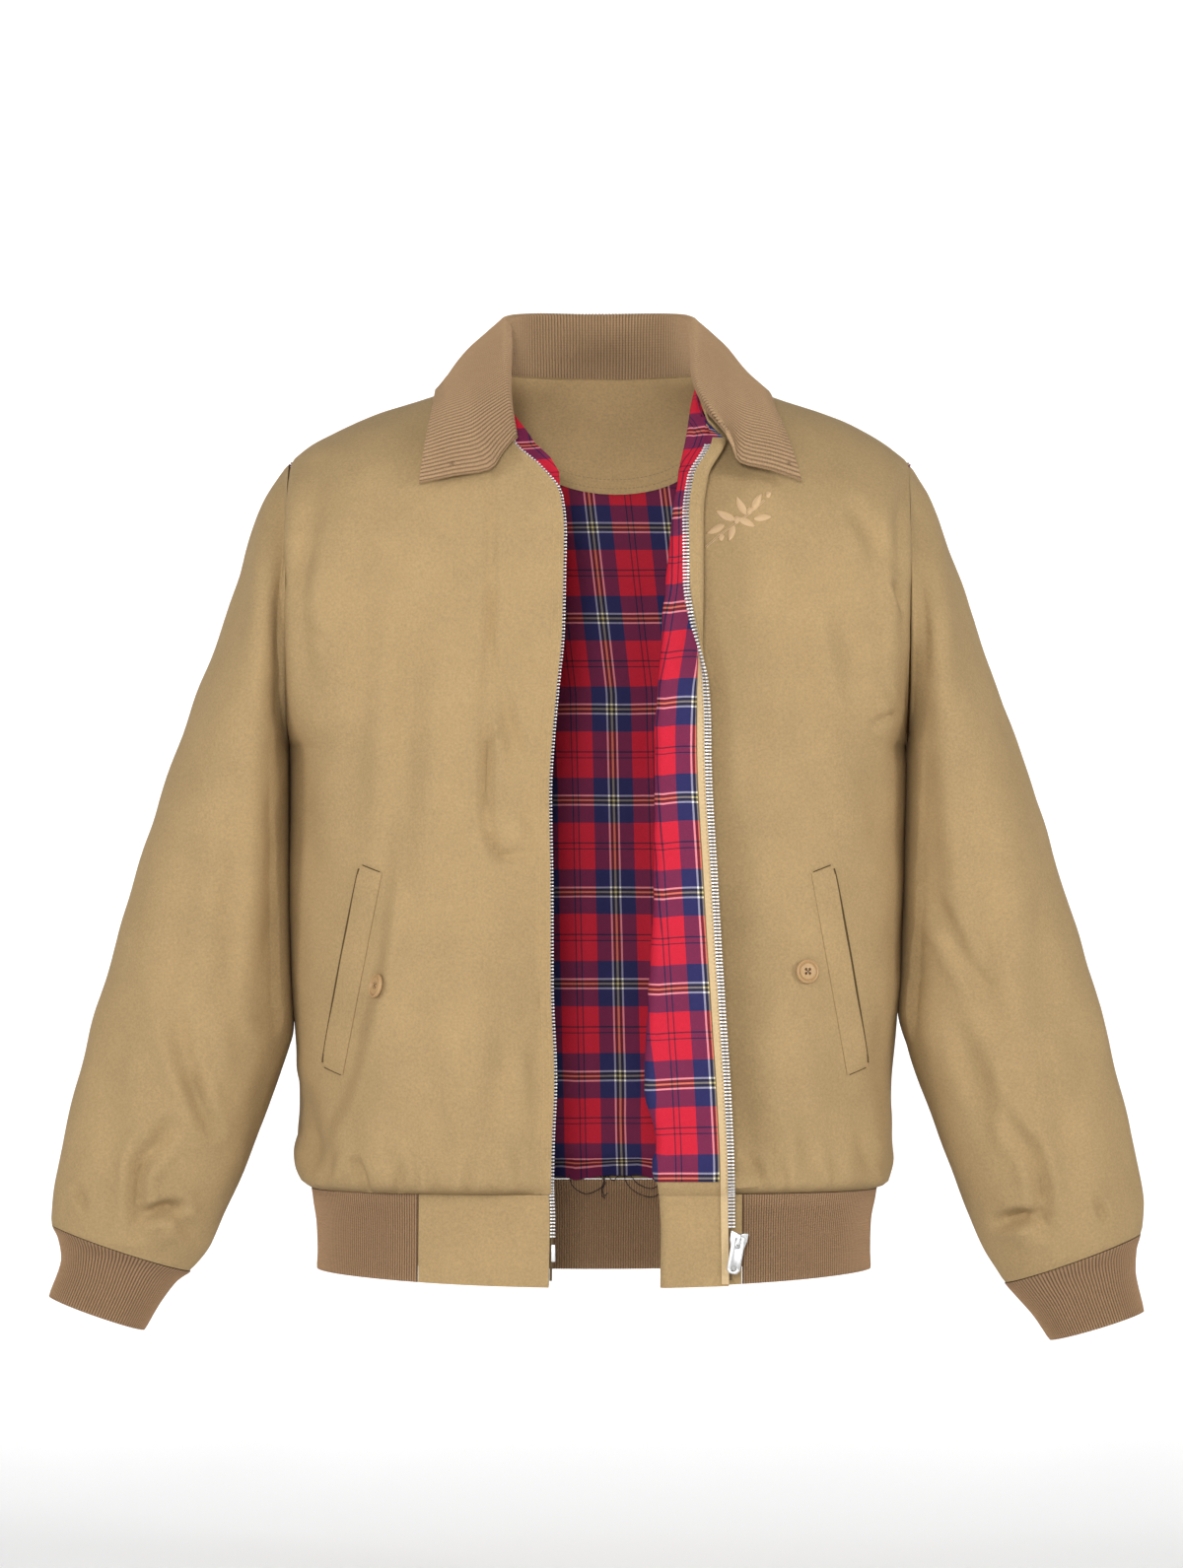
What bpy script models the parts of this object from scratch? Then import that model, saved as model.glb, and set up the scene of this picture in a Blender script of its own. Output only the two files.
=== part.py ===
"""Harrington jacket, filled out as worn, front open, sleeves hanging.

Units are metres, +Z is up, +X is the wearer's left and the front faces -Y.
The origin is the middle of the neck opening, level with the nape seam, where
a wearer's neck and shoulders hold the jacket up.  Every panel is a wall
between a sheet of points and the same sheet moved inwards.
"""
import math

import bmesh
import bpy
import numpy as np

# ---------------------------------------------------------------- cloth sizes
SHELL = 0.0014          # cotton twill, with its seam turnings
LINING = 0.0010         # tartan cotton
KNIT = 0.0022           # doubled rib knit
TAPE = 0.0010           # zip tape
SEAM_GAP = 0.0004       # between two pieces that meet at a seam
LAYER_GAP = 0.0004      # between two pieces that lie on each other
FACING_GAP = 0.0013     # facing to lining
BOX_MARGIN = 0.0003     # hard pieces to cloth
LEAN = 0.0076           # the hem hangs a little towards the wearer's right
LEAN_LEVEL = -0.19

# ------------------------------------------------------------- torso sections
# level z, half width, depth of the front, depth of the back
TORSO = np.array([
    [-0.6620, 0.2036, 0.1105, 0.1040],
    [-0.6400, 0.2022, 0.1100, 0.1030],
    [-0.6205, 0.2028, 0.1100, 0.1030],
    [-0.6024, 0.2058, 0.1115, 0.1045],
    [-0.5940, 0.2074, 0.1130, 0.1060],
    [-0.5880, 0.2115, 0.1175, 0.1105],
    [-0.5770, 0.2147, 0.1200, 0.1130],
    [-0.5530, 0.2158, 0.1215, 0.1135],
    [-0.5200, 0.2172, 0.1220, 0.1120],
    [-0.4790, 0.2205, 0.1220, 0.1100],
    [-0.4300, 0.2236, 0.1220, 0.1090],
    [-0.3800, 0.2248, 0.1225, 0.1100],
    [-0.3300, 0.2254, 0.1235, 0.1120],
    [-0.2700, 0.2260, 0.1245, 0.1145],
    [-0.2100, 0.2263, 0.1245, 0.1170],
    [-0.1500, 0.2263, 0.1225, 0.1180],
])
ROUNDNESS = 2.7         # of the sections; 2 is an ellipse
HEM_SEAM = -0.5940
CHEST = -0.1500         # from here the panels curve over to the shoulder
BODY_LEVELS = (-0.5940, -0.5880, -0.5770, -0.5530, -0.5150, -0.4400, -0.3500,
               -0.2700, -0.2350, -0.2050, -0.1750, -0.1500)
LINING_START = 1        # first body level that the lining reaches
SHOULDER_STEPS = 6
ARMHOLE_LOW = -0.2700
ARMHOLE_DEPTH = 0.0780
ARMHOLE_X = 0.2263
QUARTER = 0.5523        # handle length of a quarter round

# shoulder seam: x, z (its y runs from the neck point to the shoulder point)
SHOULDER = np.array([
    [0.0750, 0.0040], [0.1000, -0.0060], [0.1300, -0.0165], [0.1600, -0.0260],
    [0.1900, -0.0385], [0.2100, -0.0500], [0.2263, -0.0630],
])
NECK_Y = 0.0050
NAPE = (0.0780, 0.0040)  # y, z of the neck seam at the centre back
NAPE_SLOPE = math.radians(55.0)

# ------------------------------------------------------------------ the fronts
# right front: z, x of its edge (the zip side), measured from the centre
EDGE_RIGHT = np.array([
    [-0.6620, 0.0280], [-0.6134, 0.0275], [-0.5850, 0.0285], [-0.5568, 0.0282],
    [-0.5143, 0.0268], [-0.4435, 0.0298], [-0.3727, 0.0305], [-0.3019, 0.0320],
    [-0.2665, 0.0302], [-0.2275, 0.0270], [-0.1886, 0.0237], [-0.1602, 0.0232],
    [-0.1178, 0.0228], [-0.0894, 0.0258], [-0.0682, 0.0415], [-0.0504, 0.0605],
    [0.0040, 0.0750],
])
# left front, rolled outwards: z, x of the roll, x of the folded part's end,
# turn of the roll in degrees, turn of the zip edge in degrees
ROLL_LEFT = np.array([
    [-0.6620, 0.0490, 0.0895, 176.0, 0.0],
    [-0.6190, 0.0490, 0.0885, 176.0, 0.0],
    [-0.5940, 0.0475, 0.0880, 176.0, 0.0],
    [-0.5710, 0.0440, 0.0875, 176.0, 0.0],
    [-0.5600, 0.0475, 0.0870, 176.0, 0.0],
    [-0.5143, 0.0385, 0.0845, 176.0, 0.0],
    [-0.4790, 0.0395, 0.0820, 175.0, 0.0],
    [-0.3727, 0.0440, 0.0750, 172.0, 0.0],
    [-0.2700, 0.0440, 0.0700, 166.0, 0.0],
    [-0.2350, 0.0455, 0.0712, 164.0, 20.0],
    [-0.2050, 0.0475, 0.0722, 163.0, 68.0],
    [-0.1750, 0.0495, 0.0732, 161.0, 122.0],
    [-0.1500, 0.0515, 0.0735, 160.0, 160.0],
    [-0.1050, 0.0555, 0.0735, 158.0, 168.0],
    [-0.0740, 0.0600, 0.0770, 156.0, 165.0],
    [-0.0440, 0.0650, 0.0900, 154.0, 160.0],
    [0.0040, 0.0750, 0.0950, 154.0, 160.0],
])
ROLL_RADIUS = 0.0046
CURL_RADIUS = 0.0042
LIP = 0.0060            # stitched edge strip that carries the zip
ZIP_TOP_STEP = 3        # shoulder step at which the zip ends
NECK_DROP = 0.0080      # fall of the rolled edge's top from roll to zip
FRONT_COLUMNS = 8
BACK_COLUMNS = 7
TAB_X = 0.1270          # seam between hem tab and hem rib
TAB_X_LEFT = 0.1070

# ----------------------------------------------------------------- hem and rib
BAND_LEVELS = (-0.6024, -0.6200, -0.6300, -0.6420)
BAND_BOTTOM_SIDE = -0.6530
BAND_BOTTOM_MIDDLE = -0.6615
BAND_TOP = HEM_SEAM - SEAM_GAP

# --------------------------------------------------------------------- sleeves
# outer x, z, inner x, z, half depth, middle y
SLEEVE = np.array([
    [0.2267, -0.0630, 0.2267, -0.2700, 0.0780, 0.0000],
    [0.2420, -0.0845, 0.2270, -0.2900, 0.0800, -0.0010],
    [0.2620, -0.1360, 0.2272, -0.3190, 0.0815, -0.0022],
    [0.2900, -0.2150, 0.2271, -0.3600, 0.0800, -0.0050],
    [0.3229, -0.3164, 0.2264, -0.4150, 0.0760, -0.0080],
    [0.3425, -0.3790, 0.2256, -0.4480, 0.0725, -0.0100],
    [0.3590, -0.4340, 0.2243, -0.4790, 0.0690, -0.0120],
    [0.3747, -0.4901, 0.2411, -0.5336, 0.0650, -0.0140],
    [0.3855, -0.5336, 0.2560, -0.5730, 0.0610, -0.0160],
    [0.3935, -0.5700, 0.2710, -0.6080, 0.0570, -0.0180],
    [0.3985, -0.6000, 0.2860, -0.6380, 0.0520, -0.0200],
    [0.4004, -0.6205, 0.2980, -0.6545, 0.0460, -0.0210],
])
SLEEVE_LEFT_END = np.array([
    [0.3935, -0.5720, 0.2690, -0.6110, 0.0570, -0.0180],
    [0.3990, -0.6050, 0.2830, -0.6400, 0.0520, -0.0200],
    [0.3972, -0.6270, 0.2968, -0.6630, 0.0460, -0.0210],
])
ARM_MIDDLE = 0.42       # where the armhole is deepest, from top to bottom
SLEEVE_SIDES = 14
CUFF = np.array([
    [0.3996, -0.6212, 0.2983, -0.6553, 0.0440, -0.0210],
    [0.3948, -0.6313, 0.3072, -0.6610, 0.0370, -0.0212],
    [0.3926, -0.6458, 0.3200, -0.6770, 0.0335, -0.0214],
    [0.4018, -0.6733, 0.3322, -0.6979, 0.0320, -0.0216],
])

CUFF_LEFT = np.array([
    [0.3966, -0.6277, 0.2972, -0.6638, 0.0440, -0.0210],
    [0.3932, -0.6400, 0.3060, -0.6735, 0.0370, -0.0212],
    [0.3925, -0.6540, 0.3180, -0.6870, 0.0335, -0.0214],
    [0.3989, -0.6842, 0.3303, -0.7052, 0.0320, -0.0216],
])

# ----------------------------------------------------------- folds of the body
# place x, lower and upper end z, width of the step, how far the centre side
# stands in front of the rest
FOLDS_RIGHT = ((0.1600, -0.5700, -0.3300, 0.0240, 0.0085),)
FOLDS_LEFT = ((0.1660, -0.5700, -0.4200, 0.0300, 0.0030),)

# ---------------------------------------------------------------------- collar
# each row: seam, roll, middle of the leaf and leaf edge, each x, y, z
COLLAR_BACK = np.array([
    [0.0000, 0.0780, 0.0040, 0.0000, 0.0840, 0.0510, 0.0000, 0.1030, 0.0300, 0.0000, 0.1160, -0.0030],
    [0.0480, 0.0640, 0.0040, 0.0500, 0.0680, 0.0500, 0.0660, 0.0860, 0.0300, 0.0790, 0.0980, -0.0030],
    [0.0700, 0.0350, 0.0040, 0.0665, 0.0370, 0.0455, 0.0920, 0.0500, 0.0240, 0.1090, 0.0580, -0.0030],
])
COLLAR_RIGHT = np.array([
    [0.0750, 0.0050, 0.0040, 0.0665, 0.0040, 0.0370, 0.0960, 0.0060, 0.0170, 0.1180, 0.0080, -0.0080],
    [0.0735, -0.0300, -0.0040, 0.0655, -0.0340, 0.0220, 0.0940, -0.0400, 0.0040, 0.1195, -0.0360, -0.0130],
    [0.0700, -0.0600, -0.0210, 0.0650, -0.0670, 0.0000, 0.0940, -0.0800, -0.0170, 0.1205, -0.0760, -0.0260],
    [0.0655, -0.0800, -0.0370, 0.0635, -0.0890, -0.0240, 0.0920, -0.1050, -0.0420, 0.1250, -0.1020, -0.0520],
    [0.0615, -0.0920, -0.0510, 0.0595, -0.1000, -0.0480, 0.0784, -0.1150, -0.0724, 0.1293, -0.1140, -0.0817],
])
COLLAR_LEFT = np.array([
    [0.0750, 0.0050, 0.0040, 0.0690, 0.0040, 0.0370, 0.0960, 0.0060, 0.0170, 0.1180, 0.0080, -0.0080],
    [0.0750, -0.0300, -0.0040, 0.0690, -0.0340, 0.0200, 0.0980, -0.0420, 0.0040, 0.1240, -0.0360, -0.0130],
    [0.0745, -0.0620, -0.0190, 0.0695, -0.0720, -0.0050, 0.1020, -0.0860, -0.0190, 0.1290, -0.0800, -0.0290],
    [0.0800, -0.0900, -0.0330, 0.0790, -0.0985, -0.0270, 0.1060, -0.1120, -0.0450, 0.1380, -0.1060, -0.0530],
    [0.0900, -0.1060, -0.0415, 0.0915, -0.1140, -0.0430, 0.1020, -0.1240, -0.0675, 0.1460, -0.1180, -0.0796],
])
COLLAR_RISE = 0.0022    # stand above the neck seam, along itself
COLLAR_ROLL = 0.0036
STATION_STEPS = 2       # columns between two rows of the tables

# ---------------------------------------------------------------- small pieces
FACING_LOW = -0.0830    # its lowest point, centre back
FACING_RISE = 3.6       # rise of its lower edge per metre of x squared
FACING_HALF = 0.1450
FACING_ROWS = 5
# pocket welt: top x inner, outer, z; bottom x inner, outer, z
WELT_TOP = (0.1545, 0.1700, -0.3600)
WELT_BOTTOM = (0.1820, 0.1970, -0.5060)
WELT_THICK = 0.0012
WELT_GAP = 0.0007       # welt to front
WELT_SLANT = 0.0060     # fall of the welt's ends towards the middle
WELT_ROWS = 9
BUTTON_RADIUS = 0.0087
BUTTON_THICK = 0.0030
BUTTON_GAP = 0.0006
BUTTON_RIGHT = (0.1560, -0.4440)
BUTTON_LEFT = (0.1515, -0.4337)
TEETH_WIDE = 0.0045
TEETH_ROWS_BELOW = {"right": 2, "left": 3}   # levels of the hem that the teeth leave free
TEETH_TRIM = {"right": 0.0, "left": 0.0016}  # and how far above that level they end
TEETH_THICK = 0.0026
TEETH_MARGIN = 0.0011   # tape to teeth
ZIP_TILT = math.radians(10.0)
SLIDER_TOP = -0.6206
SLIDER_TALL = 0.0150
SLIDER_WIDE = 0.0125
SLIDER_FOOT = 0.0078
SLIDER_THICK = 0.0060
BOX_SIZE = (0.0066, 0.0046, 0.0120)     # wide, thick, tall
PIN_SIZE = (0.0030, 0.0028, 0.0125)
CROWN_WIDE = 0.0022
CROWN_BAR = 0.0013
CROWN_TALL = 0.0090
CROWN_HIGH = 0.0036
CROWN_OVER = 0.0028     # crown's top above the hinge
BOX_DROP = 0.0012       # box below the slider
HINGE_DROP = 0.0035     # pull's axis below the slider's top
HINGE_OUT = 0.00115     # pull's axis in front of the slider's face
PULL_BAR = 0.0016
PULL_SLOT = 0.0076
PULL_LONG = 0.0275
PULL_WIDE = 0.0096
PULL_SLOT_WIDE = 0.0038
PULL_THICK = 0.0012

KHAKI = ((0.445, 0.320, 0.155), 0.85, 0.0)
TAN_KNIT = ((0.350, 0.215, 0.110), 0.90, 0.0)
BROWN_KNIT = ((0.260, 0.150, 0.075), 0.92, 0.0)
TARTAN = ((0.400, 0.020, 0.040), 0.80, 0.0)
CREAM = ((0.760, 0.570, 0.300), 0.80, 0.0)
FRONTWARDS = np.array([0.3, -1.0, 0.3])
SILVER = ((0.800, 0.800, 0.810), 0.25, 1.0)
HORN = ((0.620, 0.430, 0.260), 0.40, 0.0)


# ------------------------------------------------------------------ arithmetic
def smooth_lookup(table, key, column):
    """Value of a table column at a key, by monotone cubic pieces."""
    keys, values = table[:, 0], table[:, column]
    key = np.clip(key, keys[0], keys[-1])
    i = int(np.clip(np.searchsorted(keys, key) - 1, 0, len(keys) - 2))
    steps = np.diff(keys)
    slopes = np.diff(values) / steps
    ends = np.concatenate([[slopes[0]], slopes, [slopes[-1]]])
    turns = np.where(ends[:-1] * ends[1:] > 0, 2 * ends[:-1] * ends[1:] / (ends[:-1] + ends[1:] + 1e-12), 0.0)
    t = (key - keys[i]) / steps[i]
    a, b = values[i], values[i + 1]
    return ((1 + 2 * t) * (1 - t) ** 2 * a + t * (1 - t) ** 2 * steps[i] * turns[i]
            + t * t * (3 - 2 * t) * b + t * t * (t - 1) * steps[i] * turns[i + 1])


def unit(v):
    """Vectors scaled to length one."""
    return v / np.maximum(np.linalg.norm(v, axis=-1, keepdims=True), 1e-12)


def bezier(a, b, c, d, t):
    """Point of a cubic curve."""
    return (1 - t) ** 3 * a + 3 * t * (1 - t) ** 2 * b + 3 * t * t * (1 - t) * c + t ** 3 * d


def spline(points, t):
    """Point of a curve that passes through all the points, t from 0 to their count less one."""
    last = len(points) - 1
    i = min(int(t), last - 1)
    u = t - i
    before = points[i - 1] if i > 0 else 2 * points[0] - points[1]
    after = points[i + 2] if i + 2 <= last else 2 * points[last] - points[last - 1]
    m0, m1 = (points[i + 1] - before) / 2, (after - points[i]) / 2
    return ((1 + 2 * u) * (1 - u) ** 2 * points[i] + u * (1 - u) ** 2 * m0
            + u * u * (3 - 2 * u) * points[i + 1] + u * u * (u - 1) * m1)


def sheet_normals(points, outward):
    """Normals of a sheet, on the side that `outward` points to."""
    down, across = np.gradient(points, axis=0), np.gradient(points, axis=1)
    normals = unit(np.cross(down, across))
    side = np.sign(np.sum(normals * outward, axis=-1).sum())
    return normals * side


def mirrored(points):
    """The same points on the wearer's other side."""
    return points * np.array([-1.0, 1.0, 1.0])


def leaned(points):
    """Points moved with the lean of the whole jacket."""
    moved = points.copy()
    moved[..., 0] += LEAN * (points[..., 2] - LEAN_LEVEL)
    return moved


# -------------------------------------------------------------- torso sections
def armhole_depth(z):
    """Half depth of the armhole at a level below the chest line."""
    if z <= ARMHOLE_LOW:
        return 0.0
    return ARMHOLE_DEPTH * math.sqrt(1.0 - ((z - CHEST) / (ARMHOLE_LOW - CHEST)) ** 2)


def section_y(x, z, column):
    """Distance of the cloth from the side plane, at x, for the front (2) or back (3)."""
    half, depth = smooth_lookup(TORSO, z, 1), smooth_lookup(TORSO, z, column)
    seam = armhole_depth(z)
    rest = max(0.0, 1.0 - min(1.0, abs(x) / half) ** ROUNDNESS)
    return seam + (depth - seam) * rest ** (1.0 / ROUNDNESS)


def section_x(start, end, steps, z):
    """Places across a section, closer together where it turns to the side."""
    half = smooth_lookup(TORSO, z, 1)
    power = ROUNDNESS / 2.0
    first = math.asin(min(1.0, start / half) ** power)
    last = math.asin(min(1.0, end / half) ** power)
    return [half * math.sin(first + (last - first) * k / (steps - 1)) ** (1 / power) for k in range(steps)]


def front_row(z, start, steps):
    """Points of the front at one level, from its inner edge to the side seam."""
    half = smooth_lookup(TORSO, z, 1)
    return np.array([[x, -section_y(x, z, 2), z] for x in section_x(start, half, steps, z)])


def back_row(z, steps):
    """Points of the back at one level, from the centre to the side seam."""
    half = smooth_lookup(TORSO, z, 1)
    return np.array([[x, section_y(x, z, 3), z] for x in section_x(0.0, half, steps, z)])


def shoulder_point(x):
    """Point of the shoulder seam."""
    share = (x - SHOULDER[0, 0]) / (ARMHOLE_X - SHOULDER[0, 0])
    return np.array([x, NECK_Y * (1.0 - share), smooth_lookup(SHOULDER, x, 1)])


def neck_point(share):
    """Point of the back neck seam, 0 at the centre and 1 at the shoulder seam."""
    angle = share * math.pi / 2
    depth = NAPE[0] - NECK_Y
    return np.array([SHOULDER[0, 0] * math.sin(angle), NECK_Y + depth * math.cos(angle), NAPE[1]])


def over_shoulder(low, top, slope, t):
    """Point of the curve from the chest line up and over to a seam point."""
    rise, reach = top[2] - low[2], low[1] - top[1]
    handle_low = low + np.array([0.0, 0.0, QUARTER * rise])
    length = math.hypot(reach * math.cos(slope), rise * math.sin(slope)) * QUARTER
    handle_top = top + np.array([0.0, math.copysign(math.cos(slope), reach) * length, -math.sin(slope) * length])
    return bezier(low, handle_low, handle_top, top, t)


def front_sheet(edge_x):
    """Front panel from hem seam to shoulder seam; edge_x(z) is its inner edge."""
    rows = [front_row(z, edge_x(z), FRONT_COLUMNS) for z in BODY_LEVELS]
    chest = rows[-1]
    shares = (chest[:, 0] - chest[0, 0]) / (chest[-1, 0] - chest[0, 0])
    neck = SHOULDER[0, 0]
    tops = [shoulder_point(neck + (ARMHOLE_X - neck) * s) for s in shares]
    for step in range(1, SHOULDER_STEPS + 1):
        t = step / SHOULDER_STEPS
        row = np.array([over_shoulder(low, top, 0.0, t) for low, top in zip(chest, tops)])
        inner = edge_x(row[0, 2])
        row[:, 0] = inner + (ARMHOLE_X - inner) * shares
        rows.append(row)
    return np.array(rows)


def back_sheet():
    """Half of the back panel, from the centre to side seam, armhole and shoulder."""
    rows = [back_row(z, BACK_COLUMNS) for z in BODY_LEVELS]
    chest = rows[-1]
    neck_columns = 4
    tops, slopes = [], []
    for k in range(BACK_COLUMNS):
        if k < neck_columns:
            share = k / (neck_columns - 1)
            tops.append(neck_point(share))
            slopes.append(NAPE_SLOPE * (1 - share ** 2))
        else:
            share = (k - neck_columns + 1) / (BACK_COLUMNS - neck_columns)
            tops.append(shoulder_point(SHOULDER[0, 0] + (ARMHOLE_X - SHOULDER[0, 0]) * share))
            slopes.append(0.0)
    for step in range(1, SHOULDER_STEPS + 1):
        t = step / SHOULDER_STEPS
        rows.append(np.array([over_shoulder(low, top, slope, t) for low, top, slope in zip(chest, tops, slopes)]))
    half = np.array(rows)
    return np.concatenate([mirrored(half[:, :0:-1]), half], axis=1)


# ------------------------------------------------------- edges of the fronts
def walk(start, heading, legs):
    """Points of a path in plan: each leg is a length, a turn in radians and its steps."""
    place, angle, path = np.array(start), heading, []
    for length, turn, steps in legs:
        for _ in range(steps):
            angle += turn / steps / 2
            place = place + length / steps * np.array([math.cos(angle), math.sin(angle)])
            angle += turn / steps / 2
            path.append(place.copy())
    return path


def edge_heading(x, z):
    """Direction in plan of the front at x, towards the centre."""
    step = 0.002
    rise = section_y(x, z, 2) - section_y(x + step, z, 2)
    return math.atan2(-rise, -step)


def plain_edge(point, z):
    """Edge strip of the right front: it carries straight on, with a slight lift."""
    path = walk(point[:2], edge_heading(point[0], z), [(LIP, math.radians(8.0), 2)])
    return np.array([[x, y, point[2]] for x, y in path])


def rolled_edge(point, z):
    """Rolled part of the left front: the roll, the folded part and the edge strip."""
    roll_x, end_x, turn, curl = [smooth_lookup(ROLL_LEFT, z, c) for c in (1, 2, 3, 4)]
    turn, curl = math.radians(turn), math.radians(curl)
    flat = (end_x - roll_x - ROLL_RADIUS) / -math.cos(turn)
    legs = [(ROLL_RADIUS * turn, turn, 6), (flat, 0.0, 1), (CURL_RADIUS * max(curl, 0.4), -curl, 3), (LIP, 0.0, 2)]
    path = walk(point[:2], edge_heading(point[0], z), legs)
    return np.array([[x, y, point[2]] for x, y in path])


ROLL_COLUMNS = 12       # columns that rolled_edge adds
LIP_COLUMNS = 2


def with_edge(sheet, edge, rows):
    """Sheet with edge columns added in front of its first column, for its first rows."""
    extra = []
    for i, row in enumerate(sheet):
        z = min(row[0, 2], CHEST + 0.12)
        extra.append(edge(row[0], z)[::-1] if i < rows else np.repeat(row[:1], len(edge(row[0], z)), axis=0))
    wide = np.concatenate([np.array(extra), sheet], axis=1)
    added = wide.shape[1] - sheet.shape[1]
    mask = np.ones((wide.shape[0] - 1, wide.shape[1] - 1), bool)
    mask[rows - 1:, :added] = False
    return wide, mask, added


def body_rows():
    """Number of rows up to the top of the zip."""
    return len(BODY_LEVELS) + ZIP_TOP_STEP


def right_edge_x(z):
    """Where the right front ends and its edge strip begins."""
    return smooth_lookup(EDGE_RIGHT, z, 1) + (LIP + TEETH_WIDE) * min(1.0, max(0.0, -z / 0.05))


def left_edge_x(z):
    """Where the left front ends and its roll begins."""
    return smooth_lookup(ROLL_LEFT, z, 1) + ROLL_RADIUS


def folded(sheet, folds):
    """Front with its long soft folds: the part nearer the zip stands out."""
    for place, low, high, width, height in folds:
        for row in sheet:
            share = np.clip((row[0, 2] - low) / (high - low), 0.0, 1.0)
            near = np.clip((place - row[:, 0]) / width + 0.5, 0.0, 1.0)
            far = np.clip((row[:, 0] - 0.03) / 0.06, 0.0, 1.0)
            step = near * near * (3 - 2 * near) * far * far * (3 - 2 * far)
            row[:, 1] -= height * math.sin(math.pi * share) * step
    return sheet


def right_front():
    """Right front with its edge strip (on the +X side, mirrored later)."""
    sheet = folded(front_sheet(right_edge_x), FOLDS_RIGHT)
    return with_edge(sheet, plain_edge, body_rows())


def left_front():
    """Left front with its rolled edge; the top of the roll falls towards the zip."""
    sheet = folded(front_sheet(left_edge_x), FOLDS_LEFT)
    wide, mask, added = with_edge(sheet, rolled_edge, body_rows())
    top = body_rows() - 1
    for row, share in ((top, 1.0), (top - 1, 0.45), (top - 2, 0.15)):
        fall = np.clip((added - np.arange(added)) / (added - 5), 0.0, 1.0)
        wide[row, :added, 2] -= NECK_DROP * share * fall
    return wide, mask, added


# ---------------------------------------------------------------- mesh helpers
def material(name, finish):
    """Principled material of one finish."""
    colour, roughness, metallic = finish
    made = bpy.data.materials.get(name) or bpy.data.materials.new(name)
    made.use_nodes = True
    shader = made.node_tree.nodes["Principled BSDF"]
    shader.inputs["Base Color"].default_value = (*colour, 1.0)
    shader.inputs["Roughness"].default_value = roughness
    shader.inputs["Metallic"].default_value = metallic
    return made


def place_mesh(name, vertices, faces, finish_name, finish):
    """Object from vertices and faces, with its faces turned outwards."""
    mesh = bpy.data.meshes.new(name)
    mesh.from_pydata([tuple(v) for v in vertices], [], faces)
    shape = bmesh.new()
    shape.from_mesh(mesh)
    bmesh.ops.recalc_face_normals(shape, faces=shape.faces)
    shape.to_mesh(mesh)
    shape.free()
    mesh.materials.append(material(finish_name, finish))
    mesh.shade_smooth()
    mesh.set_sharp_from_angle(angle=math.radians(40))
    made = bpy.data.objects.new(name, mesh)
    bpy.context.collection.objects.link(made)
    return made


def wall(name, points, normals, outside, inside, finish_name, finish, mask=None, closed=False, lean=True):
    """Closed wall from a sheet moved out by `outside` to the sheet moved in by `inside`."""
    rows, columns = points.shape[:2]
    if mask is None:
        mask = np.ones((rows - 1, columns if closed else columns - 1), bool)
    outer, inner = points + normals * outside, points - normals * inside
    if lean:
        outer, inner = leaned(outer), leaned(inner)
    used, vertices, faces = {}, [], []

    def vertex(layer, i, j):
        j = j % columns
        key = (layer, i, j)
        if key not in used:
            used[key] = len(vertices)
            vertices.append((outer if layer == 0 else inner)[i, j])
        return used[key]

    def filled(i, j):
        if closed:
            j = j % columns
        inside_grid = 0 <= i < mask.shape[0] and 0 <= j < mask.shape[1]
        return inside_grid and mask[i, j]

    for i, j in zip(*np.nonzero(mask)):
        ring = [(i, j), (i, j + 1), (i + 1, j + 1), (i + 1, j)]
        for a, b, c in ((0, 1, 2), (0, 2, 3)):
            faces.append([vertex(0, *ring[a]), vertex(0, *ring[b]), vertex(0, *ring[c])])
            faces.append([vertex(1, *ring[c]), vertex(1, *ring[b]), vertex(1, *ring[a])])
        for side, (di, dj) in enumerate(((-1, 0), (0, 1), (1, 0), (0, -1))):
            if not filled(i + di, j + dj):
                a, b = ring[side], ring[(side + 1) % 4]
                faces.append([vertex(0, *a), vertex(1, *a), vertex(1, *b), vertex(0, *b)])
    return place_mesh(name, vertices, faces, finish_name, finish)


def trimmed(points, top=0.0, bottom=0.0, first=0.0, last=0.0):
    """Sheet with its edges drawn in along the cloth, for the gaps at seams."""
    made = points.copy()
    made[-1] += unit(points[-2] - points[-1]) * top
    made[0] += unit(points[1] - points[0]) * bottom
    made[:, 0] += unit(points[:, 1] - points[:, 0]) * first
    made[:, -1] += unit(points[:, -2] - points[:, -1]) * last
    return made


def seam_normals(points, outward, added=0):
    """Normals of a torso panel, square to its side seam and shoulder seam."""
    rows = body_rows()
    whole = sheet_normals(points[:, added:], outward)
    normals = np.repeat(whole[:, :1], points.shape[1], axis=1)
    if added:
        normals[:rows] = edge_normals(points[:rows], added, outward)
    normals[rows - 1:, added + 1:] = whole[rows - 1:, 1:]
    normals[:, added + 1:] = whole[:, 1:]
    normals[:, -1, 1] = 0.0
    normals[-1, added:, 1] = 0.0
    return level(unit(normals), 0)


def level(normals, row):
    """Normals with one row's laid level, so that the wall ends square at the hem seam."""
    made = normals.copy()
    made[row, :, 2] = 0.0
    return unit(made)


def edge_normals(points, added, outward):
    """Normals of a front with its edge strip, on the outer side of the panel beside it."""
    down, across = np.gradient(points, axis=0), np.gradient(points, axis=1)
    normals = unit(np.cross(down, across))
    return normals * np.sign(np.sum(normals[:, added + 1:] * outward, axis=-1).sum())


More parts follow.
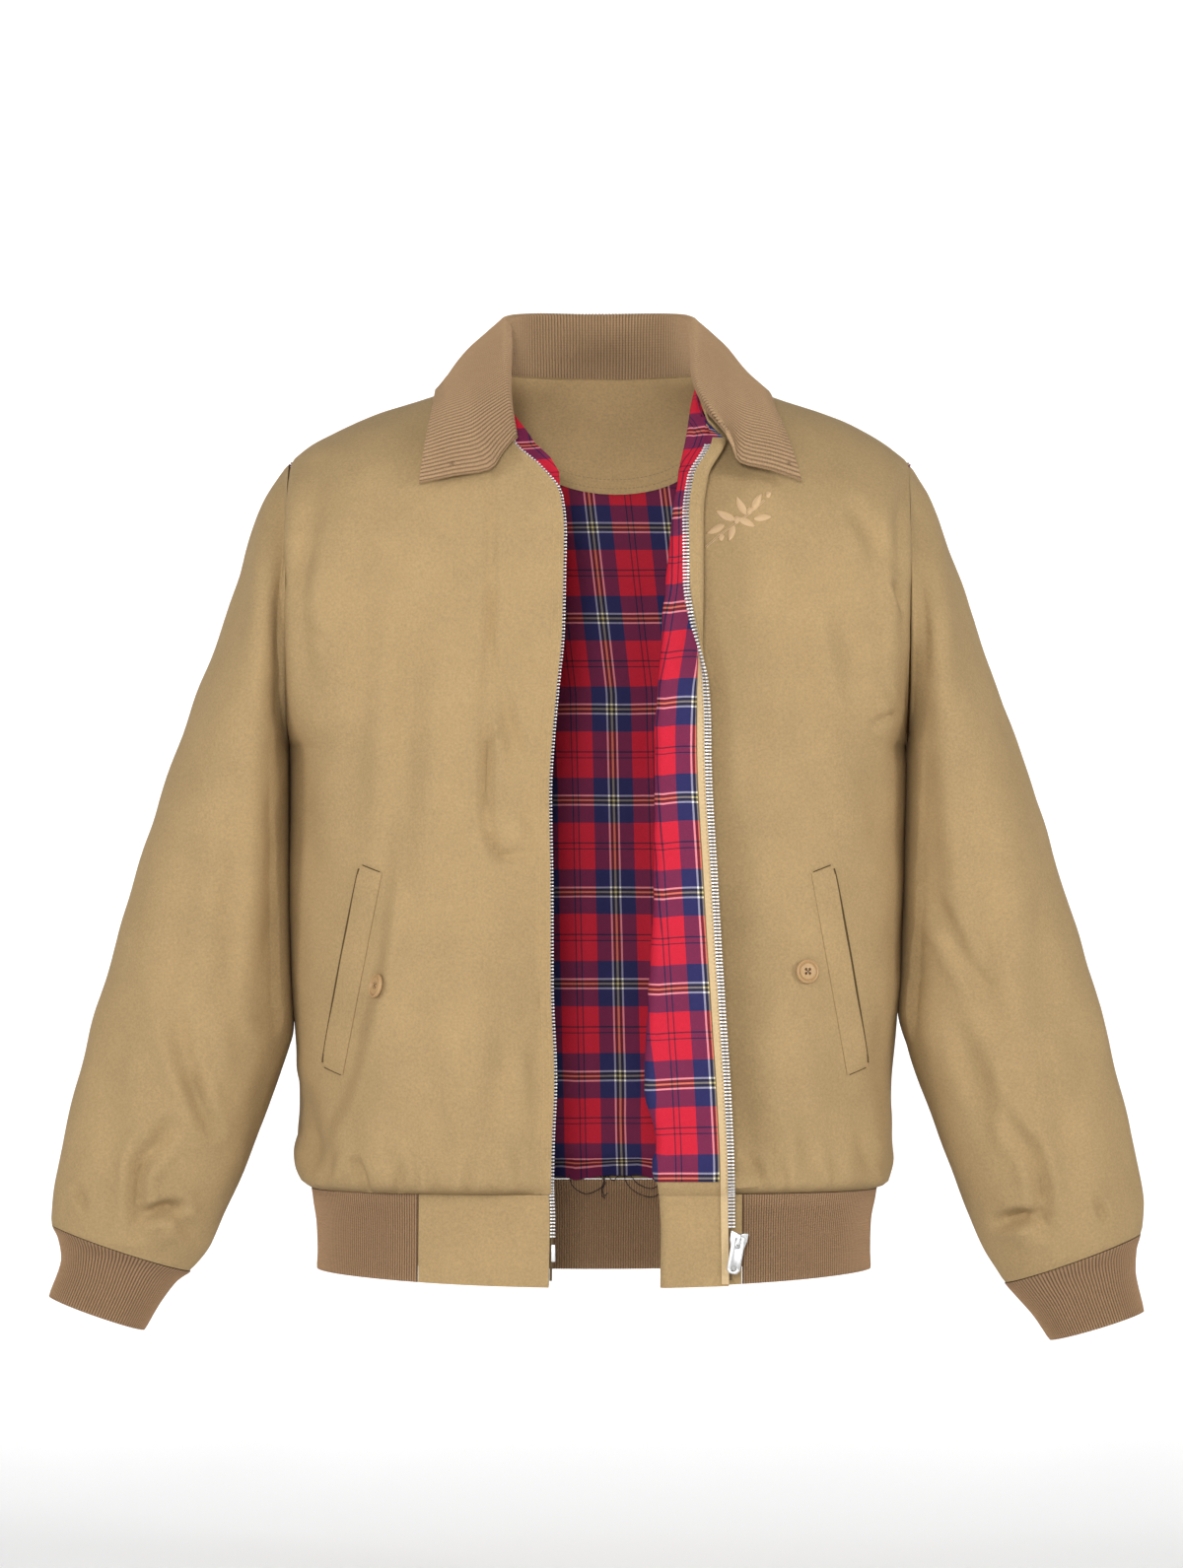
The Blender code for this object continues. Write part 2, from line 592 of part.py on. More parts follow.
# ------------------------------------------------------------------ the panels
def build_front(side, sheet, mask, added, lip):
    """Shell and lining of one front."""
    turn = mirrored if side == "right" else (lambda p: p)
    gap = SEAM_GAP / 2
    normals = seam_normals(sheet, FRONTWARDS, added)
    shell = trimmed(sheet, top=gap, last=gap)
    wall("front_" + side, turn(shell), turn(normals), 0.0, SHELL, "khaki", KHAKI, mask)
    first = LINING_START
    inner = SHELL + LAYER_GAP
    part, part_normals = shell[first:, lip:], normals[first:, lip:]
    wall("lining_" + side, turn(part), turn(part_normals), -inner, inner + LINING, "tartan", TARTAN,
         mask[first:, lip:])
    return normals


def build_back():
    """Back panel, its lining and the half-moon facing."""
    sheet = back_sheet()
    normals = sheet_normals(sheet, np.array([0.0, 1.0, 0.3]))
    for column in (0, -1):
        normals[:, column, 1] = 0.0
    shoulder = np.abs(sheet[-1, :, 0]) > SHOULDER[0, 0] - 0.001
    normals[-1, shoulder, 1] = 0.0
    normals = level(unit(normals), 0)
    gap = SEAM_GAP / 2
    shell = trimmed(sheet, top=gap, first=gap, last=gap)
    wall("back", shell, normals, 0.0, SHELL, "khaki", KHAKI)
    inner = SHELL + LAYER_GAP
    wall("lining_back", shell[LINING_START:], normals[LINING_START:], -inner, inner + LINING, "tartan", TARTAN)
    build_facing(shell, normals, inner + LINING + FACING_GAP)


def build_facing(shell, normals, depth):
    """Half-moon facing inside the back neck, on the lining."""
    middle = shell.shape[1] // 2
    places = [j for j in range(shell.shape[1]) if abs(shell[-1, j, 0]) < FACING_HALF]
    points, ways = [], []
    for j in places:
        levels = shell[:, j, 2]
        low = FACING_LOW + FACING_RISE * shell[-1, j, 0] ** 2
        start = np.interp(low, levels, np.arange(len(levels)))
        end = len(levels) - 1.06
        column, way = [], []
        for step in range(FACING_ROWS):
            i = start + (end - start) * step / (FACING_ROWS - 1)
            column.append([np.interp(i, np.arange(len(levels)), shell[:, j, a]) for a in range(3)])
            way.append([np.interp(i, np.arange(len(levels)), normals[:, j, a]) for a in range(3)])
        points.append(column)
        ways.append(way)
    points, ways = np.array(points).transpose(1, 0, 2), unit(np.array(ways)).transpose(1, 0, 2)
    assert middle in places
    wall("back_neck_facing", points, ways, -depth, depth + SHELL, "khaki", KHAKI)


def band_bottom(x, half):
    """Level of the hem at a place across it."""
    return BAND_BOTTOM_SIDE + (BAND_BOTTOM_MIDDLE - BAND_BOTTOM_SIDE) * max(0.0, 1.0 - (x / half) ** 2)


def band_sheet(make_row):
    """Sheet of a hem piece; make_row(z) gives its points at one level."""
    rows = []
    for z in (BAND_BOTTOM_SIDE,) + BAND_LEVELS[::-1] + (BAND_TOP,):
        row = make_row(z)
        if z == BAND_BOTTOM_SIDE:
            half = smooth_lookup(TORSO, z, 1)
            row[:, 2] = [band_bottom(x, half) for x in row[:, 0]]
        rows.append(row)
    return np.array(rows)


def part_row(z, start, end, steps, column):
    """Points of the front (2) or back (3) at one level between two places."""
    turn = -1.0 if column == 2 else 1.0
    return np.array([[x, turn * section_y(x, z, column), z] for x in section_x(start, end, steps, z)])


def rib_row(z):
    """Hem rib at one level, from the right tab round the back to the left tab."""
    half = smooth_lookup(TORSO, z, 1)
    right = mirrored(part_row(z, TAB_X, half, 4, 2))
    back = part_row(z, 0.0, half, 8, 3)
    left = part_row(z, TAB_X_LEFT, half, 4, 2)[::-1]
    return np.concatenate([right[:-1], mirrored(back)[::-1], back[1:], left[1:]])


def tab_right_row(z):
    """Right hem tab at one level, from the zip to the rib."""
    inner = part_row(z, right_edge_x(z), TAB_X, 5, 2)
    return np.concatenate([plain_edge(inner[0], z)[::-1], inner])


def tab_left_row(z):
    """Left hem tab at one level, rolled like the front above it."""
    inner = part_row(z, left_edge_x(z), TAB_X_LEFT, 4, 2)
    return np.concatenate([rolled_edge(inner[0], z)[::-1], inner])


def build_hem():
    """Hem rib and both woven tabs; returns the tabs' sheets for the zip."""
    gap = SEAM_GAP / 2
    rib = band_sheet(rib_row)
    outward = rib * np.array([1.0, 1.0, 0.0])
    normals = sheet_normals(rib, outward)
    wall("hem_rib", trimmed(rib, first=2 * gap, last=2 * gap), level(normals, -1), 0.0, KNIT, "brown_knit",
         BROWN_KNIT)
    tabs = {}
    for side, make_row, added in (("right", tab_right_row, LIP_COLUMNS), ("left", tab_left_row, ROLL_COLUMNS)):
        sheet = band_sheet(make_row)
        normals = level(edge_normals(sheet, added, FRONTWARDS), -1)
        turn = mirrored if side == "right" else (lambda p: p)
        wall("hem_tab_" + side, turn(trimmed(sheet, last=2 * gap)), turn(normals), 0.0, SHELL, "khaki", KHAKI)
        tabs[side] = sheet
    return tabs


def build_zip(side, front, tab):
    """Tape and teeth of one side; returns the strip's end, level by level."""
    turn = mirrored if side == "right" else (lambda p: p)
    added = LIP_COLUMNS if side == "right" else ROLL_COLUMNS
    whole = np.concatenate([tab[:-1, :added + 3], front[:body_rows(), :added + 3]])
    normals = edge_normals(whole, added, FRONTWARDS)
    strip, ways = whole[:, :LIP_COLUMNS + 1], normals[:, :LIP_COLUMNS + 1]
    inner = SHELL + LAYER_GAP
    tape = trimmed(strip, last=2 * SEAM_GAP, bottom=0.0015, top=0.0015)
    wall("zip_tape_" + side, turn(tape), turn(ways), -inner, inner + TAPE, "cream_tape", CREAM)
    low, middle = TEETH_ROWS_BELOW[side], inner + TAPE / 2
    core = (strip - ways * middle)[low:]
    out = unit(core[:, 0] - core[:, 1])
    teeth = np.stack([core[:, 0] + out * (TEETH_MARGIN + TEETH_WIDE), core[:, 0] + out * TEETH_MARGIN], axis=1)
    square = unit(ways[low:, 0] - out * np.sum(ways[low:, 0] * out, axis=-1, keepdims=True))
    teeth = trimmed(teeth, top=0.002, bottom=TEETH_TRIM[side])
    wall("zip_teeth_" + side, turn(teeth), turn(np.stack([square, square], axis=1)), TEETH_THICK / 2,
         TEETH_THICK / 2, "silver", SILVER)
    return strip[:, 0], ways[:, 0], middle


def block(name, centre, size, bevel, finish_name, finish, foot=None, tilt=0.0):
    """Bevelled block; its lower end may be narrower than its top."""
    made = bmesh.new()
    bmesh.ops.create_cube(made, size=1.0)
    for vertex in made.verts:
        narrow = (foot / size[0]) if foot and vertex.co.z < 0 else 1.0
        vertex.co.x *= size[0] * narrow
        vertex.co.y *= size[1]
        vertex.co.z *= size[2]
    if bevel:
        bmesh.ops.bevel(made, geom=list(made.edges), offset=bevel, segments=2, affect="EDGES", profile=0.5)
    turn = np.array([[math.cos(tilt), 0, math.sin(tilt)], [0, 1, 0], [-math.sin(tilt), 0, math.cos(tilt)]])
    for vertex in made.verts:
        vertex.co = turn @ np.array(vertex.co) + centre
    mesh = bpy.data.meshes.new(name)
    made.to_mesh(mesh)
    made.free()
    mesh.materials.append(material(finish_name, finish))
    mesh.shade_smooth()
    mesh.set_sharp_from_angle(angle=math.radians(35))
    piece = bpy.data.objects.new(name, mesh)
    bpy.context.collection.objects.link(piece)
    return piece


def plate(name, xs, zs, holes, depth, place):
    """Flat silver plate on a grid of xs and zs with some cells left out; place() puts it."""
    mask = np.ones((len(zs) - 1, len(xs) - 1), bool)
    for hole in holes:
        mask[hole] = False
    middle = np.array([[place(x, 0.0, z) for x in xs] for z in zs])
    front = np.array([[place(x, -1.0, z) for x in xs] for z in zs])
    return wall(name, middle, front - middle, depth / 2, depth / 2, "silver", SILVER, mask, lean=False)


def strip_end(zip_end, z):
    """Middle of the tape's thickness at the strip's end, at one level, with the lean."""
    ends, ways, middle = zip_end
    levels = ends[:, 2]
    place = np.array([np.interp(z, levels, ends[:, a]) for a in range(3)])
    way = np.array([np.interp(z, levels, ways[:, a]) for a in range(3)])
    return place - unit(way) * middle


def build_crown(tilt, centre, hinge_z, face):
    """Arch on the slider's face that holds the pull."""
    top = hinge_z + CROWN_OVER
    depths = (face + 0.0005, face - CROWN_HIGH + CROWN_BAR, face - CROWN_HIGH)
    heights = (top - CROWN_TALL, top - CROWN_TALL + CROWN_BAR, top - CROWN_BAR, top)
    sheet = np.array([[tilt @ np.array([0.0, y, z]) + centre for y in depths] for z in heights])
    way = np.zeros(sheet.shape) + tilt @ np.array([1.0, 0.0, 0.0])
    mask = np.array([[True, True], [False, True], [True, True]])
    return wall("crown", sheet, way, CROWN_WIDE / 2, CROWN_WIDE / 2, "silver", SILVER, mask, lean=False)


def joined(base, other):
    """The base made one with the other piece, which goes away."""
    join = base.modifiers.new("join", "BOOLEAN")
    join.operation = "UNION"
    join.solver = "EXACT"
    join.object = other
    depsgraph = bpy.context.evaluated_depsgraph_get()
    merged = bpy.data.meshes.new_from_object(base.evaluated_get(depsgraph))
    base.modifiers.clear()
    base.data = merged
    bpy.data.objects.remove(other, do_unlink=True)


def build_slider(zip_end):
    """Slider with its crown, the retainer box below it and the hinged pull tab."""
    tilt = np.array([[math.cos(ZIP_TILT), 0, math.sin(ZIP_TILT)], [0, 1, 0],
                     [-math.sin(ZIP_TILT), 0, math.cos(ZIP_TILT)]])
    centre_z = SLIDER_TOP - SLIDER_TALL / 2
    end = leaned(strip_end(zip_end, centre_z))
    clear = BOX_MARGIN + SLIDER_TALL / 2 * math.sin(ZIP_TILT) - 0.0010
    centre = end + np.array([clear + SLIDER_WIDE / 2, 0.0, 0.0])
    slider = block("zip_slider", centre, (SLIDER_WIDE, SLIDER_THICK, SLIDER_TALL), 0.0012, "silver", SILVER,
                   SLIDER_FOOT, ZIP_TILT)
    hinge_z, face = SLIDER_TALL / 2 - HINGE_DROP, -SLIDER_THICK / 2
    joined(slider, build_crown(tilt, centre, hinge_z, face))
    build_pull(tilt, tilt @ np.array([0.0, face - HINGE_OUT, hinge_z]) + centre)
    box_z = SLIDER_TOP - SLIDER_TALL - BOX_DROP - BOX_SIZE[2] / 2
    box_end = leaned(strip_end(zip_end, box_z))
    block("zip_box", box_end + np.array([BOX_MARGIN + BOX_SIZE[0] / 2, 0.0, 0.0]), BOX_SIZE, 0.0006, "silver", SILVER)


def build_pull(tilt, hinge):
    """Pull tab, hung on the crown by the bar above its slot; its origin is the hinge."""
    xs = [-PULL_WIDE / 2, -PULL_SLOT_WIDE / 2, PULL_SLOT_WIDE / 2, PULL_WIDE / 2]
    top = PULL_BAR / 2
    zs = [top - PULL_LONG, top - PULL_LONG + 0.0016, top - PULL_LONG + 0.0056, top - PULL_BAR - PULL_SLOT,
          top - PULL_BAR, top]
    pull = plate("zip_pull", xs, zs, [(1, 1), (3, 1)], PULL_THICK, lambda x, y, z: tilt @ np.array([x, y, z]))
    pull.location = hinge


def build_pin(zip_end):
    """Insertion pin at the foot of the right row of teeth."""
    z = BAND_LEVELS[2] - BOX_MARGIN - PIN_SIZE[2] / 2
    end = leaned(mirrored(strip_end(zip_end, z)))
    block("zip_pin", end + np.array([TEETH_MARGIN + PIN_SIZE[0] / 2, 0.0, 0.0]), PIN_SIZE, 0.0006, "silver",
          SILVER)


def on_sheet(sheet, x, z):
    """Point of a front panel's faces at x, z (on the +X side)."""
    rows, columns = sheet.shape[:2]
    for i in range(rows - 1):
        for j in range(columns - 1):
            ring = [sheet[i, j], sheet[i, j + 1], sheet[i + 1, j + 1], sheet[i + 1, j]]
            for a, b, c in ((0, 1, 2), (0, 2, 3)):
                base = np.array([ring[b][[0, 2]] - ring[a][[0, 2]], ring[c][[0, 2]] - ring[a][[0, 2]]]).T
                if abs(np.linalg.det(base)) < 1e-12:
                    continue
                u, v = np.linalg.solve(base, np.array([x, z]) - ring[a][[0, 2]])
                if u >= -1e-9 and v >= -1e-9 and u + v <= 1 + 1e-9:
                    return ring[a] + u * (ring[b] - ring[a]) + v * (ring[c] - ring[a])
    raise ValueError("no cloth there")


def build_welt(side, sheet):
    """Slanted pocket welt, made from the front's own points."""
    turn = mirrored if side == "right" else (lambda p: p)
    rows = []
    for step in range(WELT_ROWS):
        share = step / (WELT_ROWS - 1)
        low, high = np.array(WELT_BOTTOM), np.array(WELT_TOP)
        inner, outer, z = low + (high - low) * share
        rows.append([on_sheet(sheet, inner + (outer - inner) * u, z - WELT_SLANT * (0.5 - u)) for u in (0, 0.5, 1)])
    points = np.array(rows)
    normals = sheet_normals(points, FRONTWARDS)
    wall("welt_" + side, turn(points), turn(normals), WELT_GAP + WELT_THICK, -WELT_GAP, "khaki", KHAKI)


def build_button(side, sheet, place):
    """Round button lying on the front."""
    x, z = place
    step = 0.006
    corners = [on_sheet(sheet, x + dx, z + dz) for dx, dz in ((-step, 0), (step, 0), (0, -step), (0, step))]
    way = unit(np.cross(corners[1] - corners[0], corners[3] - corners[2]))
    way = way * np.sign(np.dot(way, FRONTWARDS))
    centre = on_sheet(sheet, x, z) + way * (BUTTON_GAP + BUTTON_THICK / 2)
    if side == "right":
        centre, way = mirrored(centre), mirrored(way)
    centre = leaned(centre)
    made = bmesh.new()
    bmesh.ops.create_cone(made, cap_ends=True, segments=20, radius1=BUTTON_RADIUS, radius2=BUTTON_RADIUS,
                          depth=BUTTON_THICK)
    rims = [e for e in made.edges if abs(e.verts[0].co.z - e.verts[1].co.z) < 1e-6]
    bmesh.ops.bevel(made, geom=rims, offset=0.0007, segments=1, affect="EDGES")
    across = unit(np.cross(way, np.array([0.0, 0.0, 1.0])))
    frame = np.array([across, np.cross(way, across), way]).T
    for vertex in made.verts:
        vertex.co = frame @ np.array(vertex.co) + centre
    mesh = bpy.data.meshes.new("button_" + side)
    made.to_mesh(mesh)
    made.free()
    mesh.materials.append(material("horn", HORN))
    mesh.shade_smooth()
    mesh.set_sharp_from_angle(angle=math.radians(30))
    piece = bpy.data.objects.new("button_" + side, mesh)
    bpy.context.collection.objects.link(piece)


def ring_sheet(table):
    """Rings of a sleeve or cuff from its table, first ring at the top."""
    rings = []
    for outer_x, outer_z, inner_x, inner_z, depth, middle_y in table:
        outer, inner = np.array([outer_x, middle_y, outer_z]), np.array([inner_x, middle_y, inner_z])
        share = 0.5 + (ARM_MIDDLE - 0.5) * max(0.0, 1.0 - len(rings) / 4)
        centre = outer + (inner - outer) * share
        ring = []
        for k in range(SLEEVE_SIDES):
            angle = 2 * math.pi * k / SLEEVE_SIDES
            reach = (outer if math.cos(angle) > 0 else inner) - centre
            ring.append(centre + reach * abs(math.cos(angle)) + np.array([0, depth * math.sin(angle), 0]))
        rings.append(ring)
    return np.array(rings)


def ring_normals(rings):
    """Outward normals of a closed ring sheet."""
    down = np.gradient(rings, axis=0)
    across = (np.roll(rings, -1, axis=1) - np.roll(rings, 1, axis=1)) / 2
    normals = unit(np.cross(down, across))
    outward = rings - rings.mean(axis=1, keepdims=True)
    normals = normals * np.sign(np.sum(normals * outward, axis=-1).sum())
    for end in (0, -1):
        half = len(rings[end]) // 2
        plane = unit(np.cross(rings[end][half] - rings[end][0], np.array([0.0, 1.0, 0.0])))
        normals[end] = unit(normals[end] - plane * (normals[end] @ plane)[:, None])
    return normals


def build_sleeve(side):
    """Sleeve and ribbed cuff of one side; the left one hangs a little lower."""
    turn = mirrored if side == "right" else (lambda p: p)
    rings, cuff_rings = SLEEVE, CUFF
    if side == "left":
        rings, cuff_rings = np.concatenate([SLEEVE[:-len(SLEEVE_LEFT_END)], SLEEVE_LEFT_END]), CUFF_LEFT
    sleeve = ring_sheet(rings)
    wall("sleeve_" + side, turn(sleeve), turn(ring_normals(sleeve)), 0.0, SHELL, "khaki", KHAKI, closed=True)
    cuff = ring_sheet(cuff_rings)
    wall("cuff_" + side, turn(cuff), turn(ring_normals(cuff)), 0.0, KNIT, "brown_knit", BROWN_KNIT, closed=True)


def collar_curve(row):
    """Points across the collar: up the stand, over the roll and down the leaf."""
    seam, roll, leaf, edge = row.reshape(4, 3)
    seam = seam + unit(roll - seam) * COLLAR_RISE
    up = unit(roll - (seam + leaf) / 2)
    out = leaf - seam
    out = unit(out - up * np.dot(out, up))
    size = COLLAR_ROLL
    stand_top, leaf_top = roll - out * size - up * size, roll + out * size - up * size
    return np.array([seam, (seam + stand_top) / 2, stand_top, roll - up * size * 0.2 - out * size * 0.6,
                     roll + out * size * 0.6 - up * size * 0.2, leaf_top, (leaf_top + leaf) / 2 + up * 0.0008,
                     leaf, (leaf + edge) / 2 + up * 0.0004, edge])


def build_collar():
    """One-piece turned-down rib collar, from the right front round the neck to the left."""
    right = np.concatenate([COLLAR_BACK, COLLAR_RIGHT])
    left = np.concatenate([COLLAR_BACK, COLLAR_LEFT])
    signs = np.array([-1.0, 1.0, 1.0] * 4)
    rows = list((right * signs)[::-1]) + list(left[1:])
    count = (len(rows) - 1) * STATION_STEPS
    curves = np.array([collar_curve(spline(rows, k / STATION_STEPS)) for k in range(count + 1)])
    normals = sheet_normals(curves, np.array([0.0, 0.0, 1.0]))
    wall("collar", curves, normals, KNIT / 2, KNIT / 2, "tan_knit", TAN_KNIT)


def main():
    """Build every piece."""
    for old in list(bpy.data.objects):
        bpy.data.objects.remove(old, do_unlink=True)
    right, right_mask, right_added = right_front()
    left, left_mask, left_added = left_front()
    build_front("right", right, right_mask, right_added, LIP_COLUMNS)
    build_front("left", left, left_mask, left_added, LIP_COLUMNS)
    build_back()
    tabs = build_hem()
    pin_end = build_zip("right", right, tabs["right"])
    slider_end = build_zip("left", left, tabs["left"])
    build_pin(pin_end)
    build_slider(slider_end)
    for side, sheet, added, button in (("right", right, right_added, BUTTON_RIGHT),
                                       ("left", left, left_added, BUTTON_LEFT)):
        build_welt(side, sheet[:, added:])
        build_button(side, sheet[:, added:], button)
        build_sleeve(side)
    build_collar()


main()
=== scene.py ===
"""Harrington jacket: cloth, knit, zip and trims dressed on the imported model.

The frame is the part's own: metres, +Z up, +X the wearer's left, the front
faces -Y, and the origin is the middle of the neck opening.
"""
from __future__ import annotations

import logging
import math
from dataclasses import dataclass, field, replace
from enum import Enum
from typing import Callable, Iterable, Sequence

import bmesh
import bpy
import numpy as np
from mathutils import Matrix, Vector


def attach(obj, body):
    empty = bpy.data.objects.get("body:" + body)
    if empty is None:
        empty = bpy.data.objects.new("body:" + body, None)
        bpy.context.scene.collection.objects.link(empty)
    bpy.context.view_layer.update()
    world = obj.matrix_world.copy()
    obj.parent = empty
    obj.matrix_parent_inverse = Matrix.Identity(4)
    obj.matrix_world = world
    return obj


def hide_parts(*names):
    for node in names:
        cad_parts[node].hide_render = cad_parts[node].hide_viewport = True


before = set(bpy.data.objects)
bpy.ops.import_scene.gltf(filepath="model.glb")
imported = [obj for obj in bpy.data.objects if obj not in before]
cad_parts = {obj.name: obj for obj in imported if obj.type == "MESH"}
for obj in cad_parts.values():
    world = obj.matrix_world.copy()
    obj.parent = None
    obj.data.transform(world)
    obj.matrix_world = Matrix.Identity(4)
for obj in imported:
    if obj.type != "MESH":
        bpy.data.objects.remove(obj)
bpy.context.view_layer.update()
LOG = logging.getLogger("jacket")
JACKET = "jacket"
Array = np.ndarray

# ------------------------------------------------------------------ cloth sizes
SHELL = 0.0014
LINING = 0.0010
KNIT = 0.0022
TAPE = 0.0010
NARROWEST_CUT = 0.0100
LAYER = 0.0004
SEAM = 0.0004
LEAN = 0.0076
LEAN_LEVEL = -0.19
DEPTH = 1.9


class Side(Enum):
    """The wearer's side a piece belongs to."""

    RIGHT = -1
    LEFT = 1

    @property
    def word(self) -> str:
        """Lower-case name used in piece names."""
        return self.name.lower()


def unit(v: Array) -> Array:
    """Vectors scaled to length one."""
    return v / np.maximum(np.linalg.norm(v, axis=-1, keepdims=True), 1e-12)


def ease(t: Array | float) -> Array | float:
    """Smooth step from 0 to 1."""
    t = np.clip(t, 0.0, 1.0)
    return t * t * (3 - 2 * t)


def run_lengths(line: Array) -> Array:
    """Length of a line of points up to each of them."""
    return np.concatenate([[0.0], np.cumsum(np.linalg.norm(np.diff(line, axis=0), axis=1))])


def read_along(at: Array | float, keys: Array, line: Array) -> Array:
    """Columns of a line's points looked up at the given keys."""
    return np.stack([np.interp(at, keys, line[:, a]) for a in range(line.shape[1])], axis=-1)


def between(grid: Array, at: float) -> Array:
    """Row of a grid at a fractional place."""
    base, t = int(at), at - int(at)
    return grid[base] * (1 - t) + grid[base + 1] * t


def spans(points: Array) -> tuple[Array, Array]:
    """Lengths along a grid of points, from its first row and from its first column."""
    up = np.cumsum(np.linalg.norm(np.diff(points, axis=0), axis=-1), axis=0)
    over = np.cumsum(np.linalg.norm(np.diff(points, axis=1), axis=-1), axis=1)
    return (np.concatenate([np.zeros((1, points.shape[1])), up]),
            np.concatenate([np.zeros((points.shape[0], 1)), over], axis=1))


def smooth_lookup(table: Array, key: float, column: int) -> float:
    """Value of a table column at a key, by monotone cubic pieces.

    Args:
        table: Rows sorted by their first column.
        key: Where to read.
        column: Which column to read.

    Returns:
        The value there.
    """
    keys, values = table[:, 0], table[:, column]
    key = float(np.clip(key, keys[0], keys[-1]))
    i = int(np.clip(np.searchsorted(keys, key) - 1, 0, len(keys) - 2))
    steps = np.diff(keys)
    slopes = np.diff(values) / steps
    ends = np.concatenate([[slopes[0]], slopes, [slopes[-1]]])
    turns = np.where(ends[:-1] * ends[1:] > 0, 2 * ends[:-1] * ends[1:] / (ends[:-1] + ends[1:] + 1e-12), 0.0)
    t = (key - keys[i]) / steps[i]
    a, b = values[i], values[i + 1]
    return float((1 + 2 * t) * (1 - t) ** 2 * a + t * (1 - t) ** 2 * steps[i] * turns[i]
                 + t * t * (3 - 2 * t) * b + t * t * (t - 1) * steps[i] * turns[i + 1])


def smooth_lookup_many(table: Array, keys: Array, column: int) -> Array:
    """Values of a table column at several keys, one to a row."""
    return np.array([smooth_lookup(table, key, column) for key in keys])[:, None]


def spline(points: Array, t: float) -> Array:
    """Point of a curve through all the points, t from 0 to their count less one."""
    last = len(points) - 1
    i = min(int(t), last - 1)
    u = t - i
    before = points[i - 1] if i > 0 else 2 * points[0] - points[1]
    after = points[i + 2] if i + 2 <= last else 2 * points[last] - points[last - 1]
    m0, m1 = (points[i + 1] - before) / 2, (after - points[i]) / 2
    return ((1 + 2 * u) * (1 - u) ** 2 * points[i] + u * (1 - u) ** 2 * m0
            + u * u * (3 - 2 * u) * points[i + 1] + u * u * (u - 1) * m1)


def dense(knots: Sequence[Sequence[float]], count: int) -> Array:
    """That many points of the curve through the knots."""
    points = np.array(knots)
    return np.array([spline(points, t) for t in np.linspace(0, len(points) - 1, count)])


def mirrored(points: Array) -> Array:
    """The same points on the wearer's other side."""
    return points * np.array([-1.0, 1.0, 1.0])


def leaned(points: Array) -> Array:
    """Points moved with the slight lean of the whole jacket."""
    moved = points.copy()
    moved[..., 0] += LEAN * (points[..., 2] - LEAN_LEVEL)
    return moved


# ------------------------------------------------------------ folds in the cloth
@dataclass(frozen=True)
class FrontView:
    """Grid of the front view in which folds and trims are set out.

    One step of the grid is `step` metres on the fronts; `middle_x` and
    `middle_z` are the place of its centre.
    """

    step: float = 0.000708
    centre_u: float = 600.0
    centre_v: float = 795.5
    middle_x: float = -0.00507
    middle_z: float = -0.29865

    def place(self, u: float, v: float, step: float | None = None) -> Array:
        """Place in metres (x, z) of a grid place."""
        size = step or self.step
        return np.array([(u - self.centre_u) * size + self.middle_x, self.middle_z - (v - self.centre_v) * size])


VIEW = FrontView()
BACK_STEP = 0.0007378


@dataclass(frozen=True)
class Crease:
    """One soft fold between two places of the front view's grid.

    `width` and `height` are in millimetres: a trough has a negative height.
    `bow` pushes the middle sideways, in grid steps, `skew` makes one flank
    steeper, and `shoulder` is how much cloth rises beside it.
    """

    u0: float
    v0: float
    u1: float
    v1: float
    width: float
    height: float
    bow: float = 0.0
    skew: float = 0.0
    shoulder: float = 0.35

    def relief(self, x: Array, z: Array, step: float) -> Array:
        """Height of the fold over the given places.

        Args:
            x: Places across, metres.
            z: Places up, metres.
            step: Size of one grid step there.

        Returns:
            Heights in metres, same shape as x.
        """
        a, b = VIEW.place(self.u0, self.v0, step), VIEW.place(self.u1, self.v1, step)
        run = b - a
        length = float(np.hypot(*run)) or 1e-6
        along, across = run / length, np.array([-run[1], run[0]]) / length
        dx, dz = x - a[0], z - a[1]
        s = (dx * along[0] + dz * along[1]) / length
        inner = np.clip(s, 0.0, 1.0)
        bend = self.bow * step * 4 * inner * (1 - inner)
        off = dx * across[0] + dz * across[1] - bend
        beyond = np.maximum(np.abs(s - 0.5) - 0.5, 0.0) * length
        t = np.hypot(off, beyond) / (self.width * 0.001)
        t = t * (1 + self.skew * np.sign(off))
        fade = np.sin(np.pi * np.clip(0.06 + 0.88 * inner, 0, 1)) ** 0.6
        body = np.exp(-t * t) - self.shoulder * np.exp(-((t - 1.9) / 0.9) ** 2)
        return self.height * DEPTH * 0.001 * fade * body


@dataclass(frozen=True)
class Slack:
    """Low uneven waviness of hanging cloth."""

    height: float = 0.0008
    length: float = 0.060
    phase: float = 0.0

    def relief(self, x: Array, y: Array, z: Array) -> Array:
        """Height of the waviness at the given places."""
        k = 2 * math.pi / self.length
        a = np.sin(k * (x + 0.35 * z) + 1.3 + self.phase) * np.sin(0.43 * k * (z - 0.2 * x) + 0.4 + self.phase)
        b = np.sin(1.7 * k * (x - 0.2 * z + y) + 2.1 * self.phase) * np.sin(0.77 * k * z + 1.1)
        c = np.sin(0.61 * k * (y + 0.5 * x) + 0.7 * self.phase) * np.cos(0.9 * k * z + 2.0)
        return self.height * (0.55 * a + 0.25 * b + 0.45 * c)


def creased(creases: Sequence[Crease], x: Array, z: Array, step: float = VIEW.step) -> Array:
    """Sum of all the folds' heights over the given places."""
    total = np.zeros(x.shape)
    for crease in creases:
        total += crease.relief(x, z, step)
    return total


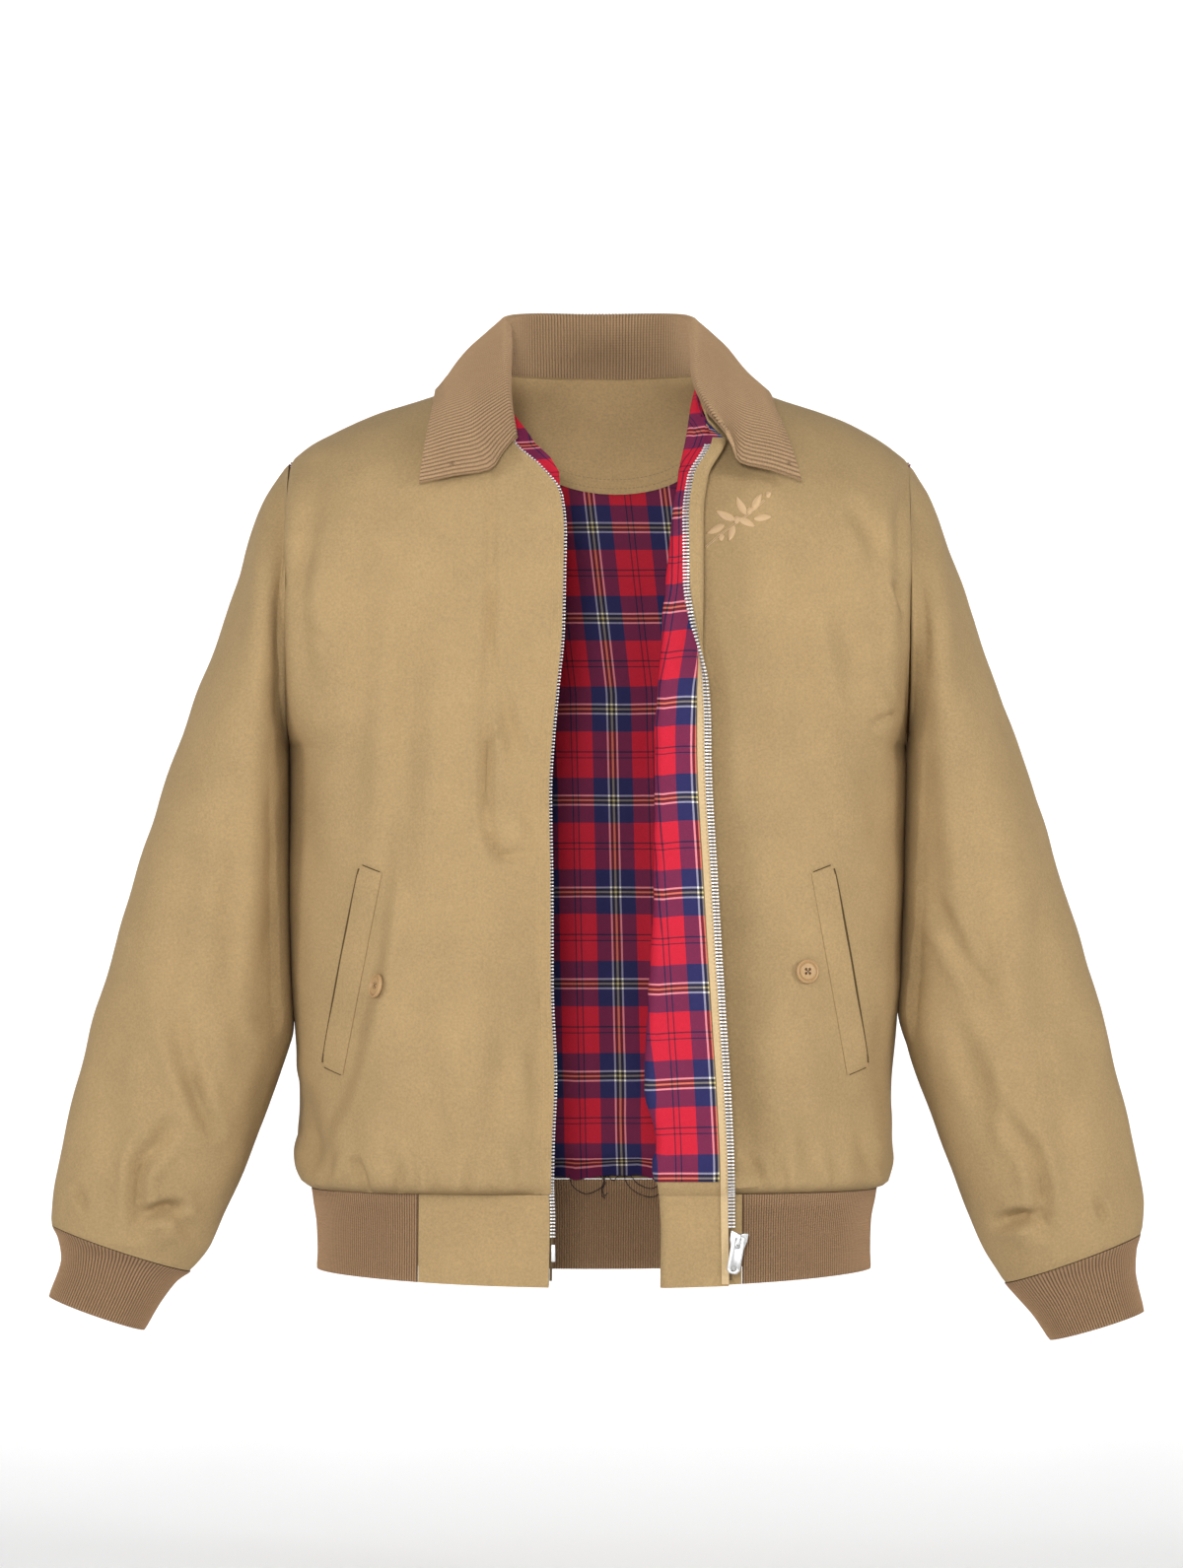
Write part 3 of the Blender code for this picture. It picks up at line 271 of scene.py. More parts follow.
# -------------------------------------------------------------- sheets and walls
def grid_normals(points: Array, outward: Array, closed: bool = False) -> Array:
    """Normals of a grid of points.

    Args:
        points: Rows by columns by three.
        outward: Direction, or one for each point, on the side they point to.
        closed: Whether the last column joins the first.

    Returns:
        One normal for each point.
    """
    if closed:
        across = (np.roll(points, -1, axis=1) - np.roll(points, 1, axis=1)) / 2
    else:
        across = np.gradient(points, axis=1)
    normals = unit(np.cross(np.gradient(points, axis=0), across))
    return normals * np.sign(np.sum(normals * outward, axis=-1).sum())


@dataclass
class Sheet:
    """Grid of points of a cloth's outer face, its normals and its flat cut.

    `cut` holds each point's place in the flat cloth in metres.  `mask` tells
    which cells of the grid hold cloth.  `closed` joins the last column to the
    first.
    """

    points: Array
    normals: Array
    cut: Array
    mask: Array | None = None
    closed: bool = False

    @staticmethod
    def flat(points: Array, datum: int) -> Array:
        """Flat cut of a grid: lengths along it, its width counted from a column."""
        up, over = spans(points)
        return np.stack([over - over[:, datum:datum + 1], up + points[0, datum, 2]], axis=-1)

    def pressed(self, heights: Array) -> "Sheet":
        """The sheet with its points moved along its normals, normals worked out again."""
        moved = self.points + self.normals * heights[..., None]
        fresh = grid_normals(moved, self.normals, self.closed)
        for row in (0, -1):
            fresh[row] = unit(0.3 * fresh[row] + 0.7 * self.normals[row])
        return replace(self, points=moved, normals=fresh)

    def below(self, distance: float) -> "Sheet":
        """The sheet moved inwards."""
        return replace(self, points=self.points - self.normals * distance)

    def part(self, rows: slice, columns: slice) -> "Sheet":
        """Some of the rows and columns."""
        mask = None
        if self.mask is not None:
            low, left = rows.start or 0, columns.start or 0
            high = rows.stop if rows.stop is not None else self.points.shape[0]
            right = columns.stop if columns.stop is not None else self.points.shape[1]
            mask = self.mask[low:(high if high > 0 else high + self.points.shape[0]) - 1,
                             left:(right if right > 0 else right + self.points.shape[1]) - 1]
        return Sheet(self.points[rows, columns], self.normals[rows, columns], self.cut[rows, columns], mask)

    def thinned(self) -> "Sheet":
        """The sheet with every second row left out."""
        last = self.points.shape[0] - 1
        keep = sorted({*range(0, last, 2), last})
        mask = None
        if self.mask is not None:
            mask = np.array([self.mask[a:b].all(axis=0) for a, b in zip(keep[:-1], keep[1:])])
        return replace(self, points=self.points[keep], normals=self.normals[keep], cut=self.cut[keep], mask=mask)

    def on(self, side: Side) -> "Sheet":
        """The sheet, drawn on the wearer's left, put on the given side."""
        if side is Side.LEFT:
            return self
        return replace(self, points=mirrored(self.points), normals=mirrored(self.normals))

    def leaned(self) -> "Sheet":
        """The sheet with the jacket's lean."""
        return replace(self, points=leaned(self.points))

    def drawn_in(self, top: float = 0.0, bottom: float = 0.0, first: float = 0.0, last: float = 0.0) -> "Sheet":
        """The sheet with its edges drawn in along the cloth, for the gaps at seams."""
        p = self.points.copy()
        p[-1] += unit(self.points[-2] - self.points[-1]) * top
        p[0] += unit(self.points[1] - self.points[0]) * bottom
        p[:, 0] += unit(self.points[:, 1] - self.points[:, 0]) * first
        p[:, -1] += unit(self.points[:, -2] - self.points[:, -1]) * last
        return replace(self, points=p)

    def wall(self, name: str, thickness: float, lift: float = 0.0) -> bpy.types.Object:
        """Closed wall whose outer face is this sheet.

        Args:
            name: Name of the piece.
            thickness: How thick the cloth is; it goes inwards.
            lift: How far the outer face stands off the sheet.

        Returns:
            The piece, at the origin, with its flat cut as UV map "cut".
        """
        outer = self.points + self.normals * lift
        inner = outer - self.normals * thickness
        rows, columns = self.points.shape[:2]
        wide = columns if self.closed else columns - 1
        mask = np.ones((rows - 1, wide), bool) if self.mask is None else self.mask
        ii, jj = np.nonzero(mask)
        right = (jj + 1) % columns
        ring = np.stack([ii * columns + jj, ii * columns + right, (ii + 1) * columns + right,
                         (ii + 1) * columns + jj], axis=1)
        count = rows * columns
        faces = [ring, ring[:, ::-1] + count]
        for side, (di, dj) in enumerate(((-1, 0), (0, 1), (1, 0), (0, -1))):
            ni, nj = ii + di, jj + dj
            if self.closed:
                nj = nj % columns
            inside = (ni >= 0) & (ni < mask.shape[0]) & (nj >= 0) & (nj < mask.shape[1])
            open_edge = ~inside
            open_edge[inside] = ~mask[ni[inside], nj[inside]]
            a, b = ring[open_edge, side], ring[open_edge, (side + 1) % 4]
            faces.append(np.stack([b, a, a + count, b + count], axis=1))
        corners = np.concatenate([self.cut.reshape(-1, 2)] * 2)[np.concatenate(faces)]
        if self.closed:
            width = float(self.cut[0, -1, 0] * columns / (columns - 1))
            wrapped = corners[..., 0].max(axis=1) - corners[..., 0].min(axis=1) > width / 2
            low = corners[..., 0] < width / 2
            corners[..., 0] += width * (low & wrapped[:, None])
        return mesh_piece(name, np.concatenate([outer.reshape(-1, 3), inner.reshape(-1, 3)]),
                          np.concatenate(faces), corners, self.normals.reshape(-1, 3))


def linked(name: str, data: bpy.types.ID) -> bpy.types.Object:
    """New object of some data, put in the scene."""
    piece = bpy.data.objects.new(name, data)
    bpy.context.scene.collection.objects.link(piece)
    return piece


def smoothed(mesh: bpy.types.Mesh, limit: float) -> None:
    """Shade a mesh smooth, but for edges sharper than a limit in degrees."""
    mesh.shade_smooth()
    mesh.set_sharp_from_angle(angle=math.radians(limit))


def mesh_piece(name: str, points: Array, faces: Array, cut: Array | None = None,
               outward: Array | None = None) -> bpy.types.Object:
    """Piece from arrays of points and four-sided faces.

    Args:
        name: Name of the piece.
        points: All its points.
        faces: Point numbers of its faces.
        cut: Flat place of each corner of each face, for the UV map "cut".
        outward: Normals of the first points, used to tell which way faces turn.

    Returns:
        The piece, linked to the scene.
    """
    used = np.unique(faces)
    number = np.full(len(points), -1)
    number[used] = np.arange(len(used))
    corners = faces[0]
    if outward is not None:
        first = faces[:max(1, len(faces) // 8)]
        a, b, c = points[first[:, 0]], points[first[:, 1]], points[first[:, 2]]
        way = np.cross(b - a, c - b)
        if np.sum(way * outward[first[:, 0] % len(outward)]) < 0:
            faces = faces[:, ::-1]
            cut = None if cut is None else cut[:, ::-1]
    mesh = bpy.data.meshes.new(name)
    mesh.vertices.add(len(used))
    mesh.vertices.foreach_set("co", points[used].astype(np.float32).ravel())
    mesh.loops.add(faces.size)
    mesh.loops.foreach_set("vertex_index", number[faces].astype(np.int32).ravel())
    mesh.polygons.add(len(faces))
    width = len(corners)
    mesh.polygons.foreach_set("loop_start", np.arange(0, faces.size, width, dtype=np.int32))
    mesh.polygons.foreach_set("loop_total", np.full(len(faces), width, dtype=np.int32))
    if cut is not None:
        layer = mesh.uv_layers.new(name="cut")
        layer.data.foreach_set("uv", cut.astype(np.float32).ravel())
    mesh.update(calc_edges=True)
    mesh.validate()
    smoothed(mesh, 50.0)
    return linked(name, mesh)


# ------------------------------------------------------------- torso sections
# level z, half width, depth of the front, depth of the back
TORSO = np.array([
    [-0.6620, 0.2036, 0.1105, 0.1040],
    [-0.6400, 0.2022, 0.1100, 0.1030],
    [-0.6205, 0.2028, 0.1100, 0.1030],
    [-0.6024, 0.2058, 0.1115, 0.1045],
    [-0.5940, 0.2074, 0.1130, 0.1060],
    [-0.5880, 0.2115, 0.1175, 0.1105],
    [-0.5770, 0.2147, 0.1200, 0.1130],
    [-0.5530, 0.2158, 0.1215, 0.1135],
    [-0.5200, 0.2172, 0.1220, 0.1120],
    [-0.4790, 0.2205, 0.1220, 0.1100],
    [-0.4300, 0.2236, 0.1220, 0.1090],
    [-0.3800, 0.2248, 0.1225, 0.1100],
    [-0.3300, 0.2254, 0.1235, 0.1120],
    [-0.2700, 0.2260, 0.1245, 0.1145],
    [-0.2100, 0.2263, 0.1245, 0.1170],
    [-0.1500, 0.2263, 0.1225, 0.1180],
])
# shoulder seam: x, z
SHOULDER = np.array([
    [0.0750, 0.0040], [0.1000, -0.0060], [0.1300, -0.0165], [0.1600, -0.0260],
    [0.1900, -0.0385], [0.2100, -0.0500], [0.2263, -0.0630],
])
# right front: z, x of its edge
EDGE_RIGHT = np.array([
    [-0.6620, 0.0280], [-0.6134, 0.0275], [-0.5850, 0.0285], [-0.5568, 0.0282],
    [-0.5143, 0.0268], [-0.4435, 0.0298], [-0.3727, 0.0305], [-0.3019, 0.0320],
    [-0.2665, 0.0302], [-0.2275, 0.0270], [-0.1886, 0.0237], [-0.1602, 0.0232],
    [-0.1178, 0.0228], [-0.0894, 0.0258], [-0.0682, 0.0415], [-0.0504, 0.0605],
    [0.0040, 0.0750],
])
# left front, rolled outwards: z, x of the roll, x of the folded part's end,
# turn of the roll in degrees, turn of the zip edge in degrees
ROLL_LEFT = np.array([
    [-0.6620, 0.0490, 0.0895, 176.0, 0.0],
    [-0.6190, 0.0490, 0.0885, 176.0, 0.0],
    [-0.5940, 0.0475, 0.0880, 176.0, 0.0],
    [-0.5710, 0.0440, 0.0875, 176.0, 0.0],
    [-0.5600, 0.0475, 0.0870, 176.0, 0.0],
    [-0.5143, 0.0385, 0.0845, 176.0, 0.0],
    [-0.4790, 0.0395, 0.0820, 175.0, 0.0],
    [-0.3727, 0.0440, 0.0750, 172.0, 0.0],
    [-0.2700, 0.0440, 0.0700, 166.0, 0.0],
    [-0.2350, 0.0455, 0.0712, 164.0, 20.0],
    [-0.2050, 0.0475, 0.0722, 163.0, 68.0],
    [-0.1750, 0.0495, 0.0732, 161.0, 122.0],
    [-0.1500, 0.0515, 0.0735, 160.0, 160.0],
    [-0.1050, 0.0555, 0.0735, 158.0, 168.0],
    [-0.0740, 0.0600, 0.0770, 156.0, 165.0],
    [-0.0440, 0.0650, 0.0900, 154.0, 160.0],
    [0.0040, 0.0750, 0.0950, 154.0, 160.0],
])
HEM_SEAM = -0.5940
CHEST = -0.1500
ARMHOLE_LOW = -0.2700
ARMHOLE_FREE = -0.2660
ARMHOLE_DEPTH = 0.0780
ARMHOLE_X = 0.2263
NECK_Y = 0.0050
FRONTWARDS = np.array([0.3, -1.0, 0.3])


@dataclass(frozen=True)
class BodySizes:
    """Sizes of the jacket's body and of the grid its cloth is drawn on."""

    roundness: float = 2.7
    quarter: float = 0.5523
    nape_y: float = 0.0780
    nape_z: float = 0.0040
    nape_slope: float = math.radians(55.0)
    roll_radius: float = 0.0046
    curl_radius: float = 0.0042
    lip: float = 0.0060
    over_teeth: dict[str, float] = field(default_factory=lambda: {"right": 0.0018, "left": 0.0})
    teeth_wide: float = 0.0045
    neck_drop: float = 0.0080
    tab_right: float = 0.1270
    tab_left: float = 0.1070
    hem_side: float = -0.6530
    hem_middle: float = -0.6615
    levels: int = 126
    over: int = 36
    front_columns: int = 112
    back_columns: int = 61
    lip_steps: int = 3
    curl_steps: int = 9
    flat_steps: int = 11
    roll_steps: int = 12

    @property
    def zip_rows(self) -> int:
        """Rows from the hem seam to the top of the zip."""
        return self.levels + self.over // 2


BODY = BodySizes()


def armhole_depth(z: float) -> float:
    """Half depth of the armhole at a level below the chest line."""
    if z <= ARMHOLE_LOW:
        return 0.0
    return ARMHOLE_DEPTH * math.sqrt(max(0.0, 1.0 - ((z - CHEST) / (ARMHOLE_LOW - CHEST)) ** 2))


# level z, how far the armhole pushes the middle of a panel outwards
ARMHOLE_EASE = np.array([
    [-0.3000, 0.0000], [-0.2820, 0.0060], [-0.2640, 0.0210], [-0.2500, 0.0370], [-0.2350, 0.0515],
    [-0.2050, 0.0690], [-0.1750, 0.0762], [-0.1500, 0.0780],
])


def section_y(x: Array | float, z: float, column: int) -> Array:
    """Distance of the cloth from the side plane, at x, for the front (2) or back (3)."""
    half, depth = smooth_lookup(TORSO, z, 1), smooth_lookup(TORSO, z, column)
    share = np.minimum(1.0, np.abs(x) / half)
    at_side = share ** 12
    seam = armhole_depth(z) * at_side + smooth_lookup(ARMHOLE_EASE, z, 1) * (1 - at_side)
    rest = np.clip(1.0 - share ** BODY.roundness, 0.0, 1.0) ** (1.0 / BODY.roundness)
    return seam + (depth - seam) * rest


def section_x(start: float, end: float, steps: int, z: float) -> Array:
    """Places across a section, closer together where it turns to the side."""
    half = smooth_lookup(TORSO, z, 1)
    power = BODY.roundness / 2.0
    first = math.asin(min(1.0, start / half) ** power)
    last = math.asin(min(1.0, end / half) ** power)
    return half * np.sin(np.linspace(first, last, steps)) ** (1 / power)


def part_row(z: float, start: float, end: float, steps: int, column: int) -> Array:
    """Points of the front (2) or back (3) at one level between two places."""
    x = section_x(start, end, steps, z)
    y = section_y(x, z, column) * (-1.0 if column == 2 else 1.0)
    return np.stack([x, y, np.full(steps, z)], axis=1)


def shoulder_point(x: float) -> Array:
    """Point of the shoulder seam."""
    share = (x - SHOULDER[0, 0]) / (ARMHOLE_X - SHOULDER[0, 0])
    return np.array([x, NECK_Y * (1.0 - share), smooth_lookup(SHOULDER, x, 1)])


def neck_point(share: float) -> Array:
    """Point of the back neck seam, 0 at the centre and 1 at the shoulder seam."""
    angle = share * math.pi / 2
    return np.array([SHOULDER[0, 0] * math.sin(angle), NECK_Y + (BODY.nape_y - NECK_Y) * math.cos(angle),
                     BODY.nape_z])


def over_shoulder(low: Array, top: Array, slope: float, t: float) -> Array:
    """Point of the curve from the chest line up and over to a seam point."""
    rise, reach = top[2] - low[2], low[1] - top[1]
    a = low + np.array([0.0, 0.0, BODY.quarter * rise])
    length = math.hypot(reach * math.cos(slope), rise * math.sin(slope)) * BODY.quarter
    b = top + np.array([0.0, math.copysign(math.cos(slope), reach) * length, -math.sin(slope) * length])
    return (1 - t) ** 3 * low + 3 * t * (1 - t) ** 2 * a + 3 * t * t * (1 - t) * b + t ** 3 * top


def walk(start: Array, heading: float, legs: Iterable[tuple[float, float, int]]) -> Array:
    """Points of a path in plan: each leg is a length, a turn in radians and its steps."""
    place, angle, path = np.array(start), heading, []
    for length, turn, steps in legs:
        for _ in range(steps):
            angle += turn / steps / 2
            place = place + length / steps * np.array([math.cos(angle), math.sin(angle)])
            angle += turn / steps / 2
            path.append(place.copy())
    return np.array(path)


def edge_heading(x: float, z: float) -> float:
    """Direction in plan of the front at x, towards the centre."""
    step = 0.002
    return math.atan2(float(section_y(x + step, z, 2) - section_y(x, z, 2)), -step)


@dataclass(frozen=True)
class LongFold:
    """Long soft fold of a front: the part nearer the zip stands out.

    `line` has its level, its place across and its height, lowest first.
    """

    line: tuple[tuple[float, float, float], ...]
    width: float

    def press(self, sheet: Array) -> None:
        """Move the points of a front."""
        x, z = sheet[..., 0], sheet[..., 2]
        table = np.array(self.line)
        place, height = (smooth_lookup_many(table, z[:, 0], column) for column in (1, 2))
        step = ease((place - x) / self.width + 0.5) * ease((x - 0.03) / 0.06)
        sheet[..., 1] -= np.maximum(height, 0.0) * step


@dataclass(frozen=True)
class FrontPlan:
    """What makes a front the right or the left one."""

    side: Side
    folds: tuple[LongFold, ...]

    @property
    def added(self) -> int:
        """Columns of the edge strip."""
        if self.side is Side.RIGHT:
            return BODY.lip_steps
        return BODY.roll_steps + BODY.flat_steps + BODY.curl_steps + BODY.lip_steps

    def start(self, z: float) -> float:
        """Where the panel ends and its edge strip or roll begins."""
        if self.side is Side.RIGHT:
            strip = (BODY.lip + BODY.teeth_wide) * min(1.0, max(0.0, -z / 0.05))
            return smooth_lookup(EDGE_RIGHT, z, 1) + strip
        return smooth_lookup(ROLL_LEFT, z, 1) + BODY.roll_radius

    def strip(self, point: Array, z: float) -> Array:
        """Points of the edge strip, from the panel outwards."""
        heading = edge_heading(point[0], z)
        if self.side is Side.RIGHT:
            path = walk(point[:2], heading, [(BODY.lip, math.radians(8.0), BODY.lip_steps)])
        else:
            roll_x, end_x, turn, curl = (smooth_lookup(ROLL_LEFT, z, c) for c in (1, 2, 3, 4))
            turn, curl = math.radians(turn), math.radians(curl)
            flat = (end_x - roll_x - BODY.roll_radius) / -math.cos(turn)
            path = walk(point[:2], heading, [
                (BODY.roll_radius * turn, turn, BODY.roll_steps), (flat, 0.0, BODY.flat_steps),
                (BODY.curl_radius * max(curl, 0.4), -curl, BODY.curl_steps), (BODY.lip, 0.0, BODY.lip_steps)])
        return np.column_stack([path, np.full(len(path), point[2])])

    @property
    def rows(self) -> int:
        """Rows that have the edge strip; the rolled one runs on up under the collar."""
        return BODY.zip_rows + (12 if self.side is Side.LEFT else 0)

    def fall(self) -> Array:
        """How far the top of the roll falls at each column of the strip."""
        if self.side is Side.RIGHT:
            return np.zeros(self.added)
        roll = np.arange(1, BODY.roll_steps + 1) / BODY.roll_steps * 6 / 7
        flat = 6 / 7 + np.arange(1, BODY.flat_steps + 1) / BODY.flat_steps / 7
        return np.concatenate([roll, flat, np.ones(BODY.curl_steps + BODY.lip_steps)])[::-1]


def collar_seam_x(z: float) -> float:
    """Where the collar's seam crosses a level on the left front."""
    levels, places = [-0.0480, -0.0415, -0.0330, -0.0190, -0.0040], [0.0990, 0.0900, 0.0800, 0.0745, 0.0750]
    return float(np.interp(z, levels, places))


PLANS = {
    Side.RIGHT: FrontPlan(Side.RIGHT, (LongFold((
        (-0.5900, 0.1990, 0.0000), (-0.5700, 0.1930, 0.0030), (-0.5546, 0.1885, 0.0065), (-0.4951, 0.1690, 0.0110),
        (-0.4440, 0.1580, 0.0115), (-0.4272, 0.1539, 0.0110), (-0.3684, 0.1481, 0.0062), (-0.3200, 0.1465, 0.0026),
        (-0.2700, 0.1450, 0.0000)), 0.0110), LongFold((
        (-0.6000, 0.1760, 0.0060), (-0.5000, 0.1760, 0.0130), (-0.4000, 0.1740, 0.0110), (-0.3000, 0.1700, 0.0050),
        (-0.2200, 0.1650, 0.0000)), 0.0520))),
    Side.LEFT: FrontPlan(Side.LEFT, (LongFold((
        (-0.5700, 0.1660, 0.0000), (-0.5000, 0.1660, 0.0030), (-0.4200, 0.1660, 0.0000)), 0.0300),)),
}


def level(normals: Array, row: int) -> Array:
    """Normals with one row's laid level, so that the wall ends square there."""
    made = normals.copy()
    made[row, :, 2] = 0.0
    return unit(made)


def edge_normals(points: Array, added: int) -> Array:
    """Normals of a front with its strip, on the outer side of the panel beside it."""
    normals = grid_normals(points, FRONTWARDS)
    return normals * np.sign(np.sum(normals[:, added + 1:] * FRONTWARDS, axis=-1).sum())


def front_panel(plan: FrontPlan) -> Array:
    """Points of a front without its edge strip, hem seam to shoulder seam, on the +X side."""
    levels = np.linspace(HEM_SEAM, CHEST, BODY.levels)
    rows = [part_row(z, plan.start(z), smooth_lookup(TORSO, z, 1), BODY.front_columns, 2) for z in levels]
    chest = rows[-1]
    shares = (chest[:, 0] - chest[0, 0]) / (chest[-1, 0] - chest[0, 0])
    neck = SHOULDER[0, 0]
    tops = [shoulder_point(neck + (ARMHOLE_X - neck) * s) for s in shares]
    for step in range(1, BODY.over + 1):
        t = step / BODY.over
        row = np.array([over_shoulder(low, top, 0.0, t) for low, top in zip(chest, tops)])
        inner = plan.start(row[0, 2])
        row[:, 0] = inner + (ARMHOLE_X - inner) * shares
        rows.append(row)
    panel = np.array(rows)
    for fold in plan.folds:
        fold.press(panel)
    return panel


def with_strip(plan: FrontPlan, panel: Array) -> Array:
    """Points of a front with its edge strip, which falls towards the neck."""
    zip_rows, added = BODY.zip_rows, plan.added
    extra = []
    for i, row in enumerate(panel):
        strip = plan.strip(row[0], min(row[0, 2], CHEST + 0.12))[::-1]
        if i >= zip_rows:
            strip[:, 0] = np.minimum(strip[:, 0], collar_seam_x(row[0, 2]) - 0.0012)
        extra.append(strip if i < plan.rows else np.repeat(row[:1], added, axis=0))
    points = np.concatenate([np.array(extra), panel], axis=1)
    for step in range(1, BODY.over // 2 + 1):
        drop = BODY.neck_drop * np.interp(step / BODY.over, [0, 1 / 6, 1 / 3, 1 / 2], [0, 0.15, 0.45, 1.0])
        points[BODY.levels - 1 + step, :added, 2] -= drop * plan.fall()
    for step in range(plan.rows - zip_rows):
        points[zip_rows + step, :added, 2] -= BODY.neck_drop * 0.5 * max(0.0, 1 - step / 8) * plan.fall()
    return points


def front_mask(plan: FrontPlan, points: Array) -> Array:
    """Cells of a front that hold cloth: the strip ends at the neck, under the collar."""
    zip_rows, added = BODY.zip_rows, plan.added
    mask = np.ones((points.shape[0] - 1, points.shape[1] - 1), bool)
    mask[plan.rows - 1:, :added] = False
    wide = np.linalg.norm(np.diff(points, axis=1), axis=-1) > 2e-4
    mask[zip_rows - 1:, :added] &= wide[zip_rows - 1:-1, :added] & wide[zip_rows:, :added]
    mask[zip_rows - 1:, :BODY.lip_steps + BODY.curl_steps] &= plan.side is Side.RIGHT
    return mask


def front_normals(plan: FrontPlan, points: Array) -> Array:
    """Normals of a front with its strip, level at its seams."""
    zip_rows, added = BODY.zip_rows, plan.added
    whole = grid_normals(points[:, added:], FRONTWARDS)
    normals = np.repeat(whole[:, :1], points.shape[1], axis=1)
    normals[:zip_rows] = edge_normals(points[:zip_rows], added)
    normals[zip_rows:plan.rows, :added] = normals[zip_rows - 1, :added]
    normals[:, added + 1:] = whole[:, 1:]
    normals[:, -1, 1] = 0.0
    normals[-1, added:, 1] = 0.0
    return level(unit(normals), 0)


def front_sheet(plan: FrontPlan) -> Sheet:
    """Front panel with its edge strip, hem seam to shoulder seam, on the +X side."""
    points = with_strip(plan, front_panel(plan))
    return Sheet(points, front_normals(plan, points), Sheet.flat(points, plan.added), front_mask(plan, points))


def back_half_rows() -> list[Array]:
    """Rows of half the back, centre to side seam, armhole and shoulder."""
    levels = np.linspace(HEM_SEAM, CHEST, BODY.levels)
    count = BODY.back_columns
    rows = [part_row(z, 0.0, smooth_lookup(TORSO, z, 1), count, 3) for z in levels]
    chest, neck = rows[-1], (count - 1) // 2
    tops, slopes = [], []
    for k in range(count):
        if k <= neck:
            tops.append(neck_point(k / neck))
            slopes.append(BODY.nape_slope * (1 - (k / neck) ** 2))
        else:
            share = (k - neck) / (count - 1 - neck)
            tops.append(shoulder_point(SHOULDER[0, 0] + (ARMHOLE_X - SHOULDER[0, 0]) * share))
            slopes.append(0.0)
    for step in range(1, BODY.over + 1):
        t = step / BODY.over
        rows.append(np.array([over_shoulder(low, top, slope, t) for low, top, slope in zip(chest, tops, slopes)]))
    return rows


def back_sheet() -> Sheet:
    """Whole back panel."""
    half = np.array(back_half_rows())
    points = np.concatenate([mirrored(half[:, :0:-1]), half], axis=1)
    normals = grid_normals(points, np.array([0.0, 1.0, 0.3]))
    normals[:, (0, -1), 1] = 0.0
    seam = np.abs(points[-1, :, 0]) > SHOULDER[0, 0] - 0.001
    normals[-1, seam, 1] = 0.0
    normals = level(unit(normals), 0)
    return Sheet(points, normals, Sheet.flat(points, BODY.back_columns - 1))


def hem_bottom(x: Array, half: float) -> Array:
    """Level of the hem at places across it."""
    return BODY.hem_side + (BODY.hem_middle - BODY.hem_side) * np.clip(1.0 - (x / half) ** 2, 0.0, None)


def band_points(make_row: Callable[[float], Array], steps: int) -> Array:
    """Points of a hem piece; make_row(z) gives its points at one level."""
    rows = []
    levels = np.concatenate([[BODY.hem_side], np.linspace(-0.6420, HEM_SEAM - SEAM, steps)])
    for z in levels:
        row = make_row(float(z))
        if z == BODY.hem_side:
            row[:, 2] = hem_bottom(row[:, 0], smooth_lookup(TORSO, float(z), 1))
        rows.append(row)
    whole = np.array(rows)
    between = [whole[0] + (whole[1] - whole[0]) * t for t in np.linspace(0, 1, 5)[:-1]]
    return np.concatenate([np.array(between), whole[1:]])


# ------------------------------------------------------------ repeated details
@dataclass(frozen=True)
class Template:
    """Small shape that is modelled once and copied along a line.

    `points` are in its own frame: x along the line, y out of the cloth,
    z across the line.
    """

    points: Array
    faces: Array

    def copies(self, name: str, centres: Array, frames: Array) -> bpy.types.Object:
        """One joined piece of many copies.

        Args:
            name: Name of the piece.
            centres: Where each copy stands.
            frames: For each copy its three axes as columns.

        Returns:
            The piece.
        """
        placed = np.einsum("nij,pj->npi", frames, self.points) + centres[:, None]
        count, size = len(centres), len(self.points)
        faces = (self.faces[None] + (np.arange(count) * size)[:, None, None]).reshape(-1, self.faces.shape[1])
        return mesh_piece(name, placed.reshape(-1, 3), faces)


def lathe_box(sections: Sequence[tuple[float, float, float]], corner: float = 0.3) -> Template:
    """Rounded bar through sections of place, height and width, its ends closed.

    Args:
        sections: Place along, half height and half width of each section.
        corner: Share of each section that is cut off at its corners.

    Returns:
        The shape with eight-sided sections.
    """
    c = 1.0 - corner
    ring = np.array([[c, 1], [1, c], [1, -c], [c, -1], [-c, -1], [-1, -c], [-1, c], [-c, 1]])
    points = np.array([[s, h * y, w * z] for s, h, w in sections for y, z in ring])
    faces = []
    for i in range(len(sections) - 1):
        for k in range(8):
            a, b = i * 8 + k, i * 8 + (k + 1) % 8
            faces.append([a, b, b + 8, a + 8])
    for base, turn in ((0, 1), ((len(sections) - 1) * 8, -1)):
        for quad in ((0, 1, 2, 3), (0, 3, 4, 7), (4, 5, 6, 7)):
            faces.append([base + q for q in quad[::-turn]])
    return Template(points, np.array(faces))


def strip_wall(name: str, lines: Sequence[Array], ways: Array, thickness: float,
               lift: float = 0.0) -> bpy.types.Object:
    """Narrow strip of cloth through lines of points side by side."""
    points = np.stack(lines, axis=1)
    across = np.stack([ways] * len(lines), axis=1)
    return Sheet(points, across, Sheet.flat(points, 0)).wall(name, thickness, lift)


def turn_outwards(mesh: bpy.types.Mesh) -> None:
    """Turn every face of a mesh outwards."""
    work = bmesh.new()
    work.from_mesh(mesh)
    bmesh.ops.recalc_face_normals(work, faces=work.faces)
    work.to_mesh(mesh)
    work.free()


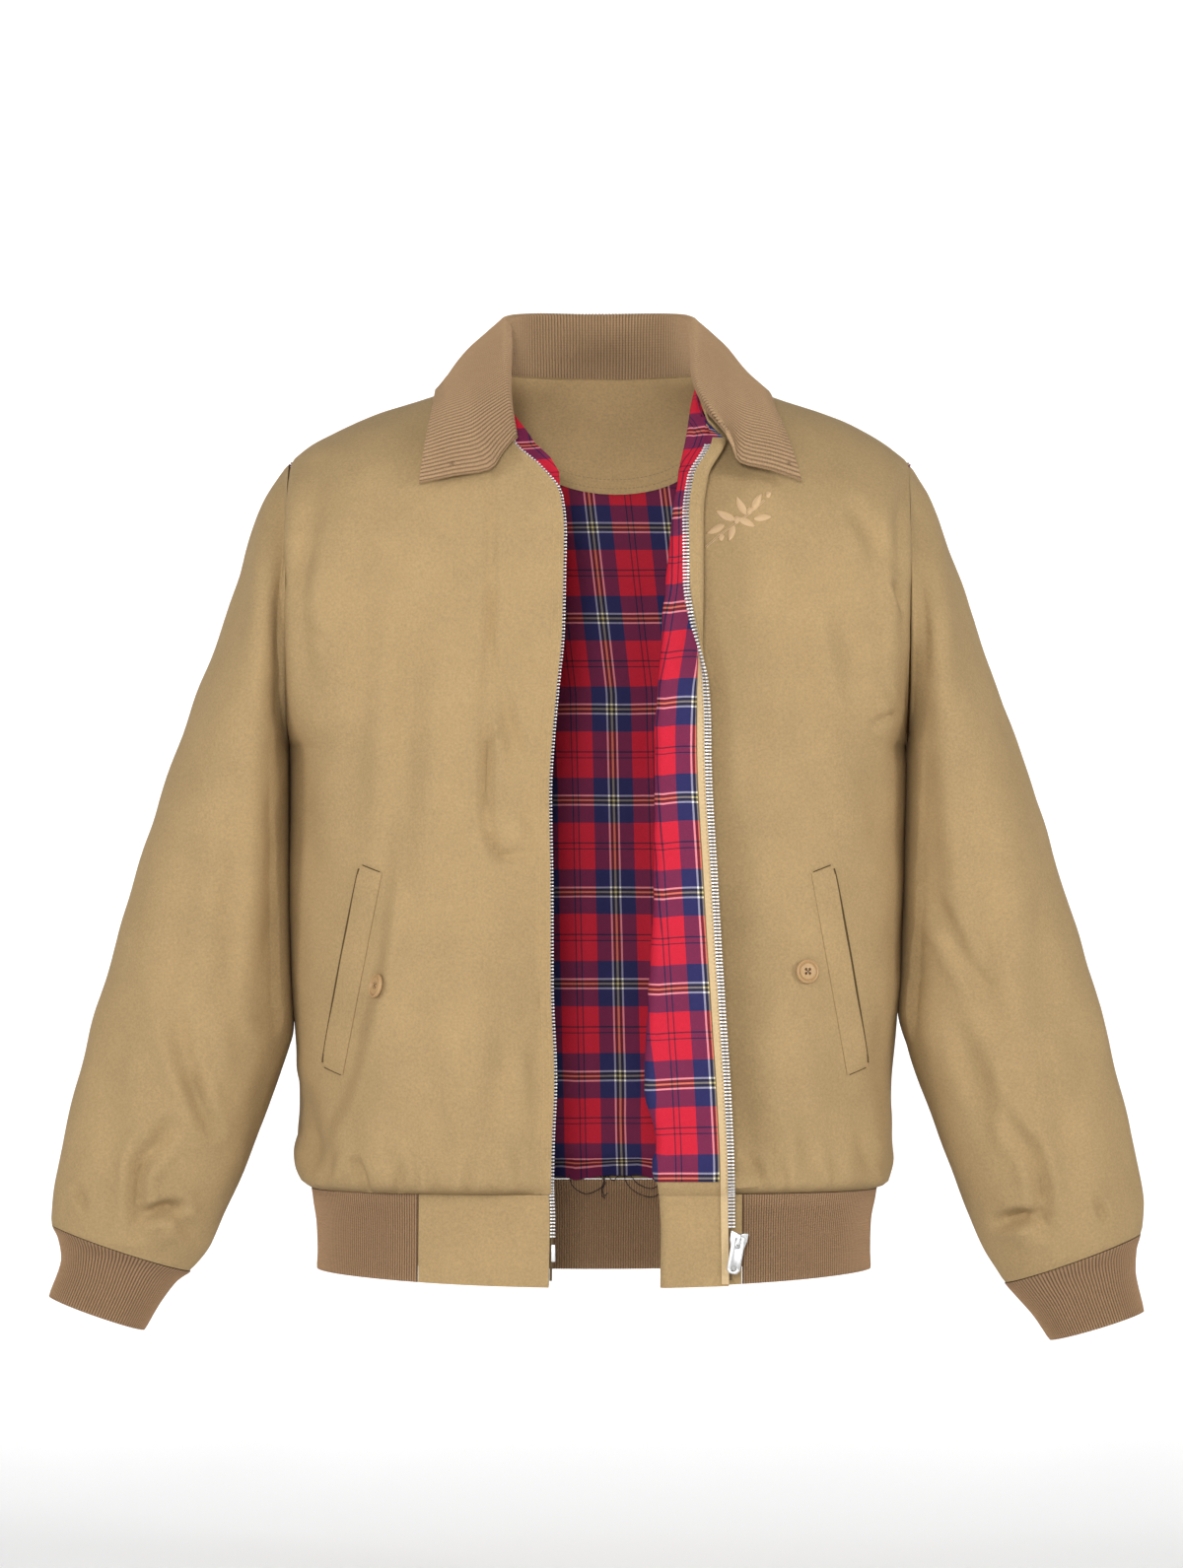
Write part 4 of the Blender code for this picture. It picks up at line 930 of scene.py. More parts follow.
def outward_template(shape: Template) -> Template:
    """The same shape with every face turned outwards."""
    mesh = bpy.data.meshes.new("template")
    mesh.from_pydata([tuple(p) for p in shape.points], [], [list(map(int, f)) for f in shape.faces])
    turn_outwards(mesh)
    faces = np.array([list(p.vertices) for p in mesh.polygons])
    bpy.data.meshes.remove(mesh)
    return Template(shape.points, faces)


@dataclass(frozen=True)
class Seam:
    """Row of topstitches in thread."""

    stitch: float = 0.0024
    gap: float = 0.0007
    thread: float = 0.00036

    def shape(self) -> Template:
        """One stitch, its ends dipping into the cloth."""
        h, s, t = self.thread, self.stitch / 2, self.thread
        bar = lathe_box([(-s, h * 0.5, t * 0.6), (0.0, h * 1.1, t), (s, h * 0.5, t * 0.6)])
        dip = bar.points.copy()
        dip[:, 1] -= h * 0.9 * (np.abs(dip[:, 0]) / s) ** 3
        return outward_template(Template(dip, bar.faces))

    def sew(self, name: str, line: Array, ways: Array) -> bpy.types.Object:
        """Stitches along a line on a cloth's face.

        Args:
            name: Name of the piece.
            line: Points of the line.
            ways: Outward direction of the cloth at each point.

        Returns:
            All the stitches as one piece.
        """
        lengths = run_lengths(line)
        count = max(1, int(lengths[-1] / (self.stitch + self.gap)))
        at = (np.arange(count) + 0.5) * lengths[-1] / count
        centre, ahead, behind = (read_along(at + shift, lengths, line) for shift in (0.0, 0.0005, -0.0005))
        up = unit(read_along(at, lengths, ways))
        along = unit(ahead - behind)
        across = unit(np.cross(along, up))
        up = np.cross(across, along)
        frames = np.stack([along, up, across], axis=2)
        return self.shape().copies(name, centre + up * self.thread * 0.15, frames)


def tube(path: Array, radius: float, sides: int = 6, closed: bool = False) -> tuple[Array, Array]:
    """Points and faces of a round thread along a path."""
    count = len(path)
    if closed:
        tangent = unit(np.roll(path, -1, axis=0) - np.roll(path, 1, axis=0))
    else:
        tangent = unit(np.gradient(path, axis=0))
    up = np.array([0.13, -0.97, 0.21])
    across = unit(np.cross(tangent, up))
    lift = np.cross(across, tangent)
    angles = np.arange(sides) * 2 * math.pi / sides
    ring = np.cos(angles)[None, :, None] * across[:, None] + np.sin(angles)[None, :, None] * lift[:, None]
    points = (path[:, None] + radius * ring).reshape(-1, 3)
    faces = []
    for i in range(count if closed else count - 1):
        n = (i + 1) % count
        for k in range(sides):
            faces.append([i * sides + k, i * sides + (k + 1) % sides, n * sides + (k + 1) % sides, n * sides + k])
    if not closed:
        for base, turn in ((0, 1), ((count - 1) * sides, -1)):
            ends = [base + k for k in range(sides)][::turn]
            faces.append([ends[0], ends[1], ends[2], ends[3]])
            faces.append([ends[0], ends[3], ends[4], ends[5]])
    return points, np.array(faces)


def joined_tubes(name: str, paths: Sequence[Array], radius: float, closed: bool = False) -> bpy.types.Object:
    """One piece of many round threads, its faces turned outwards."""
    points, faces, start = [], [], 0
    for path in paths:
        p, f = tube(path, radius, closed=closed)
        points.append(p)
        faces.append(f + start)
        start += len(p)
    piece = mesh_piece(name, np.concatenate(points), np.concatenate(faces))
    turn_outwards(piece.data)
    return piece


def sampled(sheet: Sheet, i: float, j: float) -> tuple[Array, Array]:
    """Point and normal of a sheet at a fractional row and column."""
    rows, columns = sheet.points.shape[:2]
    i0, j0 = int(np.clip(i, 0, rows - 2)), int(np.clip(j, 0, columns - 2))
    u, v = i - i0, j - j0
    def mix(grid: Array) -> Array:
        return ((1 - u) * (1 - v) * grid[i0, j0] + (1 - u) * v * grid[i0, j0 + 1]
                + u * (1 - v) * grid[i0 + 1, j0] + u * v * grid[i0 + 1, j0 + 1])
    return mix(sheet.points), unit(mix(sheet.normals))


@dataclass
class Finder:
    """Finds the row and column of a sheet that lies at a place of the front view."""

    sheet: Sheet
    start: int = 0

    def at(self, x: float, z: float) -> tuple[float, float]:
        """Row and column at x, z of the front view."""
        p = self.sheet.points[:, self.start:]
        j = p.shape[1] // 2
        i = 0.0
        for _ in range(8):
            column = np.array([np.interp(j, np.arange(p.shape[1]), p[k, :, 2]) for k in range(p.shape[0])])
            i = float(np.interp(z, column, np.arange(p.shape[0])))
            i0 = int(min(i, p.shape[0] - 2))
            row = p[i0, :, 0] * (1 - (i - i0)) + p[i0 + 1, :, 0] * (i - i0)
            order = np.argsort(row)
            j = float(np.interp(x, row[order], np.arange(p.shape[1])[order]))
        return i, j + self.start

    def point(self, x: float, z: float) -> tuple[Array, Array]:
        """Point and normal at x, z of the front view."""
        return sampled(self.sheet, *self.at(x, z))

    def on_view(self, u: float, v: float) -> tuple[Array, Array]:
        """Point and normal at a place of the front view's grid."""
        return self.point(*VIEW.place(u, v))


# -------------------------------------------------------------------- finishes
class Graph:
    """Small helper that builds the shader of one finish."""

    def __init__(self, name: str) -> None:
        self.material = bpy.data.materials.new(name)
        self.material.use_nodes = True
        self.tree = self.material.node_tree
        self.shader = self.tree.nodes["Principled BSDF"]

    def add(self, kind: str, **settings: object) -> bpy.types.Node:
        """New node of a kind with its settings."""
        node = self.tree.nodes.new(kind)
        for key, value in settings.items():
            setattr(node, key, value)
        return node

    def feed(self, target: bpy.types.NodeSocket, source: bpy.types.NodeSocket | float) -> None:
        """Link or set an input."""
        if isinstance(source, bpy.types.NodeSocket):
            self.tree.links.new(source, target)
        else:
            target.default_value = source

    def math(self, operation: str, *inputs: bpy.types.NodeSocket | float) -> bpy.types.NodeSocket:
        """Result of an arithmetic node."""
        node = self.add("ShaderNodeMath", operation=operation)
        for k, value in enumerate(inputs):
            self.feed(node.inputs[k], value)
        return node.outputs[0]

    def place(self) -> bpy.types.NodeSocket:
        """Place in space."""
        return self.add("ShaderNodeTexCoord").outputs["Object"]

    def cut(self) -> tuple[bpy.types.NodeSocket, bpy.types.NodeSocket]:
        """Place in the flat cloth, across and along, metres."""
        split = self.add("ShaderNodeSeparateXYZ")
        self.feed(split.inputs[0], self.add("ShaderNodeUVMap", uv_map="cut").outputs[0])
        return split.outputs[0], split.outputs[1]

    def noise(self, scale: float, detail: float = 2.0) -> bpy.types.NodeSocket:
        """Noise over space."""
        node = self.add("ShaderNodeTexNoise")
        self.feed(node.inputs["Vector"], self.place())
        self.feed(node.inputs["Scale"], scale)
        self.feed(node.inputs["Detail"], detail)
        return node.outputs["Fac"]

    def wave(self, value: bpy.types.NodeSocket, pitch: float) -> bpy.types.NodeSocket:
        """Sine of a length, one turn each pitch."""
        return self.math("SINE", self.math("MULTIPLY", value, 2 * math.pi / pitch))

    def ramp(self, value: bpy.types.NodeSocket, stops: Sequence[tuple[float, tuple[float, float, float]]],
             steps: bool = False) -> bpy.types.NodeSocket:
        """Colours looked up along a value from 0 to 1."""
        node = self.add("ShaderNodeValToRGB")
        node.color_ramp.interpolation = "CONSTANT" if steps else "LINEAR"
        elements = node.color_ramp.elements
        elements.remove(elements[1])
        elements[0].position, elements[0].color = stops[0][0], (*stops[0][1], 1.0)
        for place, colour in stops[1:]:
            elements.new(place).color = (*colour, 1.0)
        self.feed(node.inputs[0], value)
        return node.outputs[0]

    def mix(self, share: bpy.types.NodeSocket | float, a: bpy.types.NodeSocket, b: bpy.types.NodeSocket,
            way: str = "MIX") -> bpy.types.NodeSocket:
        """Two colours mixed."""
        node = self.add("ShaderNodeMix", data_type="RGBA", blend_type=way)
        self.feed(node.inputs["Factor"], share)
        self.feed(node.inputs[6], a)
        self.feed(node.inputs[7], b)
        return node.outputs[2]

    def bump(self, *layers: tuple[bpy.types.NodeSocket, float, float]) -> None:
        """Bumps of the surface: each layer is a height, its size in metres and its strength."""
        below = None
        for height, size, strength in layers:
            node = self.add("ShaderNodeBump")
            self.feed(node.inputs["Height"], height)
            self.feed(node.inputs["Distance"], size)
            self.feed(node.inputs["Strength"], strength)
            if below:
                self.feed(node.inputs["Normal"], below)
            below = node.outputs[0]
        self.feed(self.shader.inputs["Normal"], below)


Colour = tuple[float, float, float]


@dataclass(frozen=True)
class Finish:
    """Plain finish of one material."""

    slot: str
    colour: Colour
    roughness: float
    metallic: float = 0.0
    sheen: float = 0.0
    gloss: float = 0.25

    def graph(self) -> Graph:
        """Shader with this finish's own constants."""
        made = Graph(self.slot)
        shader = made.shader.inputs
        shader["Base Color"].default_value = (*self.colour, 1.0)
        shader["Roughness"].default_value = self.roughness
        shader["Metallic"].default_value = self.metallic
        shader["Specular IOR Level"].default_value = self.gloss
        shader["Sheen Weight"].default_value = self.sheen
        shader["Sheen Roughness"].default_value = 0.6
        return made

    def make(self) -> bpy.types.Material:
        """Material of this finish."""
        return self.graph().material

    def dress(self, piece: bpy.types.Object) -> None:
        """Put this finish on a piece."""
        found = MADE.get(self) or self.make()
        MADE[self] = found
        piece.data.materials.clear()
        piece.data.materials.append(found)


MADE: dict[Finish, bpy.types.Material] = {}


def tones(graph: Graph, colour: Colour, spread: float, scale: float) -> bpy.types.NodeSocket:
    """Colour that drifts slightly lighter and darker over space."""
    low = tuple(c * (1 - spread) for c in colour)
    high = tuple(min(1.0, c * (1 + spread)) for c in colour)
    return graph.ramp(graph.noise(scale, 3.0), [(0.3, low), (0.7, high)])


@dataclass(frozen=True)
class Twill(Finish):
    """Cotton twill: fine diagonal lines and a slightly uneven face."""

    pitch: float = 0.0008
    spread: float = 0.05

    def make(self) -> bpy.types.Material:
        """Material of this finish."""
        g = self.graph()
        across, along = g.cut()
        diagonal = g.wave(g.math("ADD", across, along), self.pitch)
        tone = g.mix(0.45, tones(g, self.colour, self.spread * 2.0, 620.0), tones(g, self.colour, self.spread, 26.0))
        g.feed(g.shader.inputs["Base Color"], tone)
        g.bump((g.noise(38.0, 3.0), 0.0020, 0.45), (g.noise(240.0), 0.0005, 0.40), (diagonal, 0.00006, 0.35))
        return g.material


@dataclass(frozen=True)
class RibKnit(Finish):
    """Rib knit: rows of loops across the ribs, a fuzzy face, and painted shade that darkens the colour down into the
    grooves between the ribs.
    """

    row: float = 0.0019
    painted_groove_shade: float = 0.50

    def make(self) -> bpy.types.Material:
        """Material of this finish."""
        g = self.graph()
        _, along = g.cut()
        loops = g.wave(along, self.row)
        # painted shade: the colour darkens from the rib tops to the grooves by the stored rib height
        light = g.add("ShaderNodeAttribute", attribute_name="rib").outputs["Fac"]
        deep = tuple(c * self.painted_groove_shade for c in self.colour)
        base = g.ramp(light, [(0.05, deep), (0.75, self.colour)])
        fuzz = g.noise(1500.0, 2.0)
        fuzzy = g.mix(1.0, base, tones(g, (1, 1, 1), 0.5, 700.0), "MULTIPLY")
        g.feed(g.shader.inputs["Base Color"], g.mix(0.25, base, fuzzy))
        g.bump((loops, 0.00018, 0.5), (fuzz, 0.0003, 0.5), (g.noise(60.0), 0.001, 0.2))
        return g.material


@dataclass(frozen=True)
class Threads:
    """Colours of the checked lining's threads."""

    red: Colour = (0.520, 0.009, 0.030)
    navy: Colour = (0.016, 0.015, 0.085)
    black: Colour = (0.010, 0.008, 0.012)
    white: Colour = (0.880, 0.840, 0.780)
    yellow: Colour = (0.620, 0.520, 0.220)
    maroon: Colour = (0.020, 0.004, 0.020)


@dataclass(frozen=True)
class Sett:
    """Widths of one repeat of the check in one direction, metres."""

    fine: float = 0.0012
    dark: float = 0.0021
    middle: float = 0.0015
    navy: float = 0.0108
    red: float = 0.0276
    line: float = 0.0009
    apart: float = 0.0040

    def repeat(self) -> float:
        """Length of one repeat."""
        return 2 * self.fine + 2 * self.dark + self.middle + 2 * self.navy + self.red

    def stops(self, threads: Threads) -> list[tuple[float, Colour]]:
        """Places of the colours along one repeat, from 0 to 1."""
        side = (self.red - self.apart - self.line) / 2
        inner = self.apart - self.line
        widths = [(self.fine, threads.white), (self.dark, threads.black), (self.middle, threads.yellow),
                  (self.dark, threads.black), (self.fine, threads.white), (self.navy, threads.navy),
                  (side, threads.red), (self.line, threads.maroon), (inner, threads.red),
                  (self.line, threads.maroon), (side, threads.red), (self.navy, threads.navy)]
        place, made = 0.0, []
        for width, colour in widths:
            made.append((place / self.repeat(), colour))
            place += width
        return made


@dataclass(frozen=True)
class Tartan(Finish):
    """Woven red and navy check, laid over the flat cut."""

    across_start: float = 0.0
    along_start: float = 0.0
    slope: float = 0.0
    warp: Sett = Sett()
    weft: Sett = Sett(fine=0.0012, dark=0.0021, middle=0.0015, navy=0.0128, red=0.0347, apart=0.0044)
    threads: Threads = Threads()

    def make(self) -> bpy.types.Material:
        """Material of this finish."""
        g = self.graph()
        across, along = g.cut()
        u = g.math("SUBTRACT", across, g.math("MULTIPLY", along, self.slope))
        u = g.math("DIVIDE", g.math("SUBTRACT", u, self.across_start), self.warp.repeat())
        v = g.math("DIVIDE", g.math("SUBTRACT", along, self.along_start), self.weft.repeat())
        warp = g.ramp(g.math("FRACT", u), self.warp.stops(self.threads), steps=True)
        weft = g.ramp(g.math("FRACT", v), self.weft.stops(self.threads), steps=True)
        diagonal = g.wave(g.math("ADD", across, along), 0.0009)
        share = g.math("ADD", 0.5, g.math("MULTIPLY", diagonal, 0.10))
        root = g.add("ShaderNodeGamma")
        g.feed(root.inputs["Color"], g.mix(1.0, warp, weft, "MULTIPLY"))
        g.feed(root.inputs["Gamma"], 0.5)
        colour = g.mix(0.65, g.mix(share, warp, weft), root.outputs[0])
        g.feed(g.shader.inputs["Base Color"], g.mix(0.10, colour, tones(g, (0.6, 0.6, 0.6), 0.6, 900.0), "OVERLAY"))
        g.bump((g.noise(55.0, 3.0), 0.0012, 0.3), (g.noise(500.0), 0.0003, 0.3))
        return g.material


@dataclass(frozen=True)
class Metal(Finish):
    """Cast and plated metal with fine handling marks."""

    grain: float = 900.0

    def make(self) -> bpy.types.Material:
        """Material of this finish."""
        g = self.graph()
        g.bump((g.noise(self.grain, 3.0), 0.00006, 0.5))
        return g.material


KHAKI = Twill("khaki", (0.366, 0.252, 0.121), 0.90, spread=0.10)
# painted light: the facing's khaki is the same cloth as KHAKI, made lighter so the inside of the back neck looks lit
LIT_FACING_KHAKI = Twill("khaki", (0.540, 0.370, 0.179), 0.90, spread=0.10)
KHAKI_THREAD = Finish("khaki", (0.410, 0.287, 0.142), 0.75)
# both knits carry painted shade in their rib grooves; the band's is deeper
COLLAR_KNIT = RibKnit("tan_knit", (0.405, 0.262, 0.145), 0.95)
BAND_KNIT = RibKnit("brown_knit", (0.345, 0.212, 0.117), 0.95, painted_groove_shade=0.36)
TAPE_WEAVE = Twill("cream_tape", (0.560, 0.410, 0.225), 0.85, pitch=0.0012)
# painted shade: the tape's cord in dark brown, so the gaps between the zip teeth look shadowed
CORD_PAINTED_SHADE = Finish("cream_tape", (0.110, 0.075, 0.040), 0.9)
PLATED = Metal("silver", (0.560, 0.560, 0.560), 0.34, metallic=0.85, gloss=0.5)
SILVER = Metal("silver", (0.800, 0.800, 0.800), 0.30, metallic=0.6, gloss=0.5)
HORN = Finish("horn", (0.430, 0.270, 0.130), 0.35)
LINING_RIGHT = Tartan("tartan", (0.4, 0.02, 0.04), 0.75, across_start=0.0020, along_start=-0.3095)
LINING_LEFT = Tartan("tartan", (0.4, 0.02, 0.04), 0.75, across_start=-0.0039, along_start=-0.3095)
LINING_BACK = Tartan("tartan", (0.4, 0.02, 0.04), 0.75, across_start=-0.0010, along_start=-0.3135, slope=-0.030)
BLACK_THREAD = Finish("tartan", (0.012, 0.010, 0.014), 0.8)
# painted shadow: near-black khaki for the strips that stand in for the shade in the pocket openings
POCKET_PAINTED_SHADOW = Finish("khaki", (0.085, 0.052, 0.022), 0.95)
TACK_THREAD = Finish("tan_knit", (0.230, 0.145, 0.080), 0.8)
BUTTON_THREAD = Finish("horn", (0.110, 0.060, 0.030), 0.8)
MOTIF_THREAD = Finish("cream_tape", (0.600, 0.420, 0.240), 0.45)


# ------------------------------------------------------------- listed creases
# Each row: start u, v, end u, v of the front view's grid, width mm, height mm
def creases(*rows: tuple[float, ...]) -> tuple[Crease, ...]:
    """Creases from rows of numbers."""
    return tuple(Crease(*row) for row in rows)


FOLDS_FRONT_RIGHT = creases(
    (318, 470, 301, 590, 8.0, -3.0, 4), (303, 560, 309, 690, 7.0, -1.8, -3), (334, 470, 328, 570, 7.0, -1.4, 4),
    (496, 455, 498, 660, 3.8, -1.2, 1), (498, 600, 494, 830, 4.4, -1.5, -2), (494, 740, 499, 872, 4.4, -1.5, -3),
    (498, 846, 516, 872, 3.6, -2.2, -3), (504, 868, 538, 869, 4.0, -1.4, 2), (522, 828, 526, 852, 9.0, 1.8, 0),
    (504, 664, 519, 752, 6.0, -1.5, -2), (512, 716, 533, 780, 6.0, -1.7, -3), (536, 670, 546, 681, 3.0, -1.2),
    (545, 842, 549, 852, 2.4, -0.9), (545, 860, 551, 870, 2.4, -0.9), (365, 540, 362, 850, 11.0, -1.3, 4),
    (424, 640, 402, 880, 11.0, -1.9, -5), (452, 700, 440, 900, 14.0, 1.2, 4), (470, 905, 505, 1010, 12.0, -1.1, 6),
    (455, 1010, 470, 1140, 11.0, 1.2, -4), (510, 1040, 498, 1150, 9.0, -1.2, 4), (300, 1112, 334, 1186, 9.0, -2.6, -3),
    (306, 1150, 318, 1190, 6.0, -2.2, 2), (352, 1172, 344, 1196, 5.0, 1.6), (362, 1178, 373, 1206, 3.6, -3.0, 2),
    (384, 1176, 392, 1203, 4.6, 1.2), (408, 1182, 404, 1206, 3.4, -1.6), (438, 1184, 440, 1207, 3.4, -1.2),
    (478, 1180, 474, 1208, 3.6, -1.4), (522, 1160, 527, 1209, 4.6, -1.3), (541, 1060, 546, 1140, 4.6, -1.0),
    (300, 760, 318, 900, 12.0, -1.4, -5), (400, 500, 470, 560, 18.0, -0.9, 6), (309, 640, 330, 652, 3.4, -0.9, 2),
)
FOLDS_FRONT_LEFT = creases(
    (928, 478, 916, 570, 7.0, -2.6, -4), (916, 572, 921, 640, 6.0, -2.2, 2), (922, 640, 917, 760, 7.0, -1.6, 3),
    (870, 520, 893, 566, 7.0, -2.0, 3), (909, 590, 920, 616, 3.0, -2.2, 1), (888, 735, 918, 724, 3.0, -1.5, 2),
    (900, 700, 912, 716, 3.0, -0.9), (846, 606, 866, 700, 8.0, -1.3, 4), (830, 640, 842, 740, 11.0, 1.1, 4),
    (830, 470, 805, 560, 16.0, -1.0, 6), (800, 600, 822, 760, 15.0, -1.0, -7), (772, 660, 765, 820, 10.0, -0.9, 4),
    (766, 1104, 860, 1112, 5.0, -0.8, 4), (790, 900, 772, 1040, 12.0, -1.1, 5), (874, 1160, 886, 1202, 5.0, -1.5, 2),
    (852, 1168, 860, 1200, 5.0, 0.9, 2), (812, 1150, 820, 1196, 5.0, -0.9, 2), (758, 1176, 772, 1200, 3.6, -2.0, 2),
    (790, 1184, 794, 1203, 3.4, -1.4), (826, 1186, 829, 1203, 3.4, -1.3), (892, 1176, 900, 1200, 4.6, -1.5),
    (905, 1020, 900, 1120, 9.0, -1.1, -4), (880, 780, 892, 860, 10.0, -1.2, 4), (770, 1010, 778, 1150, 12.0, 1.0, -4),
)
FOLDS_BACK = creases(
    (330, 470, 345, 640, 12.0, -2.2, 6), (862, 475, 852, 650, 12.0, -2.0, -6), (430, 480, 470, 620, 20.0, -1.3, 8),
    (770, 480, 735, 640, 20.0, -1.3, -8), (470, 700, 520, 900, 18.0, -1.5, 10), (700, 720, 665, 930, 18.0, 1.3, -9),
    (590, 420, 600, 560, 22.0, -1.0, 6), (560, 940, 575, 1120, 14.0, -1.5, 5), (640, 960, 628, 1110, 12.0, 1.2, -5),
    (390, 860, 372, 1060, 16.0, -1.6, 6), (805, 880, 828, 1070, 16.0, -1.5, -6), (330, 980, 322, 1120, 9.0, -1.6),
    (880, 960, 886, 1110, 9.0, 1.4), (345, 1130, 348, 1198, 6.0, -2.0), (376, 1145, 378, 1200, 5.0, 1.6),
    (408, 1120, 412, 1201, 6.5, -2.2), (446, 1150, 447, 1203, 5.0, -1.7), (483, 1130, 480, 1204, 6.0, 1.6),
    (524, 1150, 523, 1205, 5.0, -2.0), (566, 1135, 568, 1206, 6.0, -1.8), (610, 1155, 609, 1206, 5.0, 1.5),
    (652, 1130, 655, 1206, 6.0, -2.1), (696, 1150, 694, 1205, 5.0, -1.6), (738, 1135, 741, 1204, 6.0, 1.7),
    (780, 1150, 783, 1202, 5.0, -1.9), (822, 1128, 826, 1201, 6.0, -2.0), (860, 1145, 864, 1200, 5.0, 1.5),
)
FOLDS_SLEEVE_RIGHT = creases(
    (288, 478, 284, 720, 9.0, -3.0, -3), (283, 700, 262, 1030, 9.0, -2.0, 4), (176, 1036, 196, 1112, 6.4, -2.6, -3),
    (193, 1096, 212, 1150, 5.6, -2.8, -2), (150, 1010, 196, 1160, 9.0, 1.5, -4), (166, 1146, 136, 1190, 6.0, -3.2, 2),
    (138, 1168, 134, 1254, 5.6, -3.8, -2), (141, 1238, 178, 1229, 5.0, -5.0, 2), (160, 1254, 174, 1258, 8.0, 1.9),
    (176, 1238, 190, 1262, 4.6, -1.8, 2), (72, 1212, 80, 1229, 3.4, -1.8), (214, 1040, 226, 1090, 8.0, 1.5, 3),
    (108, 1100, 102, 1216, 11.0, -1.3, 4), (222, 780, 206, 960, 15.0, -1.6, 6), (184, 830, 172, 1000, 11.0, -1.5, 4),
    (226, 520, 214, 700, 20.0, -1.3, 8), (262, 560, 250, 700, 12.0, 1.4, 4), (240, 860, 232, 1010, 9.0, -1.6, -3),
    (118, 1000, 108, 1110, 10.0, -1.2, 4), (132, 870, 124, 1000, 14.0, 1.1, 4), (196, 620, 180, 790, 14.0, -1.2, 5),
)
FOLDS_SLEEVE_LEFT = creases(
    (936, 484, 938, 730, 9.0, -3.0, 3), (940, 720, 958, 930, 9.0, -2.0, -4), (948, 914, 976, 966, 6.0, -2.4, 2),
    (970, 956, 999, 1004, 6.0, -2.2, -2), (1022, 1126, 1050, 1176, 6.4, -2.4, -3),
    (1050, 1164, 1064, 1252, 6.0, -3.6, 3),
    (1020, 1244, 1056, 1239, 5.0, -5.0, 2), (1034, 1258, 1048, 1258, 8.0, 1.9, 0),
    (1004, 1060, 1026, 1150, 9.0, 1.5, 3),
    (1119, 1222, 1127, 1242, 3.6, -2.0), (972, 1040, 1008, 1146, 9.0, -2.0, 4), (1078, 1090, 1088, 1200, 10.0, -1.4, 3),
    (984, 760, 1004, 900, 15.0, -1.6, -6), (1030, 830, 1046, 1000, 12.0, 1.3, -4), (972, 520, 990, 720, 20.0, -1.3, -8),
    (950, 560, 962, 700, 12.0, 1.4, -4), (1060, 940, 1076, 1060, 12.0, -1.5, -5), (1098, 1020, 1106, 1120, 9.0, -1.2),
    (986, 940, 1012, 1060, 9.0, -1.6, 4), (1010, 620, 1028, 760, 14.0, -1.2, -4),
)
FOLDS_SLEEVE_RIGHT_BACK = creases(
    (286, 500, 280, 760, 10.0, -2.8, -3), (236, 560, 222, 760, 18.0, -1.5, 7), (210, 800, 190, 1000, 16.0, -1.8, 6),
    (170, 960, 196, 1050, 9.0, -2.4, -4), (228, 980, 222, 1120, 10.0, -2.0, 4), (140, 1050, 128, 1170, 10.0, -1.8, 4),
    (110, 1150, 118, 1240, 8.0, -2.2, 3), (160, 1170, 150, 1262, 7.0, -2.2, 2), (186, 1160, 192, 1262, 6.0, 1.8),
    (88, 1180, 92, 1240, 6.0, -1.7), (136, 1200, 138, 1256, 5.0, 1.5), (212, 1160, 204, 1240, 6.0, -1.6),
)
FOLDS_SLEEVE_LEFT_BACK = creases(
    (940, 500, 944, 760, 10.0, -2.8, 3), (985, 560, 1000, 770, 18.0, -1.5, -7), (1000, 800, 1022, 1000, 16.0, -1.8, -6),
    (1040, 970, 1016, 1056, 9.0, -2.4, 4), (982, 990, 990, 1120, 10.0, -2.0, -4),
    (1066, 1050, 1080, 1170, 10.0, -1.8, -4),
    (1098, 1150, 1090, 1246, 8.0, -2.2, -3), (1050, 1170, 1060, 1262, 7.0, -2.2, -2),
    (1022, 1160, 1018, 1262, 6.0, 1.8),
    (1120, 1180, 1116, 1240, 6.0, -1.7), (1074, 1200, 1072, 1256, 5.0, 1.5), (1000, 1160, 1008, 1240, 6.0, -1.6),
)
FOLDS_LINING_BACK = creases(
    (655, 480, 652, 900, 12.0, -3.0, 8, 0, 0), (600, 560, 606, 1100, 18.0, -2.4, -6, 0, 0),
    (575, 820, 588, 1180, 9.0, -2.0, 4, 0, 0), (634, 900, 640, 1190, 9.0, -2.4, 5, 0, 0),
    (540, 600, 530, 1100, 20.0, -2.5, 6, 0, 0), (700, 520, 712, 1100, 22.0, -2.6, -6, 0, 0),
    (470, 640, 480, 1150, 20.0, -2.4, 6, 0, 0), (760, 620, 752, 1150, 20.0, -2.4, 5, 0, 0),
)


def seam_fade(sheet: Sheet, bottom: float, top: float, last: float, first: float = 0.0) -> Array:
    """Share of a relief that is left near a sheet's seams, from 0 at the seam to 1.

    Args:
        sheet: The cloth.
        bottom, top: Distance over which it fades at the first and last row, 0 for none.
        last, first: The same at the last and first column.

    Returns:
        One number for each point.
    """
    up, over = spans(sheet.points)
    share = np.ones(up.shape)
    for distance, reach in ((up, bottom), (up[-1:] - up, top), (over, first), (over[:, -1:] - over, last)):
        if reach:
            share = share * ease(distance / reach)
    return share


def seam_groove(sheet: Sheet, depth: float, reach: float, sides: str) -> Array:
    """Shallow groove along the named edges: b, t, f, l for bottom, top, first, last."""
    up, over = spans(sheet.points)
    distances = {"b": up, "t": up[-1:] - up, "f": over, "l": over[:, -1:] - over}
    total = np.zeros(up.shape)
    for key in sides:
        total = np.minimum(total, -depth * np.exp(-(distances[key] / reach) ** 2))
    return total


